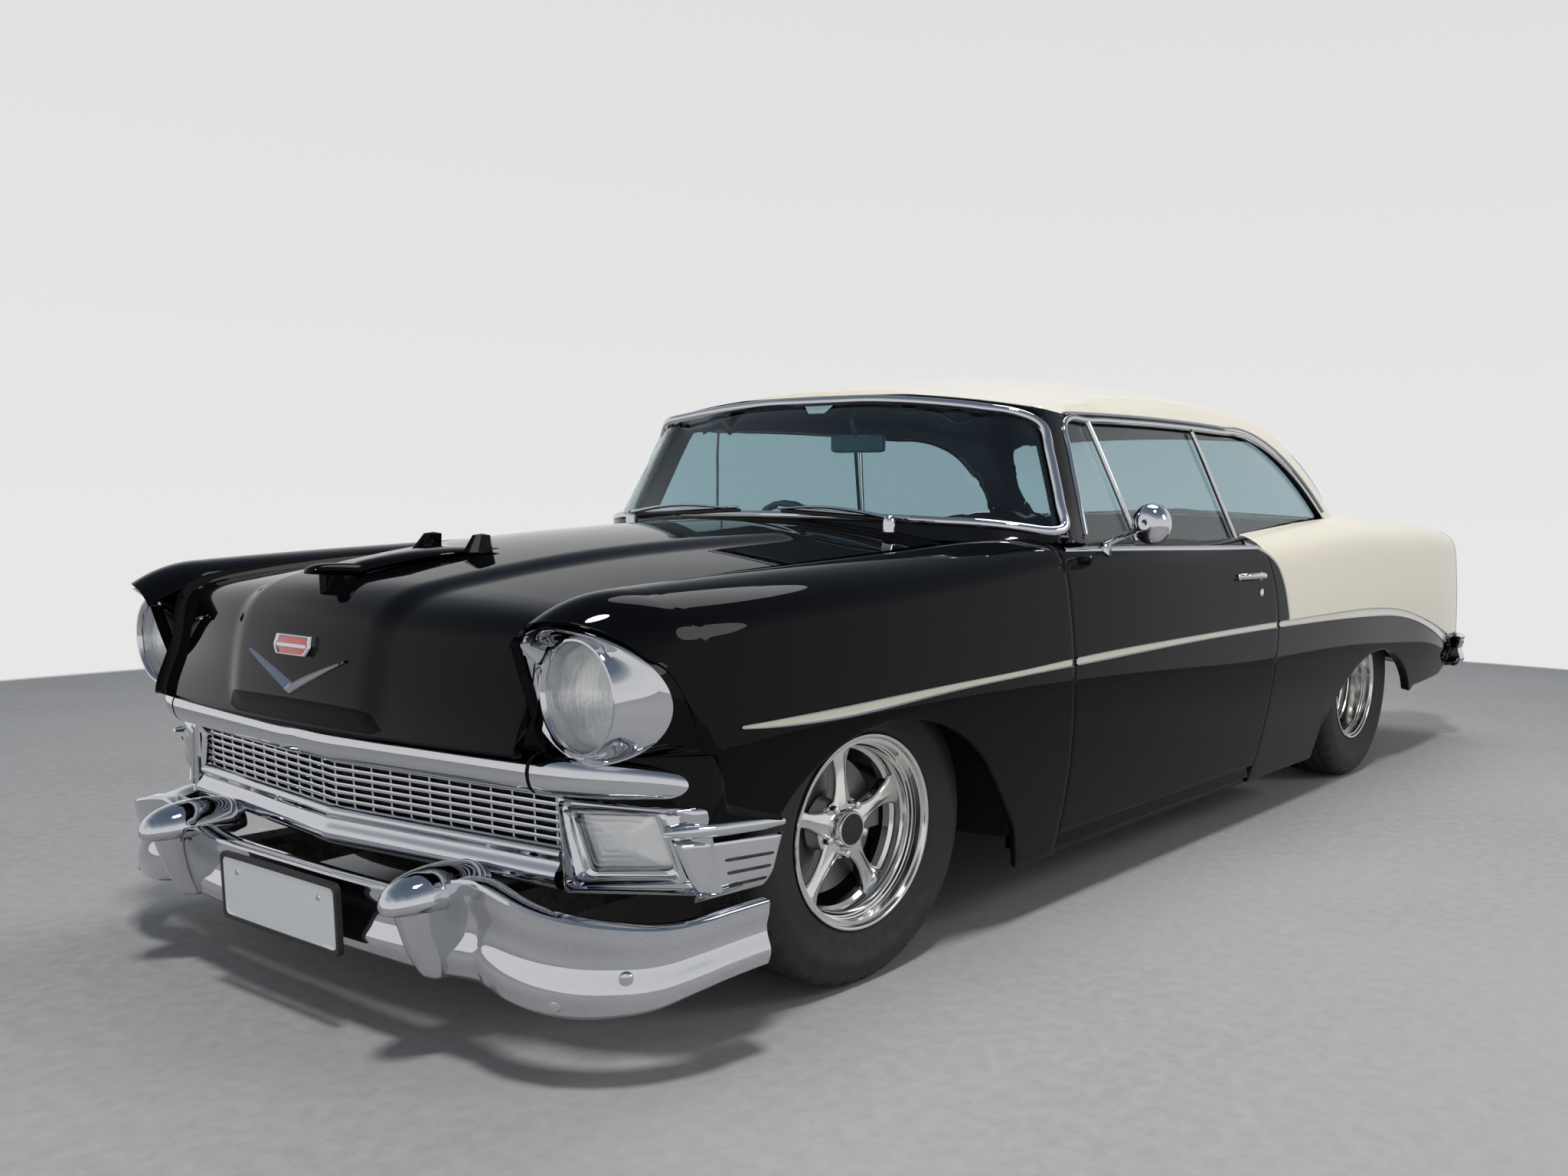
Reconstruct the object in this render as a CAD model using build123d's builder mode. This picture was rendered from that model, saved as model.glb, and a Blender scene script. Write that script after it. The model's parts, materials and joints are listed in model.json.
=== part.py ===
"""A 1950s two-door hardtop: body panels, glass, brightwork, running gear and cabin, one solid per piece.

Millimetres. The car faces -Y, its left side is +X, and the ground is Z = 0 under the middle of its outer
box. Lengths along the car are stations, measured rearward from the front axle.
"""
import os

from build123d import *

# ---------------------------------------------------------------- driving dimensions
WHEELBASE = 2921.0
FRONT_OVERHANG = 825.0
REAR_OVERHANG = 1295.0
FRONT_AXLE_Y = -(WHEELBASE + REAR_OVERHANG - FRONT_OVERHANG) / 2
SHUT_GAP = 6.0              # between a moving panel and its neighbour
SEAT_GAP = 0.4              # between a turning piece and what carries it

# Outer skin, section by section. The crown is the roll of the wing top, the seam the joint with hood or lid.
# Columns: station, belly_x, shoulder_x, shoulder_z, crown_x, crown_z, seam_z, top_z.
SKIN = (
    (-760, 872, 850, 752, 806, 812, 782, 792),
    (-266, 902, 874, 801, 818, 854, 843, 898),
    (228, 905, 877, 832, 825, 884, 884, 950),
    (722, 905, 868, 889, 830, 921, 926, 984),
    (1216, 905, 867, 892, 830, 924, 932, 966),
    (1710, 906, 867, 892, 831, 924, 933, 960),
    (2204, 911, 876, 920, 836, 960, 966, 988),
    (2698, 915, 884, 948, 841, 992, 998, 1024),
    (3192, 916, 884, 950, 842, 993, 999, 1024),
    (3686, 911, 878, 946, 836, 988, 990, 1012),
    (4180, 862, 836, 915, 798, 956, 958, 972),
)
SEAM_X = 640.0
SILL_X = 850.0
SILL_Z = 150.0
BELLY_Z = 520.0
WING_WALL = 12.0
HOOD_WALL = 20.0
DOOR_WALL = 100.0
QUARTER_WALL = 24.0
ROOF_WALL = 32.0

# Cabin above the belt, plan outline by plan outline, from the windscreen's middle to the rear window's.
# Columns: height, screen_s, bend_x, bend_s, corner_x, corner_s, side_x, back_x, back_s, rear_bend_x,
# rear_bend_s, rear_s.
CABIN = (
    (900, 470, 625, 540, 858, 725, 812, 805, 2730, 575, 2925, 2975),
    (1100, 600, 592, 636, 776, 770, 750, 738, 2650, 535, 2800, 2850),
    (1290, 714, 560, 738, 694, 812, 690, 664, 2400, 455, 2560, 2610),
    (1480, 830, 520, 846, 606, 856, 602, 560, 1980, 380, 2160, 2210),
)
# Roof crown: height at the middle and where it would meet the edge line.
# Columns: station, edge_z, middle_z.
CROWN = (
    (400, 1205, 1262),
    (733, 1262, 1325),
    (1100, 1288, 1400),
    (1500, 1304, 1446),
    (1900, 1308, 1458),
    (2250, 1290, 1436),
    (2500, 1240, 1385),
    (2780, 1120, 1270),
    (3060, 960, 1110),
)
CROWN_EDGE_X = 700.0

# Shut lines and panel ends, as stations
NOSE_S = -721.0
HOOD_END_S = 440.0
COWL_START_S = HOOD_END_S + SHUT_GAP
DOOR_FRONT_S = 665.0
DOOR_REAR_S = 1890.0
DECK_START_S = 3036.0
TAIL_S = 4130.0
TAIL_LEAN = 4.0             # how far the tail's foot stands behind TAIL_S
BROW_TIP_S = -696.0         # front of the brow over a headlight
BROW_TIP_Z = 784.0
BROW_BEND_X = 716.0         # where the brow starts to turn back round the wing
DECK_HALF = SEAM_X - 2 * SHUT_GAP
DOOR_BOTTOM_Z = 205.0
DOOR_TOP_Z = 924.0
SILL_TOP_Z = DOOR_BOTTOM_Z - SHUT_GAP
ROCKER_BOTTOM_Z = 140.0
INNER_SIDE_X = 764.0        # inner face of the cabin's side walls
TAIL_PANEL_TOP_Z = 640.0
HOOD_BOTTOM_Z = 566.0

# Wheels. Columns: axle, station, centre_x, tyre_radius, tyre_width, rim_width, face_inset.
AXLES = (
    ("front", 0.0, 722.0, 328.0, 200.0, 178.0, 62.0),
    ("rear", WHEELBASE, 703.0, 358.0, 262.0, 232.0, 105.0),
)
RIM_LIP_R = 208.0
RIM_SEAT_R = 190.0
RIM_WALL = 9.0
HUB_R = 66.0
SPOKES = 5
BORE_R = 24.0
KINGPIN_X = 636.0
KNUCKLE_TOP_Z = 470.0
KNUCKLE_BOTTOM_Z = 192.0
DISC_R = 150.0

# Chassis
RAIL_X = 395.0
RAIL_WIDTH = 64.0
FLOOR_Z = 196.0
FLOOR_WALL = 10.0
TRUNK_FLOOR_Z = 520.0
REAR_TUB_X = 545.0
REAR_TUB_TOP_Z = 748.0

# Lamps, grille and bumpers
HEADLIGHT_X = 740.0
HEADLIGHT_Z = 672.0
HEADLIGHT_S = -612.0
HEADLIGHT_LENS_R = 89.0
HEADLIGHT_RING_R = 104.0
GRILLE_HALF = 640.0
GRILLE_TOP_Z = 492.0
GRILLE_BOTTOM_Z = 395.0
GRILLE_V = 58.0             # how far the grille's middle stands ahead of its ends
GRILLE_END_S = -600.0
GRILLE_ROWS = 5
GRILLE_POSTS = 9
BUMPER_WALL = 26.0
TAIL_PANEL_BOTTOM_Z = 430.0
GLASS_INSET = 12.0
GLASS_WALL = 6.0
COWL_END_S = 800.0
PILLAR_FOOT_X = 838.0
SHELF_START_S = 2686.0      # where the rear parcel shelf starts
DOOR_LIP_X = 842.0
FLOOR_HALF = 700.0
RAIL_START_S = -650.0
RAIL_END_S = 4100.0
CROSS_MEMBERS = ((-20, 150, 232), (900, 160, 192), (2050, 160, 192), (3540, 290, 340), (4040, 290, 340))
ENGINE_HALF = 270.0
FUEL_TANK_HALF = 330.0
FIREWALL_S = 560.0
SEAT_BACK_S = 2560.0
TUNNEL_HALF = 120.0
TUNNEL_TOP_Z = 420.0
TAIL_INNER_S = 4060.0
TUB_FRONT_S = 2530.0
TUB_REAR_S = 3310.0
TUB_OUTER_X = 868.0
APRON_X = 634.0
LOWER_BAR_Z = 313.0
PLATE_HALF = 214.0
PLATE_SCREW_X = 150.0
PLATE_SCREW_Z = 256.0
PLATE_SCREW_R = 3.5
STEERING_X = -370.0
COLUMN_LENGTH = 260.0
MIRROR_X = 964.0
MIRROR_FOOT_X = 850.0
MIRROR_Z = 982.0
ROCKER_END_S = 2380.0
SIDES = ((1, "left"), (-1, "right"))
GUARD_X = 443.0
GUARD_TIP_S = -FRONT_OVERHANG
GUARD_R = 56.0
GUARD_END_S = -655.0

os.makedirs("parts", exist_ok=True)


def along(station):
    """Y of a station."""
    return FRONT_AXLE_Y + station


def save(piece, name):
    piece.part.label = name
    export_step(piece.part, f"parts/{name}.step")


def outline(plane, start, steps):
    """Closed face on a plane. A step is an end point, or a pair (through point, end point) for an arc."""
    with BuildSketch(plane, mode=Mode.PRIVATE) as face:
        with BuildLine():
            here = start
            for step in steps:
                if isinstance(step[0], tuple):
                    ThreePointArc(here, step[0], step[1])
                    here = step[1]
                else:
                    Line(here, step)
                    here = step
            if here != start:
                Line(here, start)
        make_face()
    return face.sketch


def shifted(steps, move):
    """The same steps with every point moved."""
    return [tuple(move(p) for p in step) if isinstance(step[0], tuple) else move(step) for step in steps]


def side_prism(start, steps, x_from, x_to):
    """Prism across the car from an outline given as (station, height)."""
    def place(point):
        return (along(point[0]), point[1])
    with BuildPart(mode=Mode.PRIVATE) as prism:
        face = outline(Plane.YZ.offset(x_from), place(start), shifted(steps, place))
        extrude(face, amount=x_to - x_from)
    return prism.part


def plan_prism(start, steps, z_from, z_to):
    """Upright prism from an outline given as (x, station)."""
    def place(point):
        return (point[0], along(point[1]))
    with BuildPart(mode=Mode.PRIVATE) as prism:
        face = outline(Plane.XY.offset(z_from), place(start), shifted(steps, place))
        extrude(face, amount=z_to - z_from)
    return prism.part


def front_prism(start, steps, s_from, s_to):
    """Prism along the car from an outline given as (x, height)."""
    with BuildPart(mode=Mode.PRIVATE) as prism:
        face = outline(Plane.XZ.offset(-along(s_to)), start, steps)
        extrude(face, amount=s_to - s_from)
    return prism.part


def block(x_from, x_to, s_from, s_to, z_from, z_to):
    """Box from its limits, its length given in stations."""
    with BuildPart(mode=Mode.PRIVATE) as box:
        with Locations(((x_from + x_to) / 2, along((s_from + s_to) / 2), (z_from + z_to) / 2)):
            Box(abs(x_to - x_from), abs(s_to - s_from), abs(z_to - z_from))
    return box.part


def turned(profile_start, steps, centre, axis_dir):
    """Solid of revolution of an outline given as (along the axis, radius)."""
    plane = Plane(origin=centre, x_dir=axis_dir, z_dir=Vector(0, 0, 1).cross(Vector(*axis_dir)))
    with BuildPart(mode=Mode.PRIVATE) as spun:
        face = outline(plane, profile_start, steps)
        revolve(face, axis=Axis(centre, axis_dir))
    return spun.part


def mirrored(solid, side):
    """The left-hand solid itself, or its right-hand image."""
    if side > 0:
        return solid
    return mirror(solid, about=Plane.YZ, mode=Mode.PRIVATE)


# ---------------------------------------------------------------- master forms
def skin(inset):
    """Lower body, from the sills to the wing tops and across hood and deck, moved inward by inset."""
    foot_z = SILL_Z if inset == 0 else SILL_Z - 100
    with BuildPart(mode=Mode.PRIVATE) as body:
        for station, belly_x, shoulder_x, shoulder_z, crown_x, crown_z, seam_z, top_z in SKIN:
            half = [
                ((belly_x - inset, BELLY_Z), (shoulder_x - inset, shoulder_z - inset / 4)),
                ((crown_x - inset * 0.7, crown_z - inset * 0.7), (SEAM_X - inset, seam_z - inset)),
            ]
            with BuildSketch(Plane.XZ.offset(-along(station))):
                with BuildLine():
                    Line((-(SILL_X - inset), foot_z), (SILL_X - inset, foot_z))
                    for side in (1, -1):
                        here = (side * (SILL_X - inset), SILL_Z)
                        if foot_z < SILL_Z:
                            Line((side * (SILL_X - inset), foot_z), here)
                        for via, end in half:
                            ThreePointArc(here, (side * via[0], via[1]), (side * end[0], end[1]))
                            here = (side * end[0], end[1])
                    ThreePointArc(here, (0, top_z - inset), (-here[0], here[1]))
                make_face()
        loft()
    return body.part


def cabin(inset):
    """Everything above the belt: screen, side glass line, sails and roof, moved inward by inset."""
    with BuildPart(mode=Mode.PRIVATE) as house:
        for (height, screen_s, bend_x, bend_s, corner_x, corner_s, side_x,
             back_x, back_s, rear_bend_x, rear_bend_s, rear_s) in CABIN:
            with BuildSketch(Plane.XY.offset(height)):
                with BuildLine():
                    bend = (bend_x - inset * 0.3, along(bend_s + inset))
                    corner = (corner_x - inset, along(corner_s + inset * 0.6))
                    back = (back_x - inset, along(back_s - inset * 0.6))
                    rear_bend = (rear_bend_x - inset * 0.3, along(rear_bend_s - inset))
                    screen_middle = (0, along(screen_s + inset))
                    rear_middle = (0, along(rear_s - inset))
                    bulge = (corner_x * 0.62 + bend_x * 0.38 - inset,
                             along(corner_s * 0.38 + bend_s * 0.62 - 12 + inset * 0.6))
                    rear_bulge = (back_x * 0.7 + rear_bend_x * 0.3 - inset * 0.8,
                                  along(back_s * 0.4 + rear_bend_s * 0.6 + 12 - inset * 0.8))
                    middle_s = (corner_s + back_s) / 2
                    ThreePointArc((-bend[0], bend[1]), screen_middle, bend)
                    ThreePointArc((-rear_bend[0], rear_bend[1]), rear_middle, rear_bend)
                    for side in (1, -1):
                        ThreePointArc((side * bend[0], bend[1]), (side * bulge[0], bulge[1]),
                                      (side * corner[0], corner[1]))
                        ThreePointArc((side * corner[0], corner[1]),
                                      (side * (side_x - inset), along(middle_s)), (side * back[0], back[1]))
                        ThreePointArc((side * back[0], back[1]), (side * rear_bulge[0], rear_bulge[1]),
                                      (side * rear_bend[0], rear_bend[1]))
                make_face()
        loft()
        add(crown(inset), mode=Mode.INTERSECT)
    return house.part


def crown(inset):
    """Big cap whose upper face is the roof."""
    with BuildPart(mode=Mode.PRIVATE) as cap:
        for station, edge_z, middle_z in CROWN:
            with BuildSketch(Plane.XZ.offset(-along(station))):
                with BuildLine():
                    ThreePointArc((-CROWN_EDGE_X - 200, edge_z - 40 - inset), (0, middle_z - inset),
                                  (CROWN_EDGE_X + 200, edge_z - 40 - inset))
                    Polyline((CROWN_EDGE_X + 200, edge_z - 40 - inset), (CROWN_EDGE_X + 200, 700),
                             (-CROWN_EDGE_X - 200, 700), (-CROWN_EDGE_X - 200, edge_z - 40 - inset))
                make_face()
        loft()
    return cap.part


def nose_and_tail(inset):
    """Ends of the middle of the body: the hood's nose ahead and the deck's slope behind."""
    nose = NOSE_S + inset
    tail = TAIL_S - inset
    ends = side_prism((nose, 300), [
        (nose, HOOD_BOTTOM_Z),
        ((nose + 4, 690), (nose + 30, 770 - inset)),
        ((nose + 58, 815 - inset), (nose + 130, 850 - inset)),
        (nose + 200, 1300),
        (tail - 330, 1300),
        (tail - 200, 990 - inset),
        ((tail - 70, 940 - inset), (tail - 14, 850 - inset)),
        (tail, 600),
        (tail, 300),
    ], -SEAM_X, SEAM_X)
    plan = plan_prism((-SEAM_X, NOSE_S + 46 + inset), [
        ((0, nose), (SEAM_X, NOSE_S + 46 + inset)),
        (SEAM_X, tail - 20),
        ((0, tail), (-SEAM_X, tail - 20)),
    ], 200, 1400)
    return ends & plan


def wing_ends(inset):
    """Ends of both sides: the slanted headlight opening ahead and the upright tail behind."""
    both = side_prism((BROW_TIP_S + inset, BROW_TIP_Z - inset), [
        (BROW_TIP_S + inset, 775 - inset),
        (-545 + inset, 560),
        (-531 + inset, 300),
        (-531 + inset, 0),
        (TAIL_S - inset, 0),
        (TAIL_S + TAIL_LEAN - inset, 560),
        (TAIL_S - 22 - inset, 990),
        (TAIL_S - 22 - inset, 1100),
        (-600 + inset, 1100),
        (-600 + inset, 828 - inset),
        ((-672 + inset, 812 - inset), (BROW_TIP_S + inset, BROW_TIP_Z - inset)),
    ], -1000, 1000)
    corner = plan_prism((BROW_BEND_X - inset / 2, BROW_TIP_S + inset), [
        ((822 - inset, -618 + inset / 2), (900 - inset, -500 + inset)), (1000, -500 + inset), (1000, -800),
        (BROW_BEND_X - inset / 2, -800)], -10, 1200)
    return both - block(-SEAM_X, SEAM_X, -900, 4400, -10, 1500) - corner - mirrored(corner, -1)


outer_skin = skin(0)
inner_skin = skin(HOOD_WALL)
outer_middle = outer_skin & nose_and_tail(0)
outer_sides = outer_skin & wing_ends(0)
outer_cabin = cabin(0)


# ---------------------------------------------------------------- front wings
front_arch = side_prism((-352, 0), [
    (-340, 437),
    ((-175, 549), (20, 577)),
    ((195, 528), (330, 412)),
    (450, 260),
    (506, 120),
    (506, 0),
], 500, 1000)
wing_under = side_prism((-900, 0), [(-900, 478), (-531, 478), (-331, 437), (-331, 0)], 500, 1000)
headlight_centre = (HEADLIGHT_X, along(HEADLIGHT_S), HEADLIGHT_Z)
headlight_hole = turned((-300, 0), [(-300, HEADLIGHT_RING_R + SEAT_GAP), (120, HEADLIGHT_RING_R + SEAT_GAP),
                                    (120, 0)],
                        headlight_centre, (0, 1, 0))
wing_shell = outer_sides - (skin(WING_WALL) & wing_ends(WING_WALL))
with BuildPart() as wing:
    add(wing_shell)
    add(block(SEAM_X, 1000, -900, DOOR_FRONT_S - SHUT_GAP, 0, 1100), mode=Mode.INTERSECT)
    add(front_arch, mode=Mode.SUBTRACT)
    add(wing_under, mode=Mode.SUBTRACT)
    add(headlight_hole, mode=Mode.SUBTRACT)
for side, word in SIDES:
    with BuildPart() as front_wing:
        add(mirrored(wing.part, side))
    save(front_wing, f"front_wing_{word}")

# ---------------------------------------------------------------- headlights
with BuildPart() as headlight_ring:
    add(turned((-120, HEADLIGHT_LENS_R + SEAT_GAP), [
        (-120, HEADLIGHT_RING_R), (90, HEADLIGHT_RING_R), (90, HEADLIGHT_LENS_R - 12),
        (42, HEADLIGHT_LENS_R - 12),
        (42, HEADLIGHT_LENS_R + SEAT_GAP)], headlight_centre, (0, 1, 0)))
    add(wing_ends(-3) & block(600, 1000, -900, 0, 300, 1000), mode=Mode.INTERSECT)
with BuildPart() as headlight_lens:
    add(turned((-26, 0), [((-20, 50), (-2, HEADLIGHT_LENS_R)), (42, HEADLIGHT_LENS_R), (42, 0)],
               headlight_centre, (0, 1, 0)))
for name, piece in (("headlight_rings", headlight_ring), ("headlight_lenses", headlight_lens)):
    with BuildPart() as pair:
        for side, word in SIDES:
            add(mirrored(piece.part, side))
    save(pair, name)

# ---------------------------------------------------------------- hood, cowl, rear deck, lid and tail panel
middle_shell = outer_middle - (inner_skin & nose_and_tail(HOOD_WALL))
with BuildPart() as hood:
    add(middle_shell)
    add(block(-DECK_HALF, DECK_HALF, -900, HOOD_END_S, HOOD_BOTTOM_Z, 1200), mode=Mode.INTERSECT)
save(hood, "hood")
with BuildPart() as lid:
    add(middle_shell)
    add(block(-DECK_HALF, DECK_HALF, DECK_START_S, 4400, TAIL_PANEL_TOP_Z + SHUT_GAP, 1200),
        mode=Mode.INTERSECT)
save(lid, "trunk_lid")
with BuildPart() as tail_panel:
    add(middle_shell)
    add(block(-SEAM_X, SEAM_X, 4000, 4400, TAIL_PANEL_BOTTOM_Z, TAIL_PANEL_TOP_Z), mode=Mode.INTERSECT)
    for side, word in SIDES:
        add(block(side * 300, side * 360, TAIL_S - 24, TAIL_S - 10, TAIL_PANEL_TOP_Z,
                  TAIL_PANEL_TOP_Z + SHUT_GAP - SEAT_GAP))
save(tail_panel, "tail_panel")
skin_shell = outer_skin - inner_skin
with BuildPart() as cowl:
    add(skin_shell)
    add(block(-SEAM_X, SEAM_X, COWL_START_S, DOOR_FRONT_S - SHUT_GAP, 880, 1200)
        + block(-INNER_SIDE_X, INNER_SIDE_X, DOOR_FRONT_S - SHUT_GAP, COWL_END_S, 880, 1200),
        mode=Mode.INTERSECT)
    for side, word in SIDES:
        add(block(side * PILLAR_FOOT_X, side * (INNER_SIDE_X - 40), 700, COWL_END_S, DOOR_TOP_Z + SHUT_GAP,
                  944))
save(cowl, "cowl")
with BuildPart() as rear_deck:
    add(skin_shell)
    add(block(-SEAM_X, SEAM_X, SHELF_START_S, DECK_START_S - SHUT_GAP, 880, 1200), mode=Mode.INTERSECT)
save(rear_deck, "rear_deck")

# ---------------------------------------------------------------- doors
def door_rear(shift):
    """Rear shut line of the door, moved back by shift, as a prism covering all ahead of it."""
    return side_prism((0, 100), [
        (0, 1000), (DOOR_REAR_S - 28 + shift, 1000), (DOOR_REAR_S - 28 + shift, 924),
        ((DOOR_REAR_S + 10 + shift, 800), (DOOR_REAR_S + 18 + shift, 680)),
        ((DOOR_REAR_S - 22 + shift, 470), (DOOR_REAR_S - 52 + shift, DOOR_BOTTOM_Z)),
        (DOOR_REAR_S - 52 + shift, 100),
    ], 500, 1000)


door_shell = outer_sides - (skin(DOOR_WALL) & wing_ends(DOOR_WALL))
with BuildPart() as door:
    add(door_shell)
    add(block(INNER_SIDE_X + SHUT_GAP, 1000, DOOR_FRONT_S, 2000, DOOR_BOTTOM_Z, DOOR_TOP_Z),
        mode=Mode.INTERSECT)
    add(door_rear(0), mode=Mode.INTERSECT)
    add(block(700, DOOR_LIP_X, DOOR_FRONT_S - 1, DOOR_FRONT_S + 12, 0, 1000), mode=Mode.SUBTRACT)
    add(block(700, DOOR_LIP_X, DOOR_REAR_S - 66, DOOR_REAR_S + 40, 0, 1000), mode=Mode.SUBTRACT)
for side, word in SIDES:
    with BuildPart() as car_door:
        add(mirrored(door.part, side))
    save(car_door, f"door_{word}")

# ---------------------------------------------------------------- rear quarters
rear_arch = side_prism((2396, 0), [
    (2396, 262),
    ((2890, 517), (3400, 300)),
    (3430, 324),
    (3813, 339),
    (4000, 400),
    (4300, 480),
    (4300, 0),
], 500, 1000)
quarter_shell = outer_sides - (skin(QUARTER_WALL) & wing_ends(QUARTER_WALL))
with BuildPart() as quarter:
    add(quarter_shell)
    add(block(SEAM_X, 1000, 1800, 4400, SILL_Z, 1100), mode=Mode.INTERSECT)
    add(door_rear(SHUT_GAP), mode=Mode.SUBTRACT)
    add(block(0, INNER_SIDE_X, 1700, SHELF_START_S, 700, 1100), mode=Mode.SUBTRACT)
    add(rear_arch, mode=Mode.SUBTRACT)
for side, word in SIDES:
    with BuildPart() as rear_quarter:
        add(mirrored(quarter.part, side))
    save(rear_quarter, f"rear_quarter_{word}")

with BuildPart() as rocker:
    add(block(FLOOR_HALF, 852, DOOR_FRONT_S, ROCKER_END_S, ROCKER_BOTTOM_Z, SILL_TOP_Z))
    chamfer(rocker.edges().filter_by(Axis.Y).group_by(Axis.Z)[0].sort_by(Axis.X)[-1], 24)
    for buffer_s in (720, 1740):
        add(block(790, 840, buffer_s, buffer_s + 60, SILL_TOP_Z, DOOR_BOTTOM_Z - SEAT_GAP))
    add(quarter.part, mode=Mode.SUBTRACT)
for side, word in SIDES:
    with BuildPart() as side_rocker:
        add(mirrored(rocker.part, side))
    save(side_rocker, f"rocker_{word}")

# ---------------------------------------------------------------- roof and glass
screen_opening = [(500, 987), (724, 948), (794, 1256), (736, 1306), (300, 1306)]
side_glass_top = [((1450, 1277), (1900, 1286)), ((2340, 1215), (2650, 975))]
roof_shell = outer_cabin - cabin(ROOF_WALL)
glass_shell = cabin(GLASS_INSET) - cabin(GLASS_INSET + GLASS_WALL)
window_line = block(-1000, 1000, 0, 4000, DOOR_TOP_Z + SHUT_GAP, 1600)
screen_prism = side_prism((300, 987), screen_opening, -1000, 1000)
side_prism_all = side_prism((806, 900), [(806, 940), (880, 1250), *side_glass_top, (2650, 900)], -1000, 1000)
rear_prism = side_prism((3300, 1042), [(2960, 1042), (2815, 1012), (2500, 1290), (2575, 1338),
                                       (3300, 1338)], -1000, 1000)
rear_zone = block(-1000, 1000, 2450, 3400, 900, 1500)
with BuildPart() as roof:
    add(roof_shell)
    add(window_line, mode=Mode.INTERSECT)
    add(outer_skin, mode=Mode.SUBTRACT)
    add(screen_prism, mode=Mode.SUBTRACT)
    add(side_prism_all, mode=Mode.SUBTRACT)
    add(rear_prism, mode=Mode.SUBTRACT)
    add(cowl.part, mode=Mode.SUBTRACT)
with BuildPart() as windscreen:
    add(glass_shell)
    add(screen_prism, mode=Mode.INTERSECT)
    add(outer_skin, mode=Mode.SUBTRACT)
with BuildPart() as rear_window:
    add(glass_shell)
    add(rear_prism, mode=Mode.INTERSECT)
    add(outer_skin, mode=Mode.SUBTRACT)
with BuildPart() as quarter_glass:
    add(glass_shell)
    add(side_prism((1812, 926), [(1664, 1290), (1900, 1286), ((2340, 1215), (2650, 975)), (2650, 926)],
                   -1000, 1000), mode=Mode.INTERSECT)
    add(outer_skin, mode=Mode.SUBTRACT)
    add(roof.part, mode=Mode.SUBTRACT)
with BuildPart() as door_window:
    add(glass_shell)
    add(side_prism((817, DOOR_TOP_Z), [(817, 946), (892, 1243), ((1300, 1268), (1655, 1276)),
                                       (1803, DOOR_TOP_Z)],
                   500, 1000), mode=Mode.INTERSECT)
for name, piece in (("roof", roof), ("windscreen", windscreen), ("rear_window", rear_window),
                    ("quarter_windows", quarter_glass)):
    save(piece, name)
for side, word in SIDES:
    with BuildPart() as side_window:
        add(mirrored(door_window.part, side))
    save(side_window, f"door_window_{word}")

# ---------------------------------------------------------------- wheels and tyres
def tyre_profile(radius, width, rim_width):
    """Half of a tyre's section as (across, radius) steps, from the bead to the middle of the tread."""
    bead = rim_width / 2 - RIM_WALL - SEAT_GAP
    wall_r = (radius + RIM_LIP_R) / 2
    return [
        (bead, RIM_LIP_R + 2),
        ((width / 2, wall_r), (width * 0.41, radius - 13)),
        ((width * 0.385, radius - 4), (width * 0.33, radius)),
    ]


for axle, station, centre_x, radius, width, rim_width, face_inset in AXLES:
    bead = rim_width / 2 - RIM_WALL - SEAT_GAP
    half = tyre_profile(radius, width, rim_width)
    back = [((-half[1][0][0], half[1][0][1]), (-bead, RIM_LIP_R + 2))]
    tread = [(-half[2][1][0], radius), ((-half[2][0][0], radius - 4), (-half[1][1][0], radius - 13))]
    centre = (centre_x, along(station), radius)
    with BuildPart() as tyre:
        add(turned((bead, RIM_SEAT_R + SEAT_GAP), half + tread + back + [(-bead, RIM_SEAT_R + SEAT_GAP)],
                   centre, (1, 0, 0)))
    lip = rim_width / 2
    face = lip - face_inset
    barrel_r = RIM_SEAT_R - RIM_WALL
    with BuildPart() as rim:
        add(turned((lip, RIM_LIP_R), [
            (lip - RIM_WALL, RIM_LIP_R), (lip - RIM_WALL, RIM_SEAT_R), (RIM_WALL - lip, RIM_SEAT_R),
            (RIM_WALL - lip, RIM_LIP_R), (-lip, RIM_LIP_R), (-lip, barrel_r), (face - 40, barrel_r),
            (face - 40, barrel_r - 12), (face - 14, barrel_r - 12), (face - 14, barrel_r - 4),
            (lip - 34, barrel_r - 4),
            (lip - 34, barrel_r + 5), (lip - 8, barrel_r + 5), (lip, barrel_r + 14)], centre, (1, 0, 0)))
        add(turned((face - 70, BORE_R), [
            (face - 70, DISC_R), (face - 58, DISC_R), (face - 58, HUB_R), (face - 6, HUB_R),
            (face, HUB_R - 8),
            (face, 40), (face + 20, 36), (face + 24, 30), (face + 24, 0), (face + 8, 0), (face + 8, BORE_R)],
            centre, (1, 0, 0)))
        with BuildSketch(Plane(origin=(centre_x + face - 26, along(station), radius), x_dir=(0, 1, 0),
                               z_dir=(1, 0, 0))):
            with PolarLocations(0, SPOKES, start_angle=90):
                with BuildLine():
                    Polyline((50, -30), (108, -17), (barrel_r - 4, -25), (barrel_r - 4, 25), (108, 17),
                             (50, 30),
                             close=True)
                make_face()
        extrude(amount=24)
    for side, word in SIDES:
        with BuildPart() as wheel_tyre:
            add(mirrored(tyre.part, side))
        save(wheel_tyre, f"tyre_{axle}_{word}")
        with BuildPart() as wheel_rim:
            add(mirrored(rim.part, side))
        save(wheel_rim, f"rim_{axle}_{word}")

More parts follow.
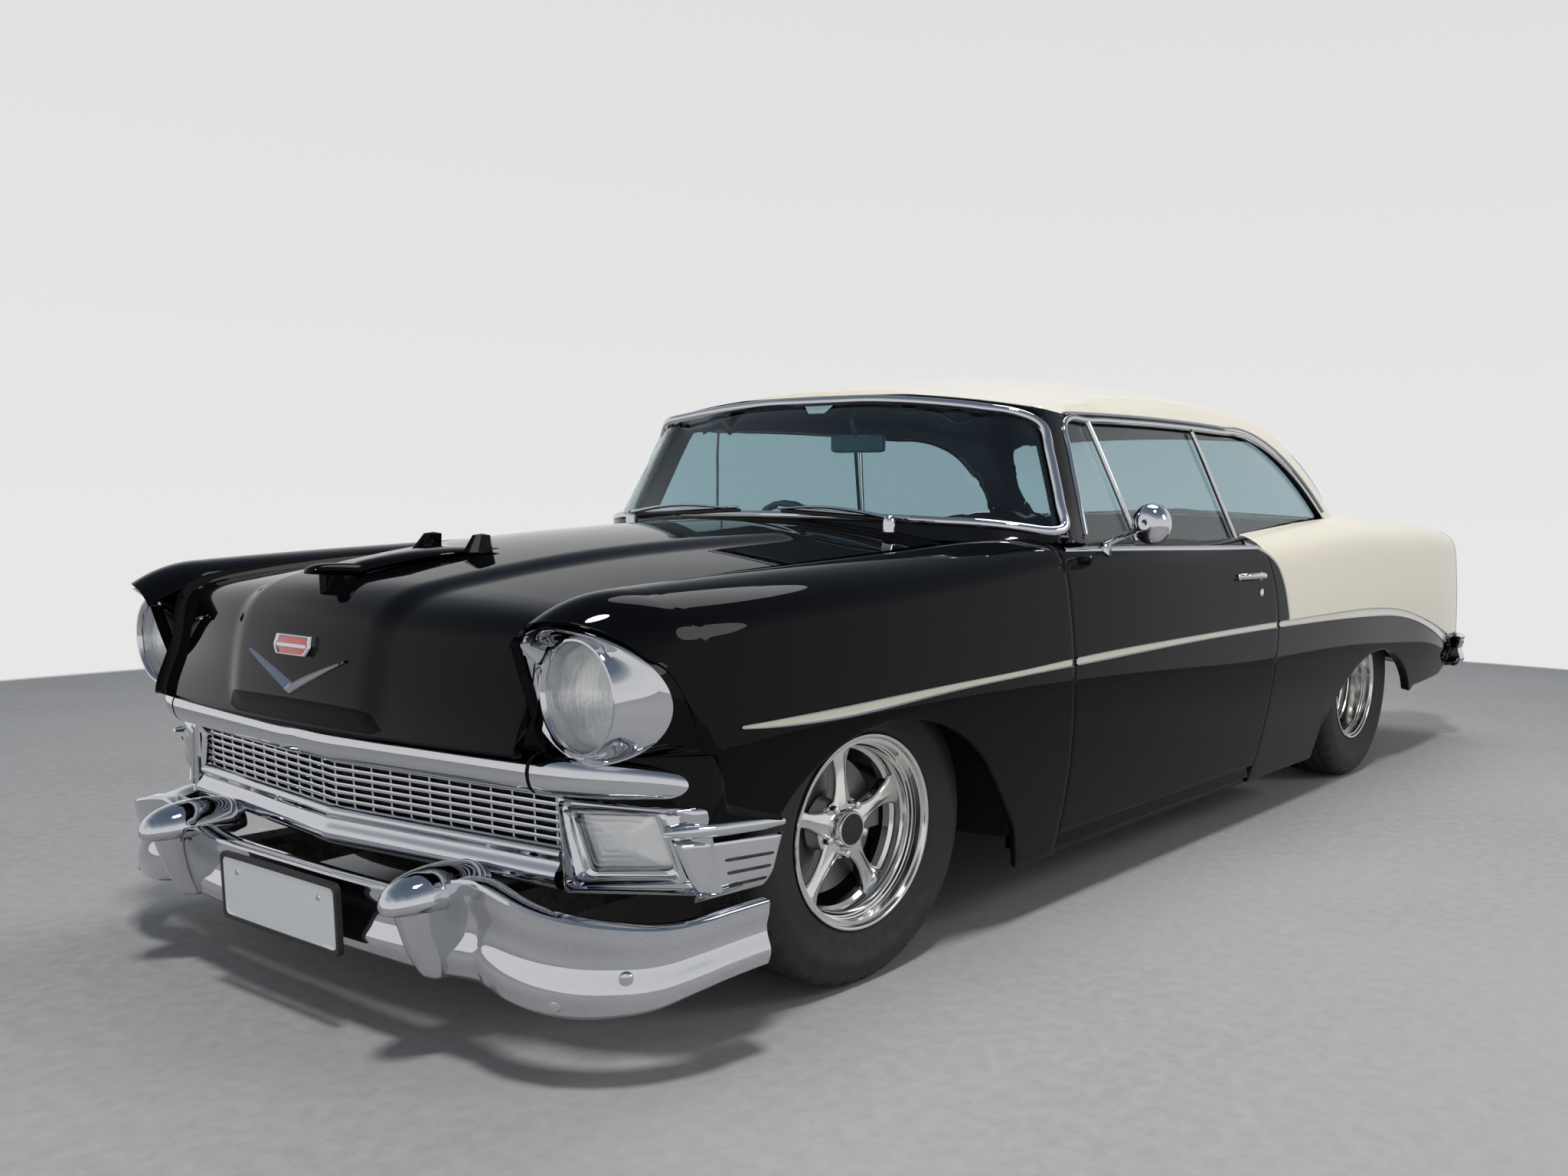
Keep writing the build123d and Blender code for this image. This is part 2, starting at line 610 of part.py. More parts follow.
# ---------------------------------------------------------------- frame and running gear
front = AXLES[0]
rear = AXLES[1]
hub_x = front[2] + front[5] / 2 - front[6]          # outer face of the front spokes
rear_hub_x = rear[2] + rear[5] / 2 - rear[6]
rail_half = RAIL_WIDTH / 2
with BuildPart() as frame:
    for side, word in SIDES:
        add(mirrored(side_prism((RAIL_START_S, 180), [
            (RAIL_START_S, 262), (190, 262), (430, FLOOR_Z), (2440, FLOOR_Z), (2700, TRUNK_FLOOR_Z),
            (3200, TRUNK_FLOOR_Z), (3480, 345), (RAIL_END_S, 345), (RAIL_END_S, 275), (3450, 275),
            (3170, 445),
            (2725, 445), (2480, 124), (405, 124), (160, 190), (-380, 190)],
            RAIL_X - rail_half, RAIL_X + rail_half), side))
        add(mirrored(block(RAIL_X - 20, RAIL_X + rail_half, -85, 85, 262, KNUCKLE_TOP_Z + 30), side))
        for mount_s, low, high in ((-640, 200, 250), (3620, 285, 335)):
            add(mirrored(block(RAIL_X - rail_half - 30, RAIL_X - rail_half, mount_s, mount_s + 60, low,
                               high),
                         side))
    for member_s, low, high in CROSS_MEMBERS:
        add(block(-RAIL_X + rail_half, RAIL_X - rail_half, member_s - 45, member_s + 45, low, high))
save(frame, "frame")

with BuildPart() as arms:
    for side, word in SIDES:
        for low, high, reach in ((168, 186, 150), (KNUCKLE_TOP_Z + 6, KNUCKLE_TOP_Z + 24, 80)):
            arm = plan_prism((RAIL_X + rail_half, -reach), [
                (KINGPIN_X - 20, -24), ((KINGPIN_X + 24, 0), (KINGPIN_X - 20, 24)),
                (RAIL_X + rail_half, reach),
                (RAIL_X + rail_half, reach - 44), (KINGPIN_X - 70, 0), (RAIL_X + rail_half, 44 - reach)],
                low, high)
            add(mirrored(arm, side))
save(arms, "front_arms")

with BuildPart() as knuckle:
    add(block(KINGPIN_X - 18, KINGPIN_X + 20, -28, 28, KNUCKLE_BOTTOM_Z, KNUCKLE_TOP_Z))
    for z_from, z_to in ((KNUCKLE_BOTTOM_Z - 6 + SEAT_GAP, KNUCKLE_BOTTOM_Z),
                         (KNUCKLE_TOP_Z, KNUCKLE_TOP_Z + 6 - SEAT_GAP)):
        with Locations((KINGPIN_X, along(0), (z_from + z_to) / 2)):
            Cylinder(14, z_to - z_from)
    add(turned((0, 0), [(0, 44), (20, 44), (hub_x - 76 - KINGPIN_X, 30),
                        (hub_x - 76 - KINGPIN_X, BORE_R - SEAT_GAP),
                        (hub_x + 8 - SEAT_GAP - KINGPIN_X, BORE_R - SEAT_GAP),
                        (hub_x + 8 - SEAT_GAP - KINGPIN_X, 0)],
               (KINGPIN_X, along(0), front[3]), (1, 0, 0)))
    add(block(KINGPIN_X - 10, KINGPIN_X + 10, 20, 120, 290, 330))
    add(block(KINGPIN_X + 2, hub_x - 76, 78, 118, 275, 385))
    add(block(hub_x - 86, hub_x - 46, 96, DISC_R + 13, 298, 358)
        - block(hub_x - 75, hub_x - 53, 0, DISC_R + 5.5, 200, 500))
for side, word in SIDES:
    with BuildPart() as hub_knuckle:
        add(mirrored(knuckle.part, side))
    save(hub_knuckle, f"knuckle_{word}")

with BuildPart() as rear_axle:
    stub = rear_hub_x + 8 - SEAT_GAP
    add(turned((-stub, 0), [(-stub, BORE_R - SEAT_GAP), (-(rear_hub_x - 74), BORE_R - SEAT_GAP),
                            (-(rear_hub_x - 74), 38),
                            (-170, 38), (-110, 120), (110, 120), (170, 38), (rear_hub_x - 74, 38),
                            (rear_hub_x - 74, BORE_R - SEAT_GAP), (stub, BORE_R - SEAT_GAP), (stub, 0)],
               (0, along(WHEELBASE), rear[3]), (1, 0, 0)))
    for side, word in SIDES:
        add(mirrored(side_prism((2576, 262), [
            ((2950, 352), (3470, 262)), (3470, 275), (3500, 275), (3500, 232), (3470, 232),
            ((2950, 322), (2576, 232))], RAIL_X - 26, RAIL_X + 26), side))
    add(frame.part, mode=Mode.SUBTRACT)
save(rear_axle, "rear_axle")

with BuildPart() as engine:
    add(block(-ENGINE_HALF, ENGINE_HALF, -190, 420, 232, 760))
save(engine, "engine")

with BuildPart() as driveline:
    add(turned((420, 0), [(420, 105), (470, 105), (760, 88), (980, 62), (980, 40), (2840, 40), (2840, 0)],
               (0, along(0), 300), (0, 1, 0)))
    add(rear_axle.part, mode=Mode.SUBTRACT)
save(driveline, "driveline")

with BuildPart() as exhaust:
    for side, word in SIDES:
        add(mirrored(turned((430, 0), [(430, 24), (1250, 24), (1280, 44), (1700, 44), (1730, 24),
                                       (2300, 24), (2300, 0)],
                            (250, along(0), 112), (0, 1, 0)), side))
        for hanger_s in (900, 2050):
            add(mirrored(block(242, 258, hanger_s - 10, hanger_s + 10, 130, 160), side))
save(exhaust, "exhaust")

with BuildPart() as tank:
    add(block(-FUEL_TANK_HALF, FUEL_TANK_HALF, 3520, 3980, 352, TRUNK_FLOOR_Z))
    fillet(tank.edges().filter_by(Axis.Z), 60)
save(tank, "fuel_tank")

# ---------------------------------------------------------------- floor, bulkheads and inner wings
wall = FLOOR_WALL
floor_top = FLOOR_Z + wall
with BuildPart() as tub:
    add(block(-FLOOR_HALF, FLOOR_HALF, FIREWALL_S, SEAT_BACK_S, FLOOR_Z, floor_top))
    add(block(-TUNNEL_HALF - wall, TUNNEL_HALF + wall, FIREWALL_S, SEAT_BACK_S, FLOOR_Z,
              TUNNEL_TOP_Z + wall))
    add(block(-TUNNEL_HALF, TUNNEL_HALF, FIREWALL_S - 1, SEAT_BACK_S + wall + 1, 0, TUNNEL_TOP_Z),
        mode=Mode.SUBTRACT)
    add(front_prism((-FLOOR_HALF, floor_top), [
        (-FLOOR_HALF, 880), (-600, 884), (0, 948), (600, 884), (FLOOR_HALF, 880), (FLOOR_HALF, floor_top)],
        FIREWALL_S, FIREWALL_S + wall) - block(-TUNNEL_HALF, TUNNEL_HALF, 0, 900, 0, TUNNEL_TOP_Z))
    add(block(-REAR_TUB_X, REAR_TUB_X, SEAT_BACK_S, SEAT_BACK_S + wall, TUNNEL_TOP_Z, 930)
        + block(-REAR_TUB_X, REAR_TUB_X, SEAT_BACK_S, SEAT_BACK_S + wall, FLOOR_Z, TUNNEL_TOP_Z)
        - block(-TUNNEL_HALF, TUNNEL_HALF, 0, 4000, 0, TUNNEL_TOP_Z))
    add(block(-REAR_TUB_X, REAR_TUB_X, SEAT_BACK_S, TAIL_INNER_S, TRUNK_FLOOR_Z, TRUNK_FLOOR_Z + wall)
        - block(-TUNNEL_HALF, TUNNEL_HALF, 0, SEAT_BACK_S + wall, 0, TUNNEL_TOP_Z))
    add(block(-SEAM_X + 20, SEAM_X - 20, TAIL_INNER_S, TAIL_INNER_S + wall, TAIL_PANEL_BOTTOM_Z,
              TAIL_PANEL_TOP_Z - 20))
    for side, word in SIDES:
        for box in (
            block(FLOOR_HALF, INNER_SIDE_X, FIREWALL_S, 700, SILL_TOP_Z, 880),
            block(FLOOR_HALF, INNER_SIDE_X, 700, 800, SILL_TOP_Z, DOOR_TOP_Z + 2),
            block(FLOOR_HALF, INNER_SIDE_X, 1925, TUB_FRONT_S, SILL_TOP_Z, 920),
            block(FLOOR_HALF - 20, FLOOR_HALF, 780, 1945, FLOOR_Z, floor_top + 6),
            block(REAR_TUB_X, FLOOR_HALF, TUB_FRONT_S - wall, TUB_FRONT_S, FLOOR_Z, 920),
            block(REAR_TUB_X, REAR_TUB_X + wall, TUB_FRONT_S, TUB_REAR_S, TRUNK_FLOOR_Z - 100,
                  REAR_TUB_TOP_Z),
            block(REAR_TUB_X, TUB_OUTER_X, TUB_FRONT_S - wall, TUB_REAR_S, REAR_TUB_TOP_Z,
                  REAR_TUB_TOP_Z + wall),
            block(REAR_TUB_X, TUB_OUTER_X, TUB_REAR_S, TUB_REAR_S + wall, TRUNK_FLOOR_Z - 20,
                  REAR_TUB_TOP_Z + wall),
            block(REAR_TUB_X, TUB_OUTER_X - 20, TUB_REAR_S, 3960, TRUNK_FLOOR_Z, TRUNK_FLOOR_Z + wall),
            block(APRON_X, SEAM_X, -520, FIREWALL_S, 672, 800),
        ):
            add(mirrored(box, side))
        add(mirrored(block(RAIL_X - rail_half - 2, RAIL_X + rail_half + 2, 2436, SEAT_BACK_S + wall + 1, 0,
                           366), side),
            mode=Mode.SUBTRACT)
save(tub, "floor_pan")

# ---------------------------------------------------------------- grille, bumpers and lamps
def vee(z_from, z_to, front_shift, depth, half):
    """Bar across the nose whose plan is a shallow V, front_shift ahead of the grille line."""
    def front_s(x):
        return GRILLE_END_S - front_shift - GRILLE_V * (1 - x / GRILLE_HALF)
    return plan_prism((0, front_s(0)), [
        (half, front_s(half)), (half, front_s(half) + depth), (0, front_s(0) + depth),
        (-half, front_s(half) + depth), (-half, front_s(half))], z_from, z_to)


with BuildPart() as grille:
    add(vee(GRILLE_BOTTOM_Z, GRILLE_TOP_Z, -26, 6, GRILLE_HALF - 2))
    pitch = (GRILLE_TOP_Z - GRILLE_BOTTOM_Z) / GRILLE_ROWS
    for row in range(GRILLE_ROWS):
        add(vee(GRILLE_BOTTOM_Z + pitch * (row + 0.5) - 4, GRILLE_BOTTOM_Z + pitch * (row + 0.5) + 4, 0, 27,
                GRILLE_HALF - 2))
    for post in range(-GRILLE_POSTS, GRILLE_POSTS + 1):
        x = post * (GRILLE_HALF - 30) / GRILLE_POSTS
        s = GRILLE_END_S - GRILLE_V * (1 - abs(x) / GRILLE_HALF)
        add(block(x - 3, x + 3, s + 5, s + 29, GRILLE_BOTTOM_Z, GRILLE_TOP_Z))
save(grille, "grille")

with BuildPart() as header:
    add(vee(GRILLE_TOP_Z, HOOD_BOTTOM_Z, 66, 88, DECK_HALF))
    header_front = header.edges().filter_by(lambda e: abs(e.center().X) > 50).group_by(Axis.Y)[0]
    fillet(header_front.filter_by(lambda e: abs((e @ 0).Z - (e @ 1).Z) < 1), 22)
save(header, "hood_header")

with BuildPart() as surround:
    add(vee(LOWER_BAR_Z, GRILLE_BOTTOM_Z, 20, 62, GRILLE_HALF))
    add(plan_prism((SEAM_X - 4, -672), [
        ((760, -628), (838, -545)), (858, -470), (836, -455), (806, -520),
        ((740, -588), (SEAM_X - 4, -614))],
        GRILLE_TOP_Z, HOOD_BOTTOM_Z))
    add(plan_prism((SEAM_X - 2, -594), [(700, -592), (862, -512), (862, -480), (SEAM_X - 2, -540)],
                   LOWER_BAR_Z, GRILLE_TOP_Z))
    add(plan_prism((852, -516), [(880, -500), (890, -330), (866, -330)], 305, 432))
    add(side_prism((-700, 200), [(-490, 280), (-362, 300), (-318, 440), (-318, 200)], 700, 1000),
        mode=Mode.SUBTRACT)
    add(front_prism((664, 458), [(822, 474), (852, 366), (706, 352)], -600, -500), mode=Mode.SUBTRACT)
    add(wing.part, mode=Mode.SUBTRACT)
right_surround = mirrored(surround.part, -1)
with BuildPart() as grille_surround:
    add(surround.part)
    add(right_surround)
save(grille_surround, "grille_surround")

with BuildPart() as parking:
    add(front_prism((665, 457), [(821, 473), (851, 367), (707, 353)], -600, -530))
    add(plan_prism((600, -640), [(700, -596), (862, -518), (900, -400), (600, -400)], 300, 500),
        mode=Mode.INTERSECT)
with BuildPart() as parking_lamps:
    for side, word in SIDES:
        add(mirrored(parking.part, side))
save(parking_lamps, "parking_lamps")


def bumper_band(wall, z_from, z_to):
    """Wall that follows the front bumper's plan all the way across."""
    w = wall
    outer = plan_prism((-942, -400), [
        (-926, -520), ((-830, -662), (-560, -732)), ((-300, -748), (0, -752)), ((300, -748), (560, -732)),
        ((830, -662), (926, -520)), (942, -400)], z_from, z_to)
    inner = plan_prism((-942 + w, -300), [
        (-942 + w, -400), (-926 + w, -516), ((-830 + w * 0.7, -662 + w * 0.7), (-560, -732 + w)),
        ((-300, -748 + w), (0, -752 + w)), ((300, -748 + w), (560, -732 + w)),
        ((830 - w * 0.7, -662 + w * 0.7), (926 - w, -516)), (942 - w, -400), (942 - w, -300)], z_from, z_to)
    return outer - inner


with BuildPart() as front_bumper:
    add(bumper_band(BUMPER_WALL, 60, 420))
    add(front_prism((-1000, 180), [
        ((-820, 132), (-700, 133)), ((-560, 146), (-443, 150)), (443, 150), ((560, 146), (700, 133)),
        ((820, 132), (1000, 180)), (1000, 306), ((900, 287), (700, 323)), ((560, 352), (443, 300)), (0, 298),
        (-443, 300), ((-560, 352), (-700, 323)), ((-900, 287), (-1000, 306))], -900, -300),
        mode=Mode.INTERSECT)
    for side, word in SIDES:
        guard = turned((GUARD_TIP_S, 0), [
            ((GUARD_TIP_S + 12, GUARD_R * 0.62), (GUARD_TIP_S + 60, GUARD_R)), (GUARD_END_S, GUARD_R),
            (GUARD_END_S, 0)],
            (GUARD_X, along(0), 300), (0, 1, 0))
        add(mirrored(guard, side))
        post = side_prism((-792, 290), [(-740, 290), (-730, 152), ((-772, 210), (-792, 290))], GUARD_X - 40,
                          GUARD_X + 40)
        add(mirrored(post, side))
        add(mirrored(block(RAIL_X - rail_half, RAIL_X + rail_half, -735, RAIL_START_S, 190, 255), side))
save(front_bumper, "front_bumper")

with BuildPart() as plate:
    add(block(-PLATE_HALF, PLATE_HALF, -778, -768, 152, 292))
    for side, word in SIDES:
        add(block(side * 60, side * 100, -768, -752 + SEAT_GAP, 200, 244))
        add(turned((-PLATE_SCREW_R * 4, 0), [(-PLATE_SCREW_R * 4, PLATE_SCREW_R),
                                             (PLATE_SCREW_R * 4, PLATE_SCREW_R),
                                             (PLATE_SCREW_R * 4, 0)],
                   (side * PLATE_SCREW_X, along(-773), PLATE_SCREW_Z), (0, 1, 0)), mode=Mode.SUBTRACT)
    add(front_bumper.part, mode=Mode.SUBTRACT)
save(plate, "number_plate")

with BuildPart() as rear_bumper:
    outer = plan_prism((-930, 4000), [
        (-924, 4110), ((-902, 4162), (-840, 4186)), ((0, 4216), (840, 4186)), ((902, 4162), (924, 4110)),
        (930, 4000)],
        330, 560)
    inner = plan_prism((-906, 3900), [
        (-906, 4000), (-900, 4108), ((-880, 4148), (-832, 4162)), ((0, 4192), (832, 4162)),
        ((880, 4148), (900, 4108)),
        (906, 4000), (906, 3900)], 330, 560)
    add(outer - inner)
    for side, word in SIDES:
        add(mirrored(block(RAIL_X - rail_half, RAIL_X + rail_half, RAIL_END_S, 4190, 330, 345) +
                     block(RAIL_X - rail_half, RAIL_X + rail_half, RAIL_END_S, RAIL_END_S + 40, 280, 345),
                     side))
save(rear_bumper, "rear_bumper")

with BuildPart() as tail_lamp:
    add(turned((-60, 0), [(-60, 46), (20, 46), ((32, 30), (38, 12)), (38, 0)], (772, along(TAIL_S), 800),
               (0, 1, 0)))
    add(side_prism((TAIL_S + TAIL_LEAN, 560), [(TAIL_S - 22, 990), (TAIL_S - 200, 990), (TAIL_S - 200, 560)],
                   600, 1000), mode=Mode.SUBTRACT)
with BuildPart() as tail_lamps:
    for side, word in SIDES:
        add(mirrored(tail_lamp.part, side))
save(tail_lamps, "tail_lamps")

with BuildPart() as ornament:
    add(side_prism((-673, 851), [(-560, 840), (-320, 870), (-300, 904), (-380, 902)], -15, 15))
    slab = side_prism((-640, 858), [(-330, 884), (-330, 896), (-640, 868)], -120, 120)
    add(slab & plan_prism((0, -610), [(112, -410), (112, -345), (0, -330), (-112, -345), (-112, -410)], 800,
                          1000))
    for side, word in SIDES:
        add(mirrored(side_prism((-420, 880), [(-385, 908), (-352, 910), (-345, 888)], 98, 110), side))
    add(outer_middle, mode=Mode.SUBTRACT)
save(ornament, "hood_ornament")

# ---------------------------------------------------------------- cabin
tunnel_space = block(-TUNNEL_HALF - wall, TUNNEL_HALF + wall, 400, 2700, 0, TUNNEL_TOP_Z + wall)


def bench(cushion_start, cushion_end, back_top, half, low_z, seat_z):
    """Bench seat: cushion, leaning back and the base that stands on the floor."""
    with BuildPart() as seat:
        add(side_prism((cushion_start, seat_z - 120), [
            (cushion_start, seat_z), (cushion_end - 130, seat_z - 30), (cushion_end - 40, back_top),
            (cushion_end + 60, back_top), (cushion_end, seat_z - 120)], -half, half))
        fillet(seat.edges().filter_by(Axis.X), 28)
        fillet(seat.faces().sort_by(Axis.X)[0].edges(), 18)
        fillet(seat.faces().sort_by(Axis.X)[-1].edges(), 18)
        add(block(-half + 60, half - 60, cushion_start + 60, cushion_end - 60, low_z, seat_z - 90))
        add(tunnel_space, mode=Mode.SUBTRACT)
    return seat


front_seat = bench(1230, 1760, 830, 640, floor_top, 470)
save(front_seat, "front_seat")
rear_seat = bench(2080, 2490, 890, 535, floor_top, 480)
save(rear_seat, "rear_seat")

wheel_axis = Vector(0, 1, 0.42).normalized()
wheel_centre = Vector(STEERING_X, along(1040), 838)
with BuildPart() as steering:
    torus_plane = Plane(origin=wheel_centre, x_dir=(1, 0, 0), z_dir=wheel_axis)
    with BuildSketch(Plane(origin=wheel_centre + Vector(205, 0, 0), x_dir=(1, 0, 0),
                           z_dir=(0, wheel_axis.Z, -wheel_axis.Y))):
        Circle(12)
    revolve(axis=Axis(wheel_centre, wheel_axis))
    with BuildSketch(torus_plane.offset(-6)):
        Rectangle(410, 26)
        Circle(34)
    extrude(amount=12)
    with BuildSketch(torus_plane):
        Circle(24)
    extrude(amount=-COLUMN_LENGTH)
save(steering, "steering_wheel")

with BuildPart() as dash:
    add(side_prism((700, 720), [(905, 700), ((925, 780), (885, 850)), (800, 885), (700, 880)], -FLOOR_HALF,
                   FLOOR_HALF))
    add(turned((0, 0), [(0, 24 + SEAT_GAP), (COLUMN_LENGTH + 300, 24 + SEAT_GAP), (COLUMN_LENGTH + 300, 0)],
               tuple(wheel_centre), tuple(-wheel_axis)), mode=Mode.SUBTRACT)
save(dash, "dashboard")

# ---------------------------------------------------------------- door mirrors
with BuildPart() as door_mirror:
    add(turned((-24, 0), [((-16, 40), (12, 52)), (26, 52), (26, 0)], (MIRROR_X, along(908), MIRROR_Z),
               (0, 1, 0)))
    with BuildSketch(Plane.XY.offset(DOOR_TOP_Z - 34)):
        with Locations((MIRROR_FOOT_X, along(886))):
            Circle(15)
    extrude(amount=42)
    stalk_start = Vector(MIRROR_FOOT_X, along(886), DOOR_TOP_Z + 4)
    stalk_end = Vector(MIRROR_X, along(910), MIRROR_Z)
    with BuildSketch(Plane(origin=stalk_start, z_dir=(stalk_end - stalk_start).normalized())):
        Circle(8)
    extrude(amount=(stalk_end - stalk_start).length)
    add(outer_skin, mode=Mode.SUBTRACT)
for side, word in SIDES:
    with BuildPart() as side_mirror:
        add(mirrored(door_mirror.part, side))
    save(side_mirror, f"door_mirror_{word}")
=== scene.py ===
"""A black and cream two-door hardtop: paint, brightwork, glass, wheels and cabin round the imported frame. Metres."""
import json
import math

import bmesh
import bpy
import numpy as np
from mathutils import Matrix


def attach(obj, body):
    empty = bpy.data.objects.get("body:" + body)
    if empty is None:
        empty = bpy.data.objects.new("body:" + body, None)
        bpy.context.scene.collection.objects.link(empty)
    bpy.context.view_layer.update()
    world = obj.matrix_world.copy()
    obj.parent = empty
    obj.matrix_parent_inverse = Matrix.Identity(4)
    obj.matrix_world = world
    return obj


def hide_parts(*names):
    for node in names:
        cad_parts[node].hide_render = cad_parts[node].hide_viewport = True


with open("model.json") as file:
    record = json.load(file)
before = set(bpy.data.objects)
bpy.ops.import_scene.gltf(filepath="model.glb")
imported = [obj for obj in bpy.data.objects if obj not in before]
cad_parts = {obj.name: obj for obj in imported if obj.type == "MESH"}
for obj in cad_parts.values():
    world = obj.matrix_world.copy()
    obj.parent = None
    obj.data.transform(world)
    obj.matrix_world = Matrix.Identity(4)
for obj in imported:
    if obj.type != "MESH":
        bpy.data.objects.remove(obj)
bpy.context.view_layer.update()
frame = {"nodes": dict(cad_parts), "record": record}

FRONT_AXLE_Y = -1.6955          # the front axle; stations are measured rearward from it
SIDES = ((1, "left"), (-1, "right"))
BODY_OF = {title: body for body, titles in frame["record"]["behaviour"]["bodies"].items() for title in titles}


def new_object(name, data):
    """Object in the scene round that data."""
    obj = bpy.data.objects.new(name, data)
    bpy.context.scene.collection.objects.link(obj)
    return obj


def stood(turn, place):
    """Blender matrix whose columns are the turn, standing at the place."""
    matrix = np.eye(4)
    matrix[:3, :3], matrix[:3, 3] = turn, place
    return Matrix(matrix.tolist())


# ---------------------------------------------------------------- camera
def aim(yaw, pitch, roll):
    """Columns right, up and back of a camera with that yaw about Z and that pitch, rolled about its view axis."""
    view = np.array([math.sin(yaw) * math.cos(pitch), math.cos(yaw) * math.cos(pitch), math.sin(pitch)])
    level = np.cross(view, [0.0, 0.0, 1.0])
    level /= np.linalg.norm(level)
    upright = np.cross(level, view)
    right = level * math.cos(roll) + upright * math.sin(roll)
    upward = -level * math.sin(roll) + upright * math.cos(roll)
    return np.stack([right, upward, -view], axis=1)


PICTURE_WIDTH, PICTURE_HEIGHT = 2048, 1536
FOCAL_PIXELS = 1677.4
CENTRE_COLUMN, CENTRE_ROW = 1406.05, 911.66
CAMERA_YAW, CAMERA_PITCH, CAMERA_ROLL = -0.55699, -0.13439, 0.02185
CAMERA_PLACE = (2.5694, -3.6981, 0.9770)

camera_data = bpy.data.cameras.new("camera")
camera_data.lens = FOCAL_PIXELS / PICTURE_WIDTH * camera_data.sensor_width
camera_data.shift_x = (PICTURE_WIDTH / 2 - CENTRE_COLUMN) / PICTURE_WIDTH
camera_data.shift_y = (CENTRE_ROW - PICTURE_HEIGHT / 2) / PICTURE_WIDTH
camera_data.clip_end = 200.0
camera = new_object("camera", camera_data)
camera.matrix_world = stood(aim(CAMERA_YAW, CAMERA_PITCH, CAMERA_ROLL), CAMERA_PLACE)
bpy.context.scene.camera = camera
bpy.context.scene.view_settings.view_transform = "Standard"


# ---------------------------------------------------------------- shader node groups
def node_group(name, inputs, outputs):
    """Empty shader group with those sockets: each a (name, kind, default)."""
    group = bpy.data.node_groups.new(name, "ShaderNodeTree")
    kinds = {"value": "NodeSocketFloat", "colour": "NodeSocketColor", "vector": "NodeSocketVector"}
    for title, kind, default in inputs:
        socket = group.interface.new_socket(title, in_out="INPUT", socket_type=kinds[kind])
        if default is not None:
            socket.default_value = default
    for title, kind in outputs:
        group.interface.new_socket(title, in_out="OUTPUT", socket_type=kinds[kind])
    return group, group.nodes.new("NodeGroupInput"), group.nodes.new("NodeGroupOutput")


def add_node(tree, kind, settings=None, inputs=None):
    """Node of that kind with its settings, each input given a value or linked from a socket."""
    node = tree.nodes.new(kind)
    for key, value in (settings or {}).items():
        setattr(node, key, value)
    for key, value in (inputs or {}).items():
        if isinstance(value, bpy.types.NodeSocket):
            tree.links.new(value, node.inputs[key])
        else:
            node.inputs[key].default_value = value
    return node


def noise(tree, where, scale, detail=4.0, rough=0.5):
    """Output of a noise texture."""
    made = add_node(tree, "ShaderNodeTexNoise", {}, {"Vector": where, "Scale": scale, "Detail": detail,
                                                     "Roughness": rough})
    return made.outputs["Fac"]


def remap(tree, value, low, high, to_low, to_high):
    """Output of a clamped Map Range."""
    made = add_node(tree, "ShaderNodeMapRange", {"clamp": True}, {
        "Value": value, "From Min": low, "From Max": high, "To Min": to_low, "To Max": to_high})
    return made.outputs["Result"]


def blend_colour(tree, factor, first, second):
    """Mix of two colours."""
    return add_node(tree, "ShaderNodeMix", {"data_type": "RGBA"}, {0: factor, 6: first, 7: second}).outputs[2]


def maths(tree, operation, first, second, **settings):
    """Output of a math node."""
    return add_node(tree, "ShaderNodeMath", {"operation": operation, **settings}, {0: first, 1: second}).outputs[0]


def object_place(tree):
    """Output of the piece's own coordinates."""
    return add_node(tree, "ShaderNodeTexCoord").outputs["Object"]


DUST_COLOUR = (0.20, 0.17, 0.14, 1)


def make_surface_group():
    """Finish that every hard surface shares: a colour that drifts a little, roughness that varies in patches, fine
    bump, and road dust that settles low down.
    """
    group, inside, out = node_group("worn finish", [
        ("Colour", "colour", (0.5, 0.5, 0.5, 1)), ("Drift", "value", 0.05), ("Roughness", "value", 0.3),
        ("Patches", "value", 0.1), ("Grain Scale", "value", 400.0), ("Grain Height", "value", 0.02),
        ("Dust", "value", 0.0), ("Dust Height", "value", 0.25)],
        [("Colour", "colour"), ("Roughness", "value"), ("Normal", "vector")])
    given = inside.outputs
    place = object_place(group)
    broad = noise(group, place, 3.0)
    fine = noise(group, place, given["Grain Scale"], 2.0)
    drift = maths(group, "MULTIPLY", given["Drift"], broad)
    shade = add_node(group, "ShaderNodeHueSaturation", {}, {"Color": given["Colour"],
                                                            "Value": maths(group, "SUBTRACT", 1.0, drift)})
    height = add_node(group, "ShaderNodeSeparateXYZ", {}, {"Vector": place}).outputs["Z"]
    low = remap(group, height, 0.0, given["Dust Height"], 1.0, 0.0)
    speck = remap(group, noise(group, place, 38.0, 6.0, 0.65), 0.42, 0.72, 0.0, 1.0)
    dust = maths(group, "MULTIPLY", maths(group, "MULTIPLY", low, speck), given["Dust"])
    rough = maths(group, "ADD", given["Roughness"], maths(group, "MULTIPLY", given["Patches"], broad))
    bump = add_node(group, "ShaderNodeBump", {}, {"Height": fine, "Strength": given["Grain Height"], "Distance": 0.001})
    for title, socket in (("Colour", blend_colour(group, dust, shade.outputs["Color"], DUST_COLOUR)),
                          ("Roughness", maths(group, "ADD", rough, dust, use_clamp=True)),
                          ("Normal", bump.outputs["Normal"])):
        group.links.new(socket, out.inputs[title])
    return group


worn_finish = make_surface_group()


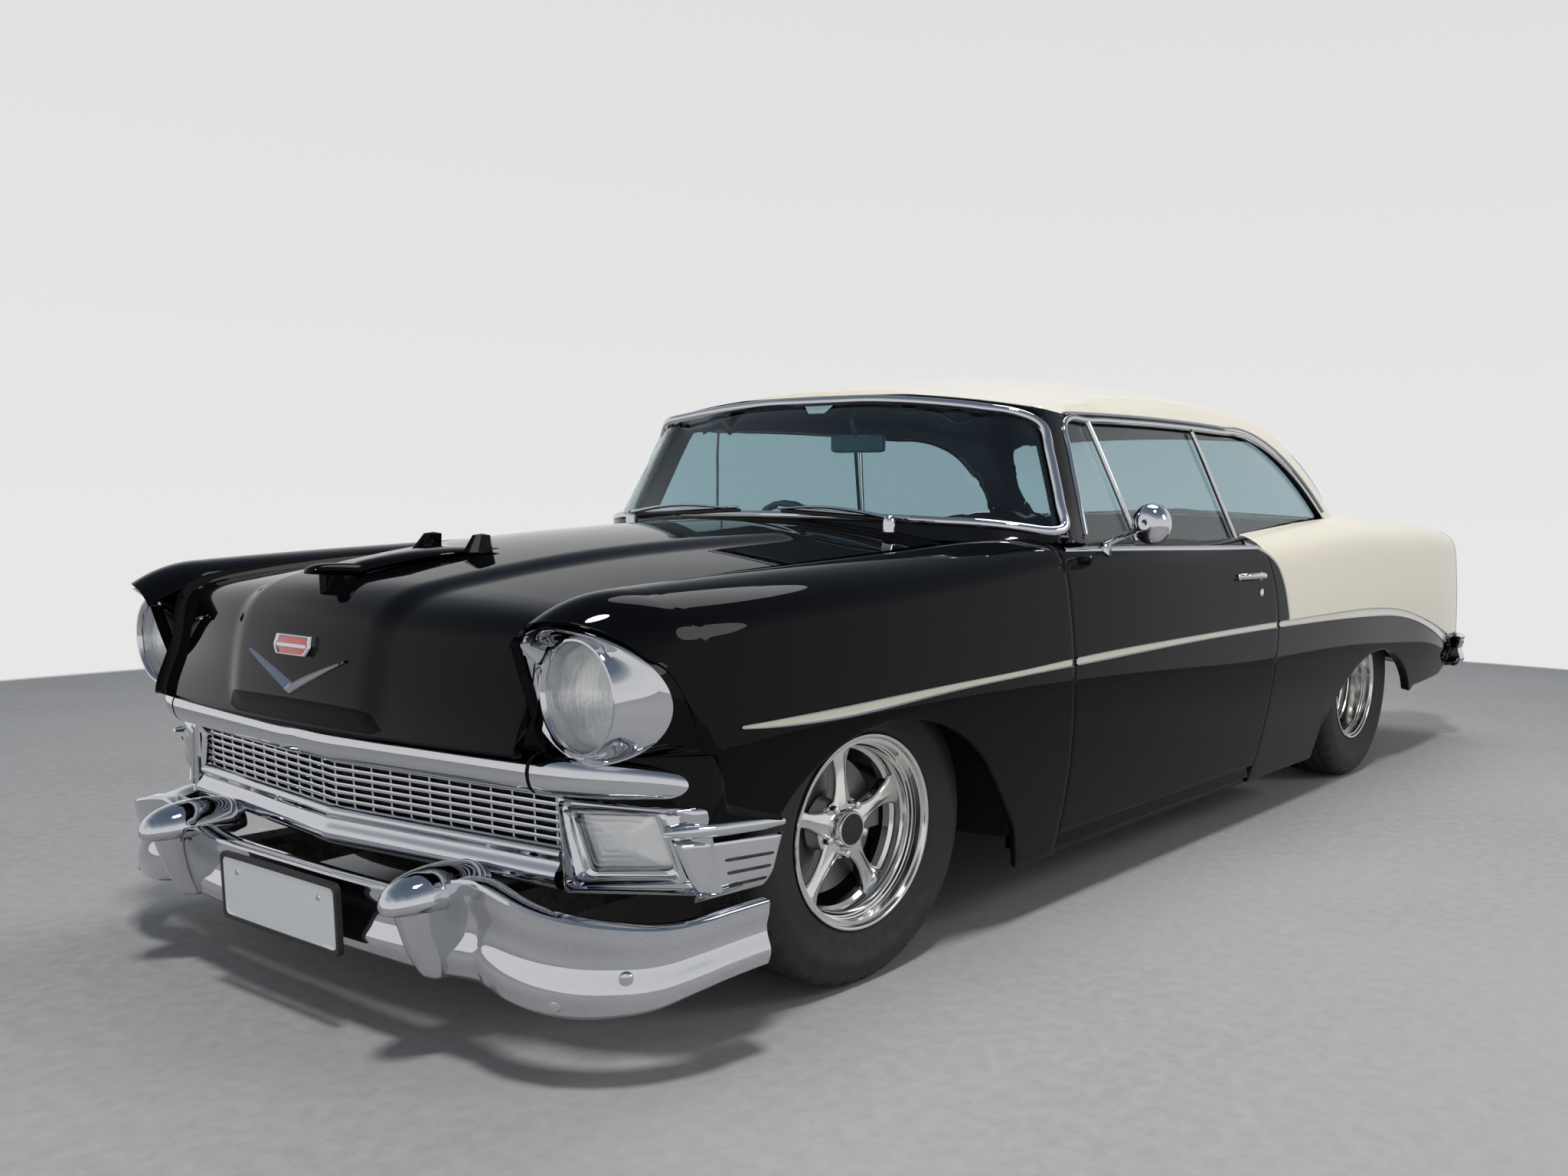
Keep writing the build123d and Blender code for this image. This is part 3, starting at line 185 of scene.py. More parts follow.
def finish(name, colour, roughness, drift=0.05, patches=0.04, grain=400.0, grain_height=0.02, dust=0.0,
           dust_height=0.25, **shader):
    """Principled material fed by the worn finish. Other words are the shader's own sockets."""
    material = bpy.data.materials.new(name)
    material.use_nodes = True
    tree = material.node_tree
    principled = tree.nodes["Principled BSDF"]
    layer = add_node(tree, "ShaderNodeGroup", {"node_tree": worn_finish}, {
        "Colour": (*colour, 1), "Drift": drift, "Roughness": roughness, "Patches": patches, "Grain Scale": grain,
        "Grain Height": grain_height, "Dust": dust, "Dust Height": dust_height})
    for title, socket in (("Colour", "Base Color"), ("Roughness", "Roughness"), ("Normal", "Normal")):
        tree.links.new(layer.outputs[title], principled.inputs[socket])
    for key, value in shader.items():
        principled.inputs[key.replace("_", " ").title().replace("Ior", "IOR")].default_value = value
    return material


CREAM = (0.69, 0.645, 0.535)
BLACK = (0.0022, 0.0022, 0.0028)
VINYL = (0.018, 0.018, 0.02)
LACQUER = dict(grain=900.0, grain_height=0.004, coat_weight=1.0)
black_paint = finish("black paint", BLACK, 0.08, patches=0.02, dust=0.06, dust_height=0.30, specular_ior_level=0.0,
                     coat_roughness=0.012, coat_ior=1.22, **LACQUER)
cream_paint = finish("cream paint", CREAM, 0.35, drift=0.03, patches=0.05, specular_ior_level=0.1,
                     coat_roughness=0.015, **LACQUER)
chrome = finish("chrome", (0.66, 0.67, 0.70), 0.03, drift=0.05, patches=0.035, grain=60.0, grain_height=0.012,
                metallic=1.0)
polished_alloy = finish("polished alloy", (0.80, 0.79, 0.77), 0.09, drift=0.08, patches=0.07, grain=700.0,
                        grain_height=0.03, metallic=1.0)
rubber = finish("tyre rubber", (0.016, 0.016, 0.017), 0.62, drift=0.3, patches=0.15, grain=1500.0, grain_height=0.25,
                dust=0.15, dust_height=0.5)
black_rubber = finish("seal rubber", (0.012, 0.012, 0.012), 0.5, drift=0.2, grain=1200.0, grain_height=0.15)
chassis_black = finish("chassis black", (0.012, 0.012, 0.012), 0.45, drift=0.3, patches=0.2, grain=300.0,
                       grain_height=0.3, dust=0.6, dust_height=0.6)
steel = finish("bare steel", (0.34, 0.33, 0.32), 0.42, drift=0.3, patches=0.2, grain=200.0, grain_height=0.25,
               metallic=1.0, dust=0.3, dust_height=0.5)
engine_paint = finish("engine paint", (0.10, 0.10, 0.11), 0.4, drift=0.2, patches=0.2, grain=200.0, grain_height=0.2)
vinyl = finish("seat vinyl", (0.018, 0.018, 0.02), 0.38, drift=0.2, patches=0.12, grain=1400.0, grain_height=0.6)
carpet = finish("carpet", (0.02, 0.02, 0.022), 0.95, drift=0.5, patches=0.05, grain=1200.0, grain_height=1.0)
blank_plate = finish("blank plate", (0.78, 0.79, 0.80), 0.3, drift=0.03, patches=0.06, grain=300.0, grain_height=0.05)
teal_plastic = finish("teal plastic", (0.10, 0.25, 0.30), 0.22, drift=0.1, patches=0.08, grain=500.0,
                      grain_height=0.05, coat_weight=0.5)
red_lens = finish("red lens", (0.45, 0.01, 0.01), 0.12, drift=0.1, patches=0.04, grain=250.0, grain_height=0.3,
                  coat_weight=1.0)
window_glass = finish("window glass", (0.55, 0.68, 0.71), 0.0, drift=0.0, patches=0.01, grain=2.0, grain_height=0.0,
                      transmission_weight=1.0, ior=1.45)
reflector = finish("lamp reflector", (0.93, 0.93, 0.92), 0.30, drift=0.04, patches=0.05, grain=300.0, grain_height=0.05,
                   metallic=0.55)
enamel_red = finish("red enamel", (0.50, 0.012, 0.018), 0.15, drift=0.05, grain=300.0, grain_height=0.05,
                    coat_weight=1.0)
lamp_glass = finish("lamp glass", (0.95, 0.97, 0.98), 0.03, drift=0.0, patches=0.03, grain=150.0, grain_height=0.3,
                    transmission_weight=1.0, ior=1.5, alpha=0.5)


def overpaint(material, amount, colour):
    """The material with another colour laid over its own where amount is one."""
    tree = material.node_tree
    base = tree.nodes["Principled BSDF"].inputs["Base Color"]
    tree.links.new(blend_colour(tree, amount, base.links[0].from_socket, (*colour, 1)), base)
    return material


def own_value(material, title):
    """Output of an attribute that the piece carries."""
    return add_node(material.node_tree, "ShaderNodeAttribute", {"attribute_name": title}).outputs["Fac"]


def two_tone_paint():
    """Black below the side moulding and cream above it: the piece's own border distance, above zero on the cream side,
    picks the colour along a crisp line.
    """
    material = finish("two tone paint", BLACK, 0.12, patches=0.03, specular_ior_level=0.0, coat_roughness=0.015,
                      coat_ior=1.25, **LACQUER)
    mask = remap(material.node_tree, own_value(material, "border"), -0.0008, 0.0008, 0.0, 1.0)
    return overpaint(material, mask, CREAM)


two_tone = two_tone_paint()

# ---------------------------------------------------------------- finishes of the CAD nodes
NODE_FINISH = {
    "front_wing": black_paint, "hood_header": chrome, "hood_ornament": chrome, "hood": black_paint,
    "trunk_lid": cream_paint, "tail_panel": black_paint, "cowl": black_paint, "rear_deck": cream_paint,
    "door_window": window_glass, "door_mirror": chrome, "door": black_paint, "rear_quarter": cream_paint,
    "rocker": black_paint, "roof": cream_paint, "windscreen": window_glass, "rear_window": window_glass,
    "quarter_windows": window_glass, "tyre": rubber, "rim": polished_alloy, "front_arms": chassis_black,
    "frame": chassis_black, "knuckle": steel, "rear_axle": chassis_black, "engine": engine_paint,
    "driveline": steel, "exhaust": steel, "fuel_tank": chassis_black, "floor_pan": carpet,
    "grille_surround": chrome, "grille": chrome, "parking_lamps": lamp_glass, "headlight_rings": chrome,
    "headlight_lenses": lamp_glass, "front_bumper": chrome, "rear_bumper": chrome, "number_plate": blank_plate,
    "tail_lamps": red_lens, "front_seat": vinyl, "rear_seat": vinyl, "steering_wheel": teal_plastic,
    "dashboard": black_paint,
}
for title, node in frame["nodes"].items():
    prefix = next(key for key in NODE_FINISH if title.startswith(key))
    node.data.materials.clear()
    node.data.materials.append(NODE_FINISH[prefix])


# ---------------------------------------------------------------- surfaces worked out with numpy
def spline(knots, values, at):
    """Natural cubic spline through values at the knots, read at the given places. Values may have several columns."""
    knots, values, at = (np.asarray(part, float) for part in (knots, values, at))
    gaps = np.diff(knots)
    count = len(knots)
    matrix = np.eye(count)
    inner = np.arange(1, count - 1)
    matrix[inner, inner - 1] = gaps[:-1]
    matrix[inner, inner] = 2 * (gaps[:-1] + gaps[1:])
    matrix[inner, inner + 1] = gaps[1:]
    slopes = np.diff(values, axis=0) / gaps.reshape(-1, *[1] * (values.ndim - 1))
    target = np.zeros_like(values)
    target[1:-1] = 6 * np.diff(slopes, axis=0)
    bend = np.linalg.solve(matrix, target)
    cell = np.clip(np.searchsorted(knots, at) - 1, 0, count - 2)
    width = gaps[cell]
    left, right = at - knots[cell], knots[cell + 1] - at
    if values.ndim > 1:
        width, left, right = width[..., None], left[..., None], right[..., None]
    cubic = (bend[cell] * right ** 3 + bend[cell + 1] * left ** 3) / (6 * width)
    return cubic + (values[cell] / width - bend[cell] * width / 6) * right \
        + (values[cell + 1] / width - bend[cell + 1] * width / 6) * left


def arc_at(first, via, last, share):
    """One point per row at that share of the turn along the circle through three points."""
    a, b = via - first, last - first
    area = 2 * (a[..., 0] * b[..., 1] - a[..., 1] * b[..., 0])
    aa, bb = (a ** 2).sum(-1), (b ** 2).sum(-1)
    centre = np.stack([(b[..., 1] * aa - a[..., 1] * bb) / area, (a[..., 0] * bb - b[..., 0] * aa) / area], -1)
    radius = np.linalg.norm(centre, axis=-1)
    start = np.arctan2(-centre[..., 1], -centre[..., 0])
    end = np.arctan2(b[..., 1] - centre[..., 1], b[..., 0] - centre[..., 0])
    sweep_angle = (end - start + math.pi) % (2 * math.pi) - math.pi
    angle = start + sweep_angle * share
    return first + centre + radius[..., None] * np.stack([np.cos(angle), np.sin(angle)], -1)


def arc(first, via, last, shares):
    """Points at those shares of the turn along the circle through three (..., 2) points."""
    return arc_at(*(np.asarray(corner, float)[..., None, :] for corner in (first, via, last)), shares)


# station, belly x, shoulder x and height, crown x and height, seam height, top height
SKIN = np.array((
    (-0.760, 0.872, 0.850, 0.752, 0.806, 0.812, 0.782, 0.792),
    (-0.266, 0.902, 0.874, 0.801, 0.818, 0.854, 0.843, 0.898),
    (0.228, 0.905, 0.877, 0.832, 0.825, 0.884, 0.884, 0.950),
    (0.722, 0.905, 0.868, 0.889, 0.830, 0.921, 0.926, 0.984),
    (1.216, 0.905, 0.867, 0.892, 0.830, 0.924, 0.932, 0.966),
    (1.710, 0.906, 0.867, 0.892, 0.831, 0.924, 0.933, 0.960),
    (2.204, 0.911, 0.876, 0.920, 0.836, 0.960, 0.966, 0.988),
    (2.698, 0.915, 0.884, 0.948, 0.841, 0.992, 0.998, 1.024),
    (3.192, 0.916, 0.884, 0.950, 0.842, 0.993, 0.999, 1.024),
    (3.686, 0.911, 0.878, 0.946, 0.836, 0.988, 0.990, 1.012),
    (4.180, 0.862, 0.836, 0.915, 0.798, 0.956, 0.958, 0.972),
))
SEAM_X = 0.640
SILL_X = 0.850
SILL_Z = 0.150
BELLY_Z = 0.520
LOWER_SHARES = np.array((0.0, 0.15, 0.3, 0.45, 0.6, 0.75, 0.88, 0.955))
UPPER_SHARES = np.array((0.10, 0.28, 0.48, 0.68, 0.86, 1.0))


def skin_row(stations):
    """The named skin sizes at any stations, one column per name."""
    return spline(SKIN[:, 0], SKIN[:, 1:], np.asarray(stations, float))


def side_points(stations):
    """Section points (x, z) up the side and over the wing top to the seam, for every station."""
    belly_x, shoulder_x, shoulder_z, crown_x, crown_z, seam_z, _ = np.moveaxis(skin_row(stations), -1, 0)
    sill = np.stack([np.full_like(belly_x, SILL_X), np.full_like(belly_x, SILL_Z)], -1)
    shoulder = np.stack([shoulder_x, shoulder_z], -1)
    belly = np.stack([belly_x, np.full_like(belly_x, BELLY_Z)], -1)
    seam = np.stack([np.full_like(belly_x, SEAM_X), seam_z], -1)
    crown = np.stack([crown_x, crown_z], -1)
    return np.concatenate([arc(sill, belly, shoulder, LOWER_SHARES), arc(shoulder, crown, seam, UPPER_SHARES)], -2)


middle_section = side_points(np.array([1.2]))[0]
side_knots = np.concatenate([[0], np.cumsum(np.linalg.norm(np.diff(middle_section, axis=0), axis=1))])
side_knots /= side_knots[-1]
side_weights = np.eye(len(side_knots))


def side_surface(stations, climb):
    """Outer side of the body. Climb is 0 at the sill and 1 at the seam with hood or deck; each section is a smooth
    curve through its points, so the surface is that curve carried along smooth curves of station.
    """
    weights = spline(side_knots, side_weights, climb)
    flat = np.einsum("...i,...ic->...c", weights, side_points(stations))
    return np.stack([flat[..., 0], FRONT_AXLE_Y + stations, flat[..., 1]], -1)


def look_up(wanted, table, values):
    """The value at which each rising row of a table reaches what is wanted of it, read off a straight line between the
    two nearest places. The last axis of wanted has one entry for each row.
    """
    table = np.broadcast_to(table, (*wanted.shape, table.shape[-1]))
    place = np.clip((table <= wanted[..., None]).sum(-1) - 1, 0, table.shape[-1] - 2)
    low, high = (np.take_along_axis(table, place[..., None] + step, -1)[..., 0] for step in (0, 1))
    slope = (values[place + 1] - values[place]) / np.where(high > low, high - low, 1.0)
    between = slope * (wanted - low) + values[place]
    return np.where(wanted < table[..., 0], values[0], np.where(wanted >= table[..., -1], values[-1], between))


def side_table(stations, shares, axis):
    """One coordinate of the side at every share of the climb, one row for each station."""
    return side_surface(*np.broadcast_arrays(np.asarray(stations, float)[:, None], shares))[..., axis]


def climb_at_height(stations, heights, places=280):
    """The climb at which the side first reaches a height, per station. Heights may have several rows."""
    share = np.linspace(0, 0.93, places)
    return look_up(heights, np.maximum.accumulate(side_table(stations, share, 2), axis=1), share)


def climb_at_x(stations, x):
    """The climb at which the wing top comes in to that x, per station."""
    share = np.linspace(0.55, 1.0, 200)
    return look_up(-np.broadcast_to(x, len(stations)), -side_table(stations, share, 0), share)


def ease(count, start=0.0, end=1.0, pull=0.0):
    """Count places from start to end, drawn towards both ends by pull."""
    t = np.linspace(0, 1, count)
    t = (1 - pull) * t + pull * (t - np.sin(2 * math.pi * t) / (2 * math.pi))
    return start + (end - start) * t


def unit(vectors):
    """Vectors of length one."""
    return vectors / np.maximum(np.linalg.norm(vectors, axis=-1, keepdims=True), 1e-12)


def hem(grid, edge, radius=0.004, depth=0.018, flip=1):
    """Grid with an edge (one of "first", "last" row or "left", "right" column) rolled through a quarter turn of that
    radius and carried inward to that depth, so a sheet shows a finished edge.
    """
    if edge in ("left", "right"):
        turned = hem(np.swapaxes(grid, 0, 1), "first" if edge == "left" else "last", radius, depth, -flip)
        return np.swapaxes(turned, 0, 1)
    if edge == "last":
        return hem(grid[::-1], "first", radius, depth, -flip)[::-1]
    border, inner = grid[0], grid[1]
    along_edge = unit(np.gradient(border, axis=0))
    outward = unit(border - inner)
    outward = unit(outward - along_edge * (outward * along_edge).sum(-1, keepdims=True))
    normal = flip * np.cross(along_edge, outward)
    rows = []
    for angle in (math.pi / 6, math.pi / 3, math.pi / 2):
        rows.append(border + outward * radius * math.sin(angle) - normal * radius * (1 - math.cos(angle)))
    rows.append(rows[-1] - normal * depth)
    return np.concatenate([np.stack(rows[::-1]), grid])


def hemmed(grid, flip, **edges):
    """Grid with several edges hemmed in turn, each given as its radius and depth."""
    for edge, (radius, depth) in edges.items():
        grid = hem(grid, edge, radius, depth, flip)
    return grid


def round_turn(count, closed=True):
    """Count angles evenly round a full turn; closed ends on the first again."""
    return np.linspace(0, 2 * math.pi, count, endpoint=closed)


def clamp(values):
    """Values held between nought and one."""
    return np.clip(values, 0, 1)


def grid_faces(rows, columns, loop=False, ring=False):
    """Quads between neighbours of a rows by columns grid of points; loop joins its last row to its first, and ring its
    last column.
    """
    index = np.arange(rows * columns).reshape(rows, columns)
    if loop:
        index = np.vstack([index, index[:1]])
    if ring:
        index = np.hstack([index, index[:, :1]])
    return np.stack([index[:-1, :-1], index[1:, :-1], index[1:, 1:], index[:-1, 1:]], axis=-1).reshape(-1, 4)


SHARP = 38.0                    # degrees between faces at which an edge shows


def shade(mesh, sharp=SHARP):
    """Smooth shading except across bends sharper than that."""
    mesh.shade_smooth()
    mesh.set_sharp_from_angle(angle=math.radians(sharp))


def build_mesh(name, points, faces):
    """Mesh from an array of points and lists of faces."""
    mesh = bpy.data.meshes.new(name)
    mesh.from_pydata(np.asarray(points, float).reshape(-1, 3).tolist(), [], [list(face) for face in faces])
    mesh.validate()
    shade(mesh)
    return mesh


def weld(mesh, distance, outward=False):
    """Merges points within a distance of each other and, where asked, turns all faces outward."""
    welder = bmesh.new()
    welder.from_mesh(mesh)
    bmesh.ops.remove_doubles(welder, verts=welder.verts, dist=distance)
    if outward:
        bmesh.ops.recalc_face_normals(welder, faces=welder.faces)
    welder.to_mesh(mesh)
    welder.free()


def point_places(mesh):
    """A mesh's points as rows of x, y and z."""
    places = np.empty(len(mesh.vertices) * 3, np.float32)
    mesh.vertices.foreach_get("co", places)
    return places.reshape(-1, 3)


def mark_points(mesh, title, values):
    """Gives a mesh one value at each of its points, for its material to read."""
    mesh.attributes.new(title, "FLOAT", "POINT").data.foreach_set("value", values.astype(np.float32))


class Shape:
    """Points and faces gathered from several grids before they become one mesh."""

    def __init__(self):
        self.points, self.faces, self.marks, self.count = [], [], [], 0

    def add(self, grid, loop=False, ring=False, flip=False, mark=0):
        """A grid of points as quads; flip turns its faces over, mark picks its material."""
        rows, columns = grid.shape[:2]
        faces = grid_faces(rows, columns, loop, ring) + self.count
        self.faces.append(faces[:, ::-1] if flip else faces)
        self.points.append(np.asarray(grid, float).reshape(-1, 3))
        self.marks.append(np.full(len(faces), mark))
        self.count += rows * columns
        return self

    def arrays(self, side=1):
        """All points and faces, mirrored for side -1."""
        points, faces = np.concatenate(self.points), np.concatenate(self.faces)
        return (points, faces) if side > 0 else (points * (-1, 1, 1), faces[:, ::-1])


def settle(obj, body, slot, instead):
    """Rides an object on a body and, where asked, lets it stand for the CAD node named by slot, which it hides."""
    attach(obj, body)
    if instead:
        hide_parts(slot)
    return obj


def piece(name, shape, materials, slot="grille_surround", body="root", instead=False, side=1, sharp=SHARP,
          outward=False):
    """Finished object from a Shape: welded, its materials set, riding on a body. Where instead is given, it stands for
    the CAD node named by slot.
    """
    points, faces = shape.arrays(side)
    mesh = build_mesh(name, points, faces)
    for material in materials if isinstance(materials, tuple) else (materials,):
        mesh.materials.append(material)
    marks = np.concatenate(shape.marks)
    if len(mesh.polygons) == len(marks) and marks.any():
        mesh.polygons.foreach_set("material_index", marks.astype(np.int32))
    weld(mesh, 0.00002, outward)
    shade(mesh, sharp)
    return settle(new_object(name, mesh), body, slot, instead)


def pair(name, shape, materials, slot="grille_surround", body="root", instead=False, **how):
    """The piece on the left and its mirror image on the right; {} in the name of a node or body takes the side."""
    return [piece(f"{name}.{word}", shape, materials, slot.format(word), body.format(word), instead, side, **how)
            for side, word in SIDES]


def at(x, station, height):
    """Points from x, station and height."""
    x, station, height = np.broadcast_arrays(x, station, height)
    return np.stack([x, FRONT_AXLE_Y + station, height], -1).astype(float)


def tube(path, radius, around=12, squeeze=(1.0, 1.0)):
    """Round or oval bar along a path: circles of that radius square to the path, drawn in to a point at both ends."""
    path = np.asarray(path, float)
    radius = np.pad(np.broadcast_to(np.asarray(radius, float), len(path)), 1)
    angle = round_turn(around, False)
    circle = np.stack([np.cos(angle) * squeeze[0], np.sin(angle) * squeeze[1]], -1)
    return sweep(np.concatenate([path[:1], path, path[-1:]]), circle, scale=radius)


def sweep(path, profile, up=(0, 0, 1), scale=None):
    """Profile of (outward, upward) offsets carried along a path: each offset is laid off square to the path's direction
    there, outward lying level with respect to up.
    """
    path, profile = np.asarray(path, float), np.asarray(profile, float)
    ahead = np.gradient(path, axis=0)
    for end, beside in ((0, 1), (-1, -2)):
        if np.linalg.norm(ahead[end]) < 1e-9:
            ahead[end] = ahead[beside]
    ahead = unit(ahead)
    sideways = unit(np.cross(ahead, np.asarray(up, float)))
    upward = np.cross(sideways, ahead)
    profile = np.broadcast_to(profile, (len(path), *profile.shape))
    if scale is not None:
        profile = profile * np.asarray(scale, float)[:, None, None]
    return path[:, None] + sideways[:, None] * profile[..., :1] + upward[:, None] * profile[..., 1:]


def chord_run(points):
    """Distance along straight runs to each point."""
    return np.concatenate([[0], np.cumsum(np.linalg.norm(np.diff(points, axis=0), axis=1))])


def polyline(points, count):
    """Count points evenly spaced along straight runs."""
    points = np.asarray(points, float)
    run = chord_run(points)
    return np.stack([np.interp(np.linspace(0, run[-1], count), run, column) for column in points.T], -1)


def curve(points, count):
    """Count points along a smooth curve through the given ones, spaced by its chords."""
    points = np.asarray(points, float)
    run = chord_run(points)
    return spline(run, points, np.linspace(0, run[-1], count))


def smooth_copy(title, material, sharp=30.0, under=None):
    """A welded, smooth-shaded copy of a CAD node that stands for it. Faces that look down take the material under."""
    mesh = frame["nodes"][title].data.copy()
    weld(mesh, 0.00005)
    mesh.materials.clear()
    mesh.materials.append(material)
    if under:
        mesh.materials.append(under)
        facing = np.empty(len(mesh.polygons) * 3, np.float32)
        mesh.polygons.foreach_get("normal", facing)
        mesh.polygons.foreach_set("material_index", (facing[2::3] < -0.15).astype(np.int32))
    shade(mesh, sharp)
    settle(new_object(f"{title}.finished", mesh), BODY_OF[title], title, True)


# ---------------------------------------------------------------- outer panels of the sides
WING_FRONT_S = -0.696
WING_END_S = 0.659
DOOR_FRONT_S = 0.665
DOOR_REAR_S = 1.890
DOOR_BOTTOM_Z = 0.205
SHUT_GAP = 0.006
TAIL_S = 4.130
TURNS = np.linspace(0, 1, 14)


def outline(*runs):
    """Points along straight runs, each a (first, last), and arcs, each a (first, via, last)."""
    parts = [arc(*(np.array(corner) for corner in run), TURNS) if len(run) == 3 else np.array(run) for run in runs]
    return np.concatenate(parts)


def steps(*runs):
    """Places along a line from (start, end, count) runs, each sharing its end with the next."""
    parts = [np.linspace(start, end, count, endpoint=False) for start, end, count in runs]
    return np.concatenate([*parts, [runs[-1][1]]])


FRONT_ARCH = outline(((-0.696, 0.770), (-0.545, 0.562)), ((-0.531, 0.480), (-0.345, 0.440)),
                     ((-0.340, 0.437), (-0.175, 0.549), (0.020, 0.577)),
                     ((0.021, 0.577), (0.195, 0.528), (0.330, 0.412)),
                     ((0.450, 0.262), (0.499, 0.151)), ((0.508, 0.150), (0.700, 0.150)))
REAR_ARCH = outline(((1.700, 0.150), (2.390, 0.150)), ((2.396, 0.262), (2.890, 0.517), (3.400, 0.300)),
                    ((3.430, 0.324), (3.813, 0.339)), ((4.000, 0.400), (4.300, 0.480)))


def door_edge(heights, shift=0.0):
    """Station of the door's rear shut line at those heights: a smooth curve through its named points."""
    return DOOR_REAR_S + shift + spline((0.150, 0.205, 0.470, 0.680, 0.800, 0.924, 0.990),
                                        (-0.060, -0.052, -0.017, 0.016, 0.009, -0.028, -0.046), heights)


def brow(grid):
    """Front of a wing: its plan turns back round the headlight and its top dips to the tip."""
    shaped = grid.copy()
    x, station = grid[..., 0], grid[..., 1] - FRONT_AXLE_Y
    turn = 0.196 * clamp((x - 0.700) / 0.200) ** 1.7
    share = clamp((-0.30 - station) / (-0.30 - WING_FRONT_S))
    shaped[..., 1] += turn * share ** 1.6
    dip = clamp((-0.560 - station) / (-0.560 - WING_FRONT_S))
    shaped[..., 2] -= 0.036 * dip ** 2.2 * clamp((grid[..., 2] - 0.70) / 0.08)
    return shaped


def edge_stations(rows, probe, low, high, shift):
    """Station of the shut line on each row of climb shares, found by walking to where the row crosses it."""
    found = np.full(len(rows), DOOR_REAR_S)
    for _ in range(5):
        lowest, highest = np.interp(found, probe, low), np.interp(found, probe, high)
        found = door_edge(side_surface(found, lowest + (highest - lowest) * rows)[:, 2], shift)
    return found


wing_s = steps((WING_FRONT_S, -0.60, 14), (-0.60, -0.53, 8), (-0.53, -0.36, 12), (-0.36, -0.30, 8), (-0.30, 0.40, 44),
               (0.40, 0.52, 18), (0.52, WING_END_S, 10))
wing_low = climb_at_height(wing_s, np.interp(wing_s, FRONT_ARCH[:, 0], FRONT_ARCH[:, 1]))
wing_rows = ease(60, pull=0.3)[:, None]
wing_grid = brow(side_surface(np.broadcast_to(wing_s, (60, len(wing_s))), wing_low + (1 - wing_low) * wing_rows))
wing_shape = Shape().add(hemmed(wing_grid, -1, first=(0.004, 0.010), right=(0.003, 0.016)), flip=True)


def shut_panel(first, across, rows, probe, low, high, last):
    """Panel of the side between two shut lines, from a first station for each row to the last ones: across shares out
    the way between them, and rows shares out the climb between the low and the high edge.
    """
    stations = first + (last - first) * across
    foot = np.interp(stations, probe, low)
    return side_surface(stations, foot + (np.interp(stations, probe, high) - foot) * rows[:, None])


door_probe = np.linspace(0.6, 2.0, 30)
door_low = climb_at_height(door_probe, np.full(30, DOOR_BOTTOM_Z))
door_high = climb_at_x(door_probe, 0.795)
door_rows = ease(64, pull=0.25)
door_rear = edge_stations(door_rows, door_probe, door_low, door_high, 0.0)[:, None]
door_grid = shut_panel(DOOR_FRONT_S, steps((0, 0.06, 6), (0.06, 0.94, 60), (0.94, 1, 8)), door_rows, door_probe,
                       door_low, door_high, door_rear)
door_shape = Shape().add(hemmed(door_grid, -1, first=(0.004, 0.030), last=(0.003, 0.012), left=(0.003, 0.030),
                                right=(0.003, 0.030)), flip=True)

rear_probe = np.linspace(1.80, TAIL_S + 0.02, 240)
rear_low = climb_at_height(rear_probe, np.interp(rear_probe, REAR_ARCH[:, 0], REAR_ARCH[:, 1]))
rear_high = climb_at_x(rear_probe, np.interp(rear_probe, (2.62, 2.70), (0.775, SEAM_X)))
quarter_rows = ease(72, pull=0.3)
quarter_first = edge_stations(quarter_rows, rear_probe, rear_low, rear_high, SHUT_GAP)[:, None]
quarter_across = steps((0, 0.20, 26), (0.20, 0.24, 12), (0.24, 0.66, 56), (0.66, 0.70, 10), (0.70, 0.985, 38),
                       (0.985, 1.0, 4))
quarter_grid = shut_panel(quarter_first, quarter_across, quarter_rows, rear_probe, rear_low, rear_high, TAIL_S - 0.012)
quarter_shape = Shape().add(hemmed(quarter_grid, -1, first=(0.006, 0.030), left=(0.003, 0.016), right=(0.010, 0.030)),
                            flip=True)

TRIM_UPPER = curve(np.array(((-0.459, 0.613), (-0.200, 0.622), (0.100, 0.633), (0.453, 0.643), (0.667, 0.653),
                             (1.250, 0.667), (1.842, 0.677), (2.323, 0.684), (2.790, 0.685), (3.152, 0.661),
                             (3.482, 0.604), (3.864, 0.523))), 160)
TRIM_LOWER = curve(np.array(((-0.459, 0.606), (-0.200, 0.597), (0.100, 0.612), (0.453, 0.626), (0.668, 0.631),
                             (1.250, 0.647), (1.844, 0.655), (2.327, 0.657), (2.795, 0.650), (3.157, 0.629),
                             (3.489, 0.571), (3.841, 0.477))), 160)
COLOUR_BORDER = curve(np.array(((1.780, 0.930), (1.875, 0.900), (1.939, 0.861), (1.977, 0.802), (2.001, 0.692),
                                (2.004, 0.672))), 60)


def border_distance(points):
    """How far points lie on the cream side: above the side moulding and behind the curved drop to it."""
    station, height = points[:, 1] - FRONT_AXLE_Y, points[:, 2]
    above = height - np.interp(station, TRIM_UPPER[:, 0], TRIM_UPPER[:, 1]) + 0.010
    order = np.argsort(COLOUR_BORDER[:, 1])
    behind = station - np.interp(height, COLOUR_BORDER[order, 1], COLOUR_BORDER[order, 0])
    return np.minimum(above, behind)


pair("wing_skin", wing_shape, black_paint, "front_wing_{}", instead=True)
pair("door_skin", door_shape, black_paint, "door_{}", "door_{}", True)
for skin in pair("quarter_skin", quarter_shape, two_tone, "rear_quarter_{}", instead=True):
    mark_points(skin.data, "border", border_distance(point_places(skin.data)))

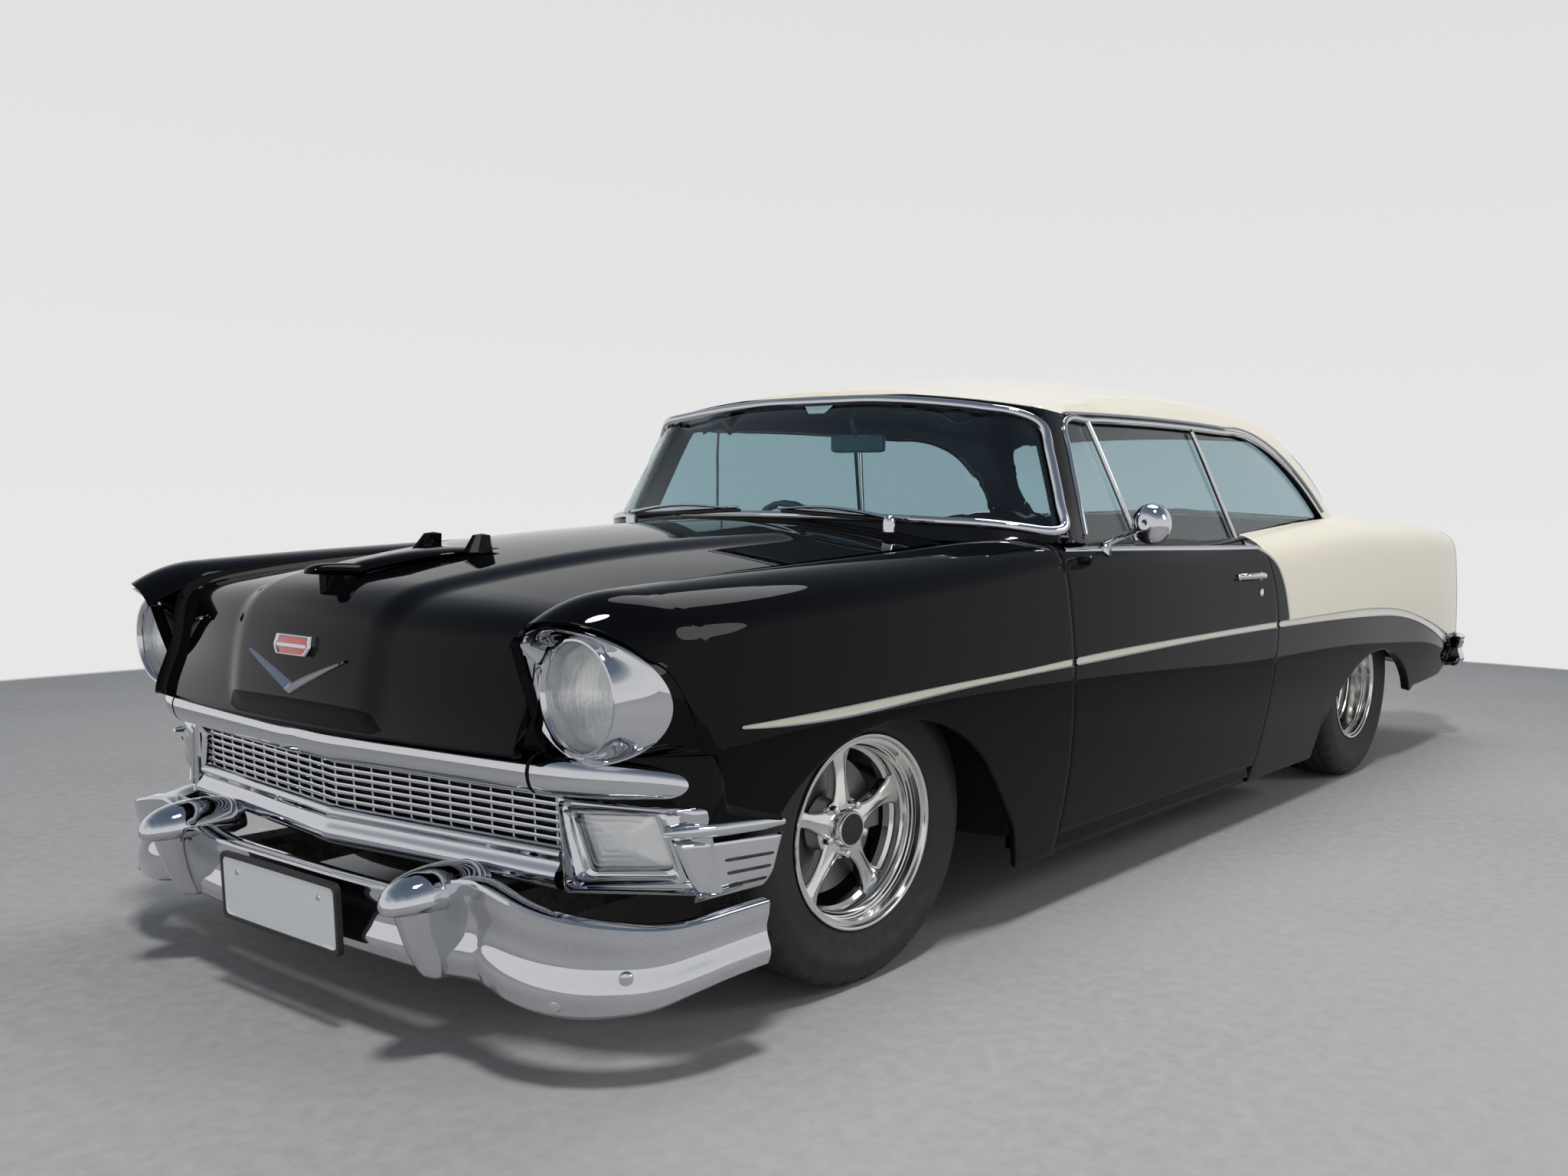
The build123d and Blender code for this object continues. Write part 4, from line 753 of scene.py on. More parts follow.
# ---------------------------------------------------------------- hood, cowl, deck, lid, tail
HOOD_END_S = 0.440
HOOD_HALF = 0.634
HOOD_FOOT_Z, LID_FOOT_Z = 0.566, 0.646


def crowned(profile, across, drop, fall_back, foot_z):
    """A panel across the car. Its middle line follows the profile of (station, height); sideways it sinks by drop times
    the square of the share of the half width, and its end falls back by fall_back times the same square.
    """
    share = across[:, None] / SEAM_X
    station, height = profile[None, :, 0], profile[None, :, 1]
    sink = drop[None] * share ** 2
    back = fall_back[None] * share ** 2
    return at(across[:, None], station + back, np.maximum(height - sink, foot_z))


across = np.linspace(-HOOD_HALF, HOOD_HALF, 97)
flat_s = np.linspace(HOOD_END_S, -0.560, 60)
flat_row = skin_row(flat_s)
nose_knots = np.array(((-0.560, 0.8385), (-0.610, 0.8260), (-0.652, 0.8065), (-0.682, 0.778), (-0.702, 0.738),
                       (-0.713, 0.690), (-0.7185, 0.640), (-0.7205, 0.600), (-0.721, 0.5665)))
hood_line = np.concatenate([np.stack([flat_s, flat_row[:, 6]], -1), curve(nose_knots, 40)[1:]])
line_gap = hood_line[59, 1] - nose_knots[0, 1]
hood_line[60:, 1] += line_gap * clamp((hood_line[60:, 1] - 0.60) / 0.24)
down = clamp((0.838 - hood_line[:, 1]) / (0.838 - 0.5665))
down[:60] = 0
hood_drop = np.concatenate([flat_row[:, 6] - flat_row[:, 5],
                            (flat_row[-1, 6] - flat_row[-1, 5]) * (1 - down[60:]) ** 1.2])
hood_back = 0.046 * clamp((-0.45 - hood_line[:, 0]) / 0.24) ** 1.3 + 0.030 * np.sin(math.pi * down) ** 1.5
hood_grid = crowned(hood_line, across, hood_drop, hood_back, HOOD_FOOT_Z)
run_back = clamp((hood_line[:, 0] + 0.721) / (HOOD_END_S + 0.721))
bulge_half = 0.250 + 0.150 * run_back
inside = clamp((bulge_half[None] - np.abs(across)[:, None]) / 0.075 + 0.5)
inside = inside * inside * (3 - 2 * inside)
fade = clamp((HOOD_END_S - 0.045 - 0.10 * (across[:, None] / 0.4) ** 2 - hood_line[None, :, 0]) / 0.10)
hood_grid[..., 2] += 0.013 * inside * fade * fade * (3 - 2 * fade) * clamp(1 - down * 1.1)[None]
hood_grid[..., 1] -= 0.010 * inside * clamp(down)[None] * clamp((1 - down[None]) * 6)
piece("hood_skin", Shape().add(hemmed(hood_grid, 1, first=(0.003, 0.018), last=(0.003, 0.018), left=(0.002, 0.004),
                                      right=(0.004, 0.010))), black_paint, "hood", "hood", True)


def level_panel(first_s, last_s, edge):
    """Fixed panel across the car from one station to another, hemmed on the edge beside the hood or the lid."""
    stations = np.linspace(first_s, last_s, 30)
    row = skin_row(stations)
    grid = crowned(np.stack([stations, row[:, 6]], -1), np.linspace(-SEAM_X, SEAM_X, 65), row[:, 6] - row[:, 5],
                   np.zeros(30), 0.5)
    return Shape().add(hem(grid, edge, 0.002, 0.004, -1), flip=True)


corner_s = np.linspace(WING_END_S, 0.800, 12)
corner_low = climb_at_x(corner_s, 0.797)
corner_grid = side_surface(np.broadcast_to(corner_s, (14, 12)),
                           corner_low + (1 - corner_low) * np.linspace(0, 1, 14)[:, None])
cowl_shape = level_panel(HOOD_END_S + SHUT_GAP, 0.800, "left").add(corner_grid, flip=True).add(corner_grid * (-1, 1, 1))
piece("cowl_skin", cowl_shape, black_paint, "cowl", instead=True)
piece("rear_deck_skin", level_panel(2.686, 3.030, "right"), cream_paint, "rear_deck", instead=True)

lid_s = np.linspace(3.036, 3.900, 50)
lid_row = skin_row(lid_s)
lid_fall = curve(((3.900, 0.0), (3.960, -0.009), (4.020, -0.032), (4.070, -0.072), (4.100, -0.120), (4.116, -0.180),
                  (4.125, -0.250), (4.130, -0.350)), 44)
lid_fall[:, 1] += lid_row[-1, 6]
lid_line = np.concatenate([np.stack([lid_s, lid_row[:, 6]], -1), lid_fall[1:]])
lid_line[50:, 1] = np.maximum(lid_line[50:, 1], LID_FOOT_Z)
lid_down = clamp((lid_line[49, 1] - lid_line[:, 1]) / 0.34)
lid_drop = np.concatenate([lid_row[:, 6] - lid_row[:, 5], (lid_row[-1, 6] - lid_row[-1, 5]) * (1 - lid_down[50:])])
lid_grid = crowned(lid_line, across, lid_drop, -0.020 * lid_down, LID_FOOT_Z)
lid_shape = Shape().add(hemmed(lid_grid, -1, first=(0.003, 0.018), last=(0.003, 0.018), left=(0.002, 0.004),
                               right=(0.003, 0.012)), flip=True)
piece("trunk_lid_skin", lid_shape, cream_paint, "trunk_lid", "trunk_lid", True)

tail_x = np.linspace(-SEAM_X, SEAM_X, 65)[:, None]
tail_z = np.linspace(0.640, 0.430, 12)
tail_grid = at(tail_x, TAIL_S - 0.020 * (tail_x / SEAM_X) ** 2 - 0.25 * (0.640 - tail_z) ** 2, tail_z)
piece("tail_panel_skin", Shape().add(hemmed(tail_grid, -1, left=(0.003, 0.030), right=(0.006, 0.030)), flip=True),
      cream_paint, "tail_panel", instead=True)

DRIP_LINE = (
    (0.500, 1.420), (0.736, 1.313), (0.794, 1.270), (0.880, 1.264), (1.160, 1.282), (1.450, 1.291), (1.700, 1.297),
    (1.900, 1.300), (2.080, 1.286), (2.200, 1.266), (2.340, 1.229), (2.450, 1.180), (2.550, 1.112), (2.650, 0.987),
    (2.700, 0.800), (3.000, 0.700))


def roof_paint():
    """Cream above the drip rail and black below it: a curve gives the line's height at each station."""
    material = finish("roof paint", BLACK, 0.30, patches=0.04, specular_ior_level=0.05, coat_roughness=0.015,
                      coat_ior=1.36, **LACQUER)
    tree = material.node_tree
    place = add_node(tree, "ShaderNodeSeparateXYZ", {}, {"Vector": object_place(tree)}).outputs
    along = remap(tree, place["Y"], FRONT_AXLE_Y + 0.5, FRONT_AXLE_Y + 3.0, 0.0, 1.0)
    line = add_node(tree, "ShaderNodeFloatCurve", {}, {"Value": along})
    points = line.mapping.curves[0].points
    for station, height in DRIP_LINE[1:-1]:
        points.new((station - 0.5) / 2.5, height - 0.6)
    for point, (station, height) in zip(points, DRIP_LINE):
        point.location = ((station - 0.5) / 2.5, height - 0.6)
        point.handle_type = "VECTOR"
    line.mapping.update()
    over = maths(tree, "SUBTRACT", place["Z"], line.outputs["Value"])
    return overpaint(material, remap(tree, over, 0.5995, 0.6005, 0.0, 1.0), CREAM)


smooth_copy("roof", roof_paint(), under=vinyl)
for titles, paint in (("rocker_left rocker_right", black_paint),
                      ("windscreen rear_window quarter_windows door_window_left door_window_right", window_glass),
                      ("door_mirror_left door_mirror_right", chrome)):
    for title in titles.split():
        smooth_copy(title, paint)
smooth_copy("floor_pan", carpet, under=chassis_black)

# ---------------------------------------------------------------- headlights
LAMP_X = 0.740
LAMP_Z = 0.672
LENS_R = 0.089
LENS_S = -0.617


def lamp_loop(angle, wide, tall, front_s, sweep_back=0.0, tilt=0.0, peak=0.0):
    """Loop round the lamp's axis: an ellipse of those half sizes, drawn out by peak at its upper inner corner and never
    further in than the hood's shut line. Its outer side sweeps back and its foot tilts back.
    """
    reach = 1 + peak * np.exp(-((angle - 2.35) / 0.40) ** 2)
    x, z = np.maximum(wide * reach * np.cos(angle), -0.099), tall * reach * np.sin(angle)
    return at(LAMP_X + x, front_s + sweep_back * np.clip(x / 0.12, 0, 2) ** 1.4 - tilt * z / 0.12, LAMP_Z + z)


turn = round_turn(121)
BEZEL_LOOPS = ((0.1265, 0.1190, -0.650, 0.092, 0.030, 0.10), (0.1245, 0.1172, -0.655, 0.090, 0.030, 0.10),
               (0.1215, 0.1145, -0.655, 0.086, 0.028, 0.09), (0.1150, 0.1100, -0.648, 0.066, 0.022, 0.07),
               (0.1090, 0.1060, -0.640, 0.036, 0.012, 0.04), (0.1040, 0.1030, -0.634, 0.010, 0.004, 0.01),
               (0.1020, 0.1020, -0.640, 0.0, 0.0, 0.0), (0.0990, 0.0990, -0.6450, 0.0, 0.0, 0.0),
               (0.0950, 0.0950, -0.6450, 0.0, 0.0, 0.0), (0.0915, 0.0915, -0.640, 0.0, 0.0, 0.0),
               (0.0895, 0.0895, -0.632, 0.0, 0.0, 0.0), (0.0890, 0.0890, -0.610, 0.0, 0.0, 0.0))
bezel_shape = Shape().add(np.stack([lamp_loop(turn, *row) for row in BEZEL_LOOPS]), flip=True)


def screw_head(x, station, height, radius=0.0055, proud=0.003):
    """Domed head facing forward: rings whose radius shrinks as they stand further forward."""
    angle = round_turn(17)
    share = np.array([1.0, 1.0, 0.86, 0.5, 0.0])[:, None]
    lift = np.array([-0.5, 0.4, 0.8, 0.97, 1.0])[:, None] * proud
    return at(x + radius * share * np.cos(angle), station - lift, height + radius * share * np.sin(angle))


bezel_shape.add(screw_head(LAMP_X - 0.086, -0.6785, LAMP_Z + 0.0925), flip=True)
lens_r = ease(24, 0.0, LENS_R)[:, None]
lens_turn = turn[None]
lens_x, lens_z = lens_r * np.cos(lens_turn), lens_r * np.sin(lens_turn)
dome = 0.022 * (1 - (lens_r / LENS_R) ** 2)
fluted = 0.0012 * np.sin(lens_x * 2 * math.pi / 0.0105) * clamp((LENS_R - 0.010 - lens_r) / 0.008)
lens_shape = Shape().add(at(LAMP_X + lens_x, LENS_S - dome - fluted, LAMP_Z + lens_z))
lens_shape.add(at(LAMP_X + lens_x, LENS_S + 0.005 - dome, LAMP_Z + lens_z), flip=True)
bowl_r = ease(18, 0.012, LENS_R - 0.001)[:, None]
bowl_shape = Shape().add(at(LAMP_X + bowl_r * np.cos(lens_turn), -0.545 - 0.066 * (bowl_r / LENS_R) ** 2,
                            LAMP_Z + bowl_r * np.sin(lens_turn)))
bulb_r = np.array([0.0, 0.008, 0.013, 0.015, 0.015])[:, None]
bulb_s = np.array([-0.590, -0.588, -0.580, -0.568, -0.540])[:, None]
bowl_shape.add(at(LAMP_X + bulb_r * np.cos(lens_turn), bulb_s, LAMP_Z + bulb_r * np.sin(lens_turn)))


low_columns = np.flatnonzero(wing_s <= -0.545)[::-1]
foot_x, foot_y, foot_z = wing_grid[0, low_columns[0]].tolist()
foot_line = polyline(at([0.643, 0.700, 0.770, 0.832, foot_x], [-0.640, -0.626, -0.590, -0.530, foot_y - FRONT_AXLE_Y],
                        [*[HOOD_FOOT_Z] * 4, foot_z]), 30)
inner_line = polyline(at([0.641, 0.641, 0.642], [-0.694, -0.676, -0.640], [0.762, 0.690, HOOD_FOOT_Z]), 24)
opening_edge = np.concatenate([foot_line, wing_grid[0, low_columns[1:]], wing_grid[1:, 0], inner_line[1:]])
edge_angle = np.unwrap(np.arctan2(opening_edge[:, 2] - LAMP_Z, opening_edge[:, 0] - LAMP_X))
rim = lamp_loop(edge_angle, *BEZEL_LOOPS[0])
fall = np.linspace(0, 1, 14)[:, None, None]
fascia_grid = opening_edge[None] * (1 - fall) + rim[None] * fall
fascia_grid[..., 1] -= (0.007 * np.sin(math.pi * clamp(fall * 2.2)) - 0.010 * np.sin(math.pi * fall) ** 2)[..., 0]
fascia_shape = Shape().add(fascia_grid, flip=True)

# ---------------------------------------------------------------- grille, header and parking lamps
GRILLE_HALF = 0.640


def vee_s(x, end_s):
    """Station of the shallow V across the nose, whose ends stand at end_s."""
    return end_s - 0.058 * (1 - np.abs(x) / GRILLE_HALF)


BAR_FOOT_S = -0.600
HEADER_PROFILE = curve(((-0.070, 0.034), (-0.040, 0.0362), (-0.012, 0.0350), (0.004, 0.0250), (0.0105, 0.0060),
                        (0.0095, -0.0080), (0.0020, -0.0260), (-0.0080, -0.0340), (-0.030, -0.0350)), 28)
header_x = np.linspace(-0.628, 0.628, 121)
header_path = at(header_x, vee_s(header_x, -0.666) + 0.010, 0.530)
header_grid = sweep(header_path, HEADER_PROFILE)
header_grid[..., 2] += 0.004 * np.exp(-(header_grid[..., 0] / 0.05) ** 2)
corner_path = curve(at([0.636, 0.700, 0.765, 0.822, 0.860, 0.879, 0.884],
                       [-0.656, -0.641, -0.609, -0.556, -0.495, -0.430, -0.392],
                       [0.530, 0.530, 0.528, 0.521, 0.505, 0.478, 0.452]), 48)
corner_scale = np.interp(np.linspace(0, 1, 48), [0, 0.35, 0.7, 1], [1.0, 0.98, 0.74, 0.34])
header_corner = sweep(corner_path, HEADER_PROFILE, scale=corner_scale)
header_corner[..., 0] = np.minimum(header_corner[..., 0], 0.900)
piece("hood_header_bar", Shape().add(header_grid, flip=True), chrome, "hood_header", "hood", True)

grille_shape = Shape()
bar_x = np.linspace(-0.638, 0.638, 81)
BAR_PROFILE = ((-0.024, 0.0034), (-0.003, 0.0046), (0.0, 0.0036), (0.0012, 0.0), (0.0, -0.0036), (-0.003, -0.0046),
               (-0.024, -0.0034))
UPRIGHT_PROFILE = ((0.0022, -0.010), (0.0022, 0.002), (0.0, 0.004), (-0.0022, 0.002), (-0.0022, -0.010))
for height in np.linspace(0.4045, 0.4825, 6):
    grille_shape.add(sweep(at(bar_x, vee_s(bar_x, BAR_FOOT_S), height), BAR_PROFILE), flip=True)
for post_x in np.linspace(-0.616, 0.616, 23):
    post_path = at(post_x, vee_s(post_x, BAR_FOOT_S) + 0.006, np.linspace(0.394, 0.493, 3))
    grille_shape.add(sweep(post_path, UPRIGHT_PROFILE, up=(0, -1, 0)))
piece("grille_bars", grille_shape, chrome, "grille", instead=True)
back_x = np.linspace(-0.64, 0.64, 41)[None]
grille_back = Shape().add(at(back_x, vee_s(back_x, -0.574), np.linspace(0.392, 0.495, 4)[:, None]), flip=True)
piece("grille_backing", grille_back, chassis_black, "frame")

LOWER_PROFILE = curve(((-0.040, 0.0405), (-0.012, 0.0400), (-0.001, 0.0340), (0.004, 0.0250), (0.001, 0.0160),
                       (0.004, 0.0060), (0.013, -0.0060), (0.014, -0.0200), (0.006, -0.0340), (-0.010, -0.0400),
                       (-0.040, -0.0405)), 40)
lower_x = np.linspace(-0.640, 0.640, 121)
lower_shape = Shape().add(sweep(at(lower_x, vee_s(lower_x, -0.612), 0.354), LOWER_PROFILE), flip=True)


def lamp_panel_s(x):
    """Station of the panel that carries a parking lamp."""
    return spline((0.600, 0.700, 0.862, 0.905), (-0.612, -0.600, -0.520, -0.470), x)


def quad_loop(corners, radius_share):
    """Closed loop round four corners, each rounded off by that share of its sides with a quadratic curve."""
    corners = np.array(corners, float)
    before, after = np.roll(corners, 1, 0), np.roll(corners, -1, 0)
    share = np.linspace(0, 1, 24)[None, :, None]
    start = corners + (before - corners) * radius_share
    end = corners + (after - corners) * radius_share
    bend = (1 - share) ** 2 * start[:, None] + 2 * share * (1 - share) * corners[:, None] + share ** 2 * end[:, None]
    loop = bend.reshape(-1, 2)
    return np.concatenate([loop, loop[:1]])


PANEL_QUAD = ((0.644, 0.4925), (0.886, 0.478), (0.902, 0.322), (0.652, 0.3145))
LENS_QUAD = ((0.667, 0.459), (0.820, 0.468), (0.846, 0.369), (0.706, 0.358))
outer_quad, lens_quad = quad_loop(PANEL_QUAD, 0.06), quad_loop(LENS_QUAD, 0.10)
lens_middle = lens_quad.mean(0)
share, lift = np.array(((0.0, 0.004), (0.05, 0.010), (0.22, 0.014), (0.30, 0.014), (0.34, 0.004), (0.52, 0.002),
                        (0.58, 0.013), (0.72, 0.015), (0.80, 0.010), (0.84, 0.001), (1.0, -0.001),
                        (1.0, -0.008))).T[..., None]
loop = outer_quad * (1 - share[..., None]) + lens_quad * share[..., None]
parking_bezel = Shape().add(at(loop[..., 0], lamp_panel_s(loop[..., 0]) - lift, loop[..., 1]))
share = np.linspace(1, 0, 26)[:, None]
loop = lens_middle + (lens_quad - lens_middle) * share[..., None]
sunk = 0.002 + 0.010 * (1 - share ** 2) + 0.0016 * np.sin(share * 2 * math.pi * 5)
lens_grid = at(loop[..., 0], lamp_panel_s(loop[..., 0]) - sunk, loop[..., 1])
parking_lens = Shape().add(lens_grid)
parking_back = Shape().add(lens_grid[::5] + (0, 0.022, 0))

# ---------------------------------------------------------------- front bumper
plan_line = curve(np.concatenate([
    arc((0.0, -0.752), (0.300, -0.748), (0.560, -0.732), np.linspace(0, 1, 40)),
    arc((0.560, -0.732), (0.830, -0.662), (0.926, -0.520), np.linspace(0, 1, 50)[1:]),
    np.stack([np.linspace(0.926, 0.941, 14)[1:], np.linspace(-0.520, -0.404, 14)[1:]], -1)]), 104)
BUMPER_TOP = ((0, 0.298), (0.30, 0.298), (0.38, 0.304), (0.443, 0.322), (0.52, 0.349), (0.57, 0.353), (0.63, 0.342),
              (0.70, 0.325), (0.80, 0.306), (0.90, 0.289), (0.942, 0.304))
BUMPER_FOOT = ((0, 0.150), (0.443, 0.150), (0.52, 0.153), (0.56, 0.154), (0.62, 0.143), (0.70, 0.131), (0.79, 0.126),
               (0.88, 0.135), (0.942, 0.177))
BUMPER_SECTION = curve((
    (-0.042, 0.955), (-0.026, 0.992), (-0.013, 1.0), (-0.005, 0.985), (-0.0015, 0.93), (-0.004, 0.80), (-0.010, 0.66),
    (-0.010, 0.50), (-0.002, 0.34), (0.0, 0.22), (-0.006, 0.10), (-0.017, 0.025), (-0.030, 0.0), (-0.042, 0.02)), 44)


def eased(x, table):
    """Heights at x read from a table and run through a short smoothing window."""
    window = np.hanning(13) / np.hanning(13).sum()
    return np.convolve(np.pad(np.interp(x, *np.array(table).T), 6, "edge"), window, "valid")


def blade(half_plan, top, foot, facing, half=None):
    """Bumper blade: a section carried round the plan, drawn out at each place between foot and top height, with a
    second skin 6 mm behind it. Facing is 1 for the front and -1 for the rear, and half holds the ends to that x.
    """
    plan = np.concatenate([half_plan[:0:-1] * (-1, 1), half_plan])
    heading = unit(np.gradient(plan, axis=0))
    away = facing * np.stack([heading[:, 1], -heading[:, 0]], -1)
    reach = np.abs(plan[:, 0])
    low, tall = eased(reach, foot)[:, None], (eased(reach, top) - eased(reach, foot))[:, None]
    rows = []
    for behind, share in ((0.0, BUMPER_SECTION[None, :, 1]), (0.006, 0.02 + 0.96 * BUMPER_SECTION[None, :, 1])):
        spot = plan[:, None] + away[:, None] * (BUMPER_SECTION[None, :, :1] - behind)
        x = spot[..., 0] if half is None else np.clip(spot[..., 0], behind * 2 / 3 - half, half - behind * 2 / 3)
        rows.append(at(x, spot[..., 1], low + tall * share))
    shape = Shape().add(rows[0], flip=facing < 0).add(rows[1], flip=facing > 0)
    shape.add(np.stack([rows[0][0], rows[1][0]]), flip=facing > 0)
    return shape.add(np.stack([rows[0][-1], rows[1][-1]]), flip=facing < 0), plan, away


bumper_shape, bumper_plan, away = blade(plan_line, BUMPER_TOP, BUMPER_FOOT, 1, 0.942)
GUARD_X = 0.443
GUARD_CAP = np.array((          # station, half width, height above and below the middle, and the middle's height
    (-0.8245, 0.001, 0.001, 0.001, 0.2960), (-0.8235, 0.008, 0.008, 0.006, 0.2962),
    (-0.820, 0.018, 0.017, 0.012, 0.297), (-0.812, 0.029, 0.027, 0.017, 0.2985), (-0.800, 0.039, 0.036, 0.021, 0.300),
    (-0.784, 0.047, 0.044, 0.024, 0.301), (-0.762, 0.053, 0.050, 0.026, 0.302), (-0.735, 0.0565, 0.054, 0.027, 0.302),
    (-0.700, 0.058, 0.056, 0.028, 0.301), (-0.660, 0.058, 0.054, 0.028, 0.299), (-0.640, 0.050, 0.044, 0.020, 0.297)))
GUARD_POST = np.array((         # height, front station and half width
    (0.298, -0.800, 0.043), (0.280, -0.797, 0.041), (0.255, -0.791, 0.037), (0.225, -0.783, 0.0335),
    (0.195, -0.772, 0.031), (0.170, -0.760, 0.029), (0.158, -0.752, 0.027), (0.1525, -0.744, 0.021),
    (0.1515, -0.738, 0.008)))


def guard():
    """Bumper guard: a domed cap whose egg-shaped sections grow from a blunt beak, over a post that narrows downward."""
    knots, fine = np.linspace(0, 1, 11), np.linspace(0, 1, 40)
    station, wide, above, below, middle = (np.interp(fine, knots, part)[:, None] for part in GUARD_CAP.T)
    angle = round_turn(49)[None]
    tall = np.where(np.sin(angle) > 0, above, below)
    shape = Shape().add(at(GUARD_X + wide * np.cos(angle), station, middle + tall * np.sin(angle)))
    height, front, half = spline(np.linspace(0, 1, 9), GUARD_POST, np.linspace(0, 1, 34)).T[..., None]
    angle = np.linspace(0, math.pi, 29)[None]
    squared = np.abs(np.sin(angle)) ** 0.62
    return shape.add(at(GUARD_X - half * np.sign(np.cos(angle)) * np.abs(np.cos(angle)) ** 0.7,
                        -0.700 + (front + 0.700) * squared, height), flip=True)


PLATE_Z = 0.222
PLATE_FRONT, PLATE_BACK = -0.7772, -0.7685


def plate_loops(*rows):
    """Rounded rectangles facing forward, each from its half width, half height, corner radius and station: a circle
    whose quarters are moved apart to the corners.
    """
    half_x, half_z, radius, station = np.array(rows).T[..., None]
    angle = round_turn(97)
    x = np.clip(np.cos(angle) * 4, -1, 1) * (half_x - radius) + np.cos(angle) * radius
    z = np.clip(np.sin(angle) * 4, -1, 1) * (half_z - radius) + np.sin(angle) * radius
    return at(x, station, PLATE_Z + z)


plate_shape = Shape()
plate_shape.add(plate_loops((0.2140, 0.0700, 0.016, PLATE_BACK), (0.2140, 0.0700, 0.016, -0.7765),
                            (0.2125, 0.0685, 0.015, -0.7785), (0.2050, 0.0610, 0.014, -0.7785),
                            (0.2035, 0.0595, 0.014, PLATE_FRONT)), flip=True, mark=1)
plate_shape.add(plate_loops((0.2035, 0.0595, 0.014, PLATE_FRONT), (0.1900, 0.0500, 0.010, PLATE_FRONT),
                            (0.10, 0.03, 0.01, PLATE_FRONT), (0.0, 0.0, 0.0, PLATE_FRONT)), flip=True)
plate_shape.add(plate_loops((0.2140, 0.0700, 0.016, PLATE_BACK), (0.0, 0.0, 0.0, PLATE_BACK)), mark=1)
for hole_x in (-0.150, 0.150):
    plate_shape.add(screw_head(hole_x, -0.7766, 0.256, 0.006, 0.003), flip=True, mark=2)
piece("number_plate_blank", plate_shape, (blank_plate, black_rubber, chrome), "number_plate", instead=True)

corner_columns = np.flatnonzero((wing_s > -0.545) & (wing_s < -0.330))
corner_top = polyline(np.concatenate([foot_line[:-1], wing_grid[0, corner_columns]]), 60)
corner_x = np.linspace(0.643, 0.880, 30)
corner_foot = polyline(np.concatenate([
    at(corner_x, lamp_panel_s(corner_x) + 0.004, np.interp(corner_x, (0.643, 0.880), (0.491, 0.477))),
    at([0.888, 0.894, 0.895], [-0.500, -0.420, -0.330], [0.440, 0.434, 0.424])]), 60)
fill_share = np.linspace(0, 1, 12)[:, None, None]
corner_fill = corner_top * (1 - fill_share) + corner_foot * fill_share
corner_fill[..., 0] += 0.004 * np.sin(math.pi * fill_share[..., 0])
pair("wing_corner_panel", Shape().add(corner_fill), black_paint, "front_wing_{}")
pair("headlight_bezel", bezel_shape, chrome, "headlight_rings", instead=True)
pair("headlight_lens", lens_shape, lamp_glass, "headlight_lenses", instead=True)
pair("headlight_bowl", bowl_shape, reflector, "headlight_rings")
pair("headlight_fascia", fascia_shape, black_paint, "front_wing_{}", sharp=70.0)
pair("header_corner", Shape().add(header_corner, flip=True), chrome)
pair("parking_bezel", parking_bezel, chrome, instead=True)
pair("parking_lens", parking_lens, lamp_glass, "parking_lamps", instead=True)
pair("parking_reflector", parking_back, reflector, "parking_lamps")
pair("bumper_guard", guard(), chrome, "front_bumper")
piece("lower_bar", lower_shape, chrome, instead=True)
for bolt_x, bolt_z in ((0.742, 0.158), (0.925, 0.205)):
    for side, _ in SIDES:
        here = np.argmin(np.abs(bumper_plan - (side * bolt_x, -0.70)).sum(-1) + (bumper_plan[:, 0] * side < 0))
        out_x, out_s = away[here]
        bolt = screw_head(0.0, 0.0, bolt_z, 0.0125, 0.008) - (0, FRONT_AXLE_Y, 0)
        place = bumper_plan[here] - 0.008 * away[here]
        turned = at(place[0] - bolt[..., 0] * out_s - bolt[..., 1] * out_x,
                    place[1] + bolt[..., 0] * out_x - bolt[..., 1] * out_s, bolt[..., 2])
        bumper_shape.add(turned, flip=True)
piece("front_bumper_blade", bumper_shape, chrome, "front_bumper", instead=True)


# ---------------------------------------------------------------- brightwork along the sides
def on_side(stations, heights, lift, brows=False):
    """Grid on the body side, one column per station and one row of heights per row, stood off the panel by lift square
    to it.
    """
    heights = np.broadcast_to(heights, (len(heights), len(stations)))
    climb = climb_at_height(stations, heights, 200)
    spread = np.broadcast_to(stations, climb.shape)
    points = side_surface(spread, climb)
    along = side_surface(spread + 0.01, climb) - side_surface(spread - 0.01, climb)
    upward = side_surface(spread, climb + 0.01) - side_surface(spread, climb - 0.01)
    if brows:
        points, shifted = brow(points), brow(side_surface(spread + 0.01, climb))
        along = shifted - points
    normal = unit(np.cross(along, upward))
    normal *= np.sign(normal[..., :1])
    return points + normal * np.asarray(lift)[..., None]


def moulding(first_s, last_s, count, brows=False):
    """Side moulding over a run of stations: two bright beads with a painted channel between them."""
    stations = np.linspace(first_s, last_s, count)
    low = np.interp(stations, TRIM_LOWER[:, 0], TRIM_LOWER[:, 1])
    high = np.interp(stations, TRIM_UPPER[:, 0], TRIM_UPPER[:, 1])
    high = np.maximum(high, low + 0.006)
    share = np.array([0.0, 0.02, 0.07, 0.14, 0.19, 0.22])
    lift = np.array([0.0, 0.0045, 0.0065, 0.0055, 0.0025, 0.0015])
    shape = Shape()
    for rows, lifts, mark in ((share, lift, 0), (np.array([0.22, 0.40, 0.60, 0.78]), np.full(4, 0.0015), 1),
                              (1 - share[::-1], lift[::-1], 0)):
        shape.add(on_side(stations, low + (high - low) * rows[:, None], np.repeat(lifts[:, None], count, 1), brows),
                  flip=True, mark=mark)
    return shape


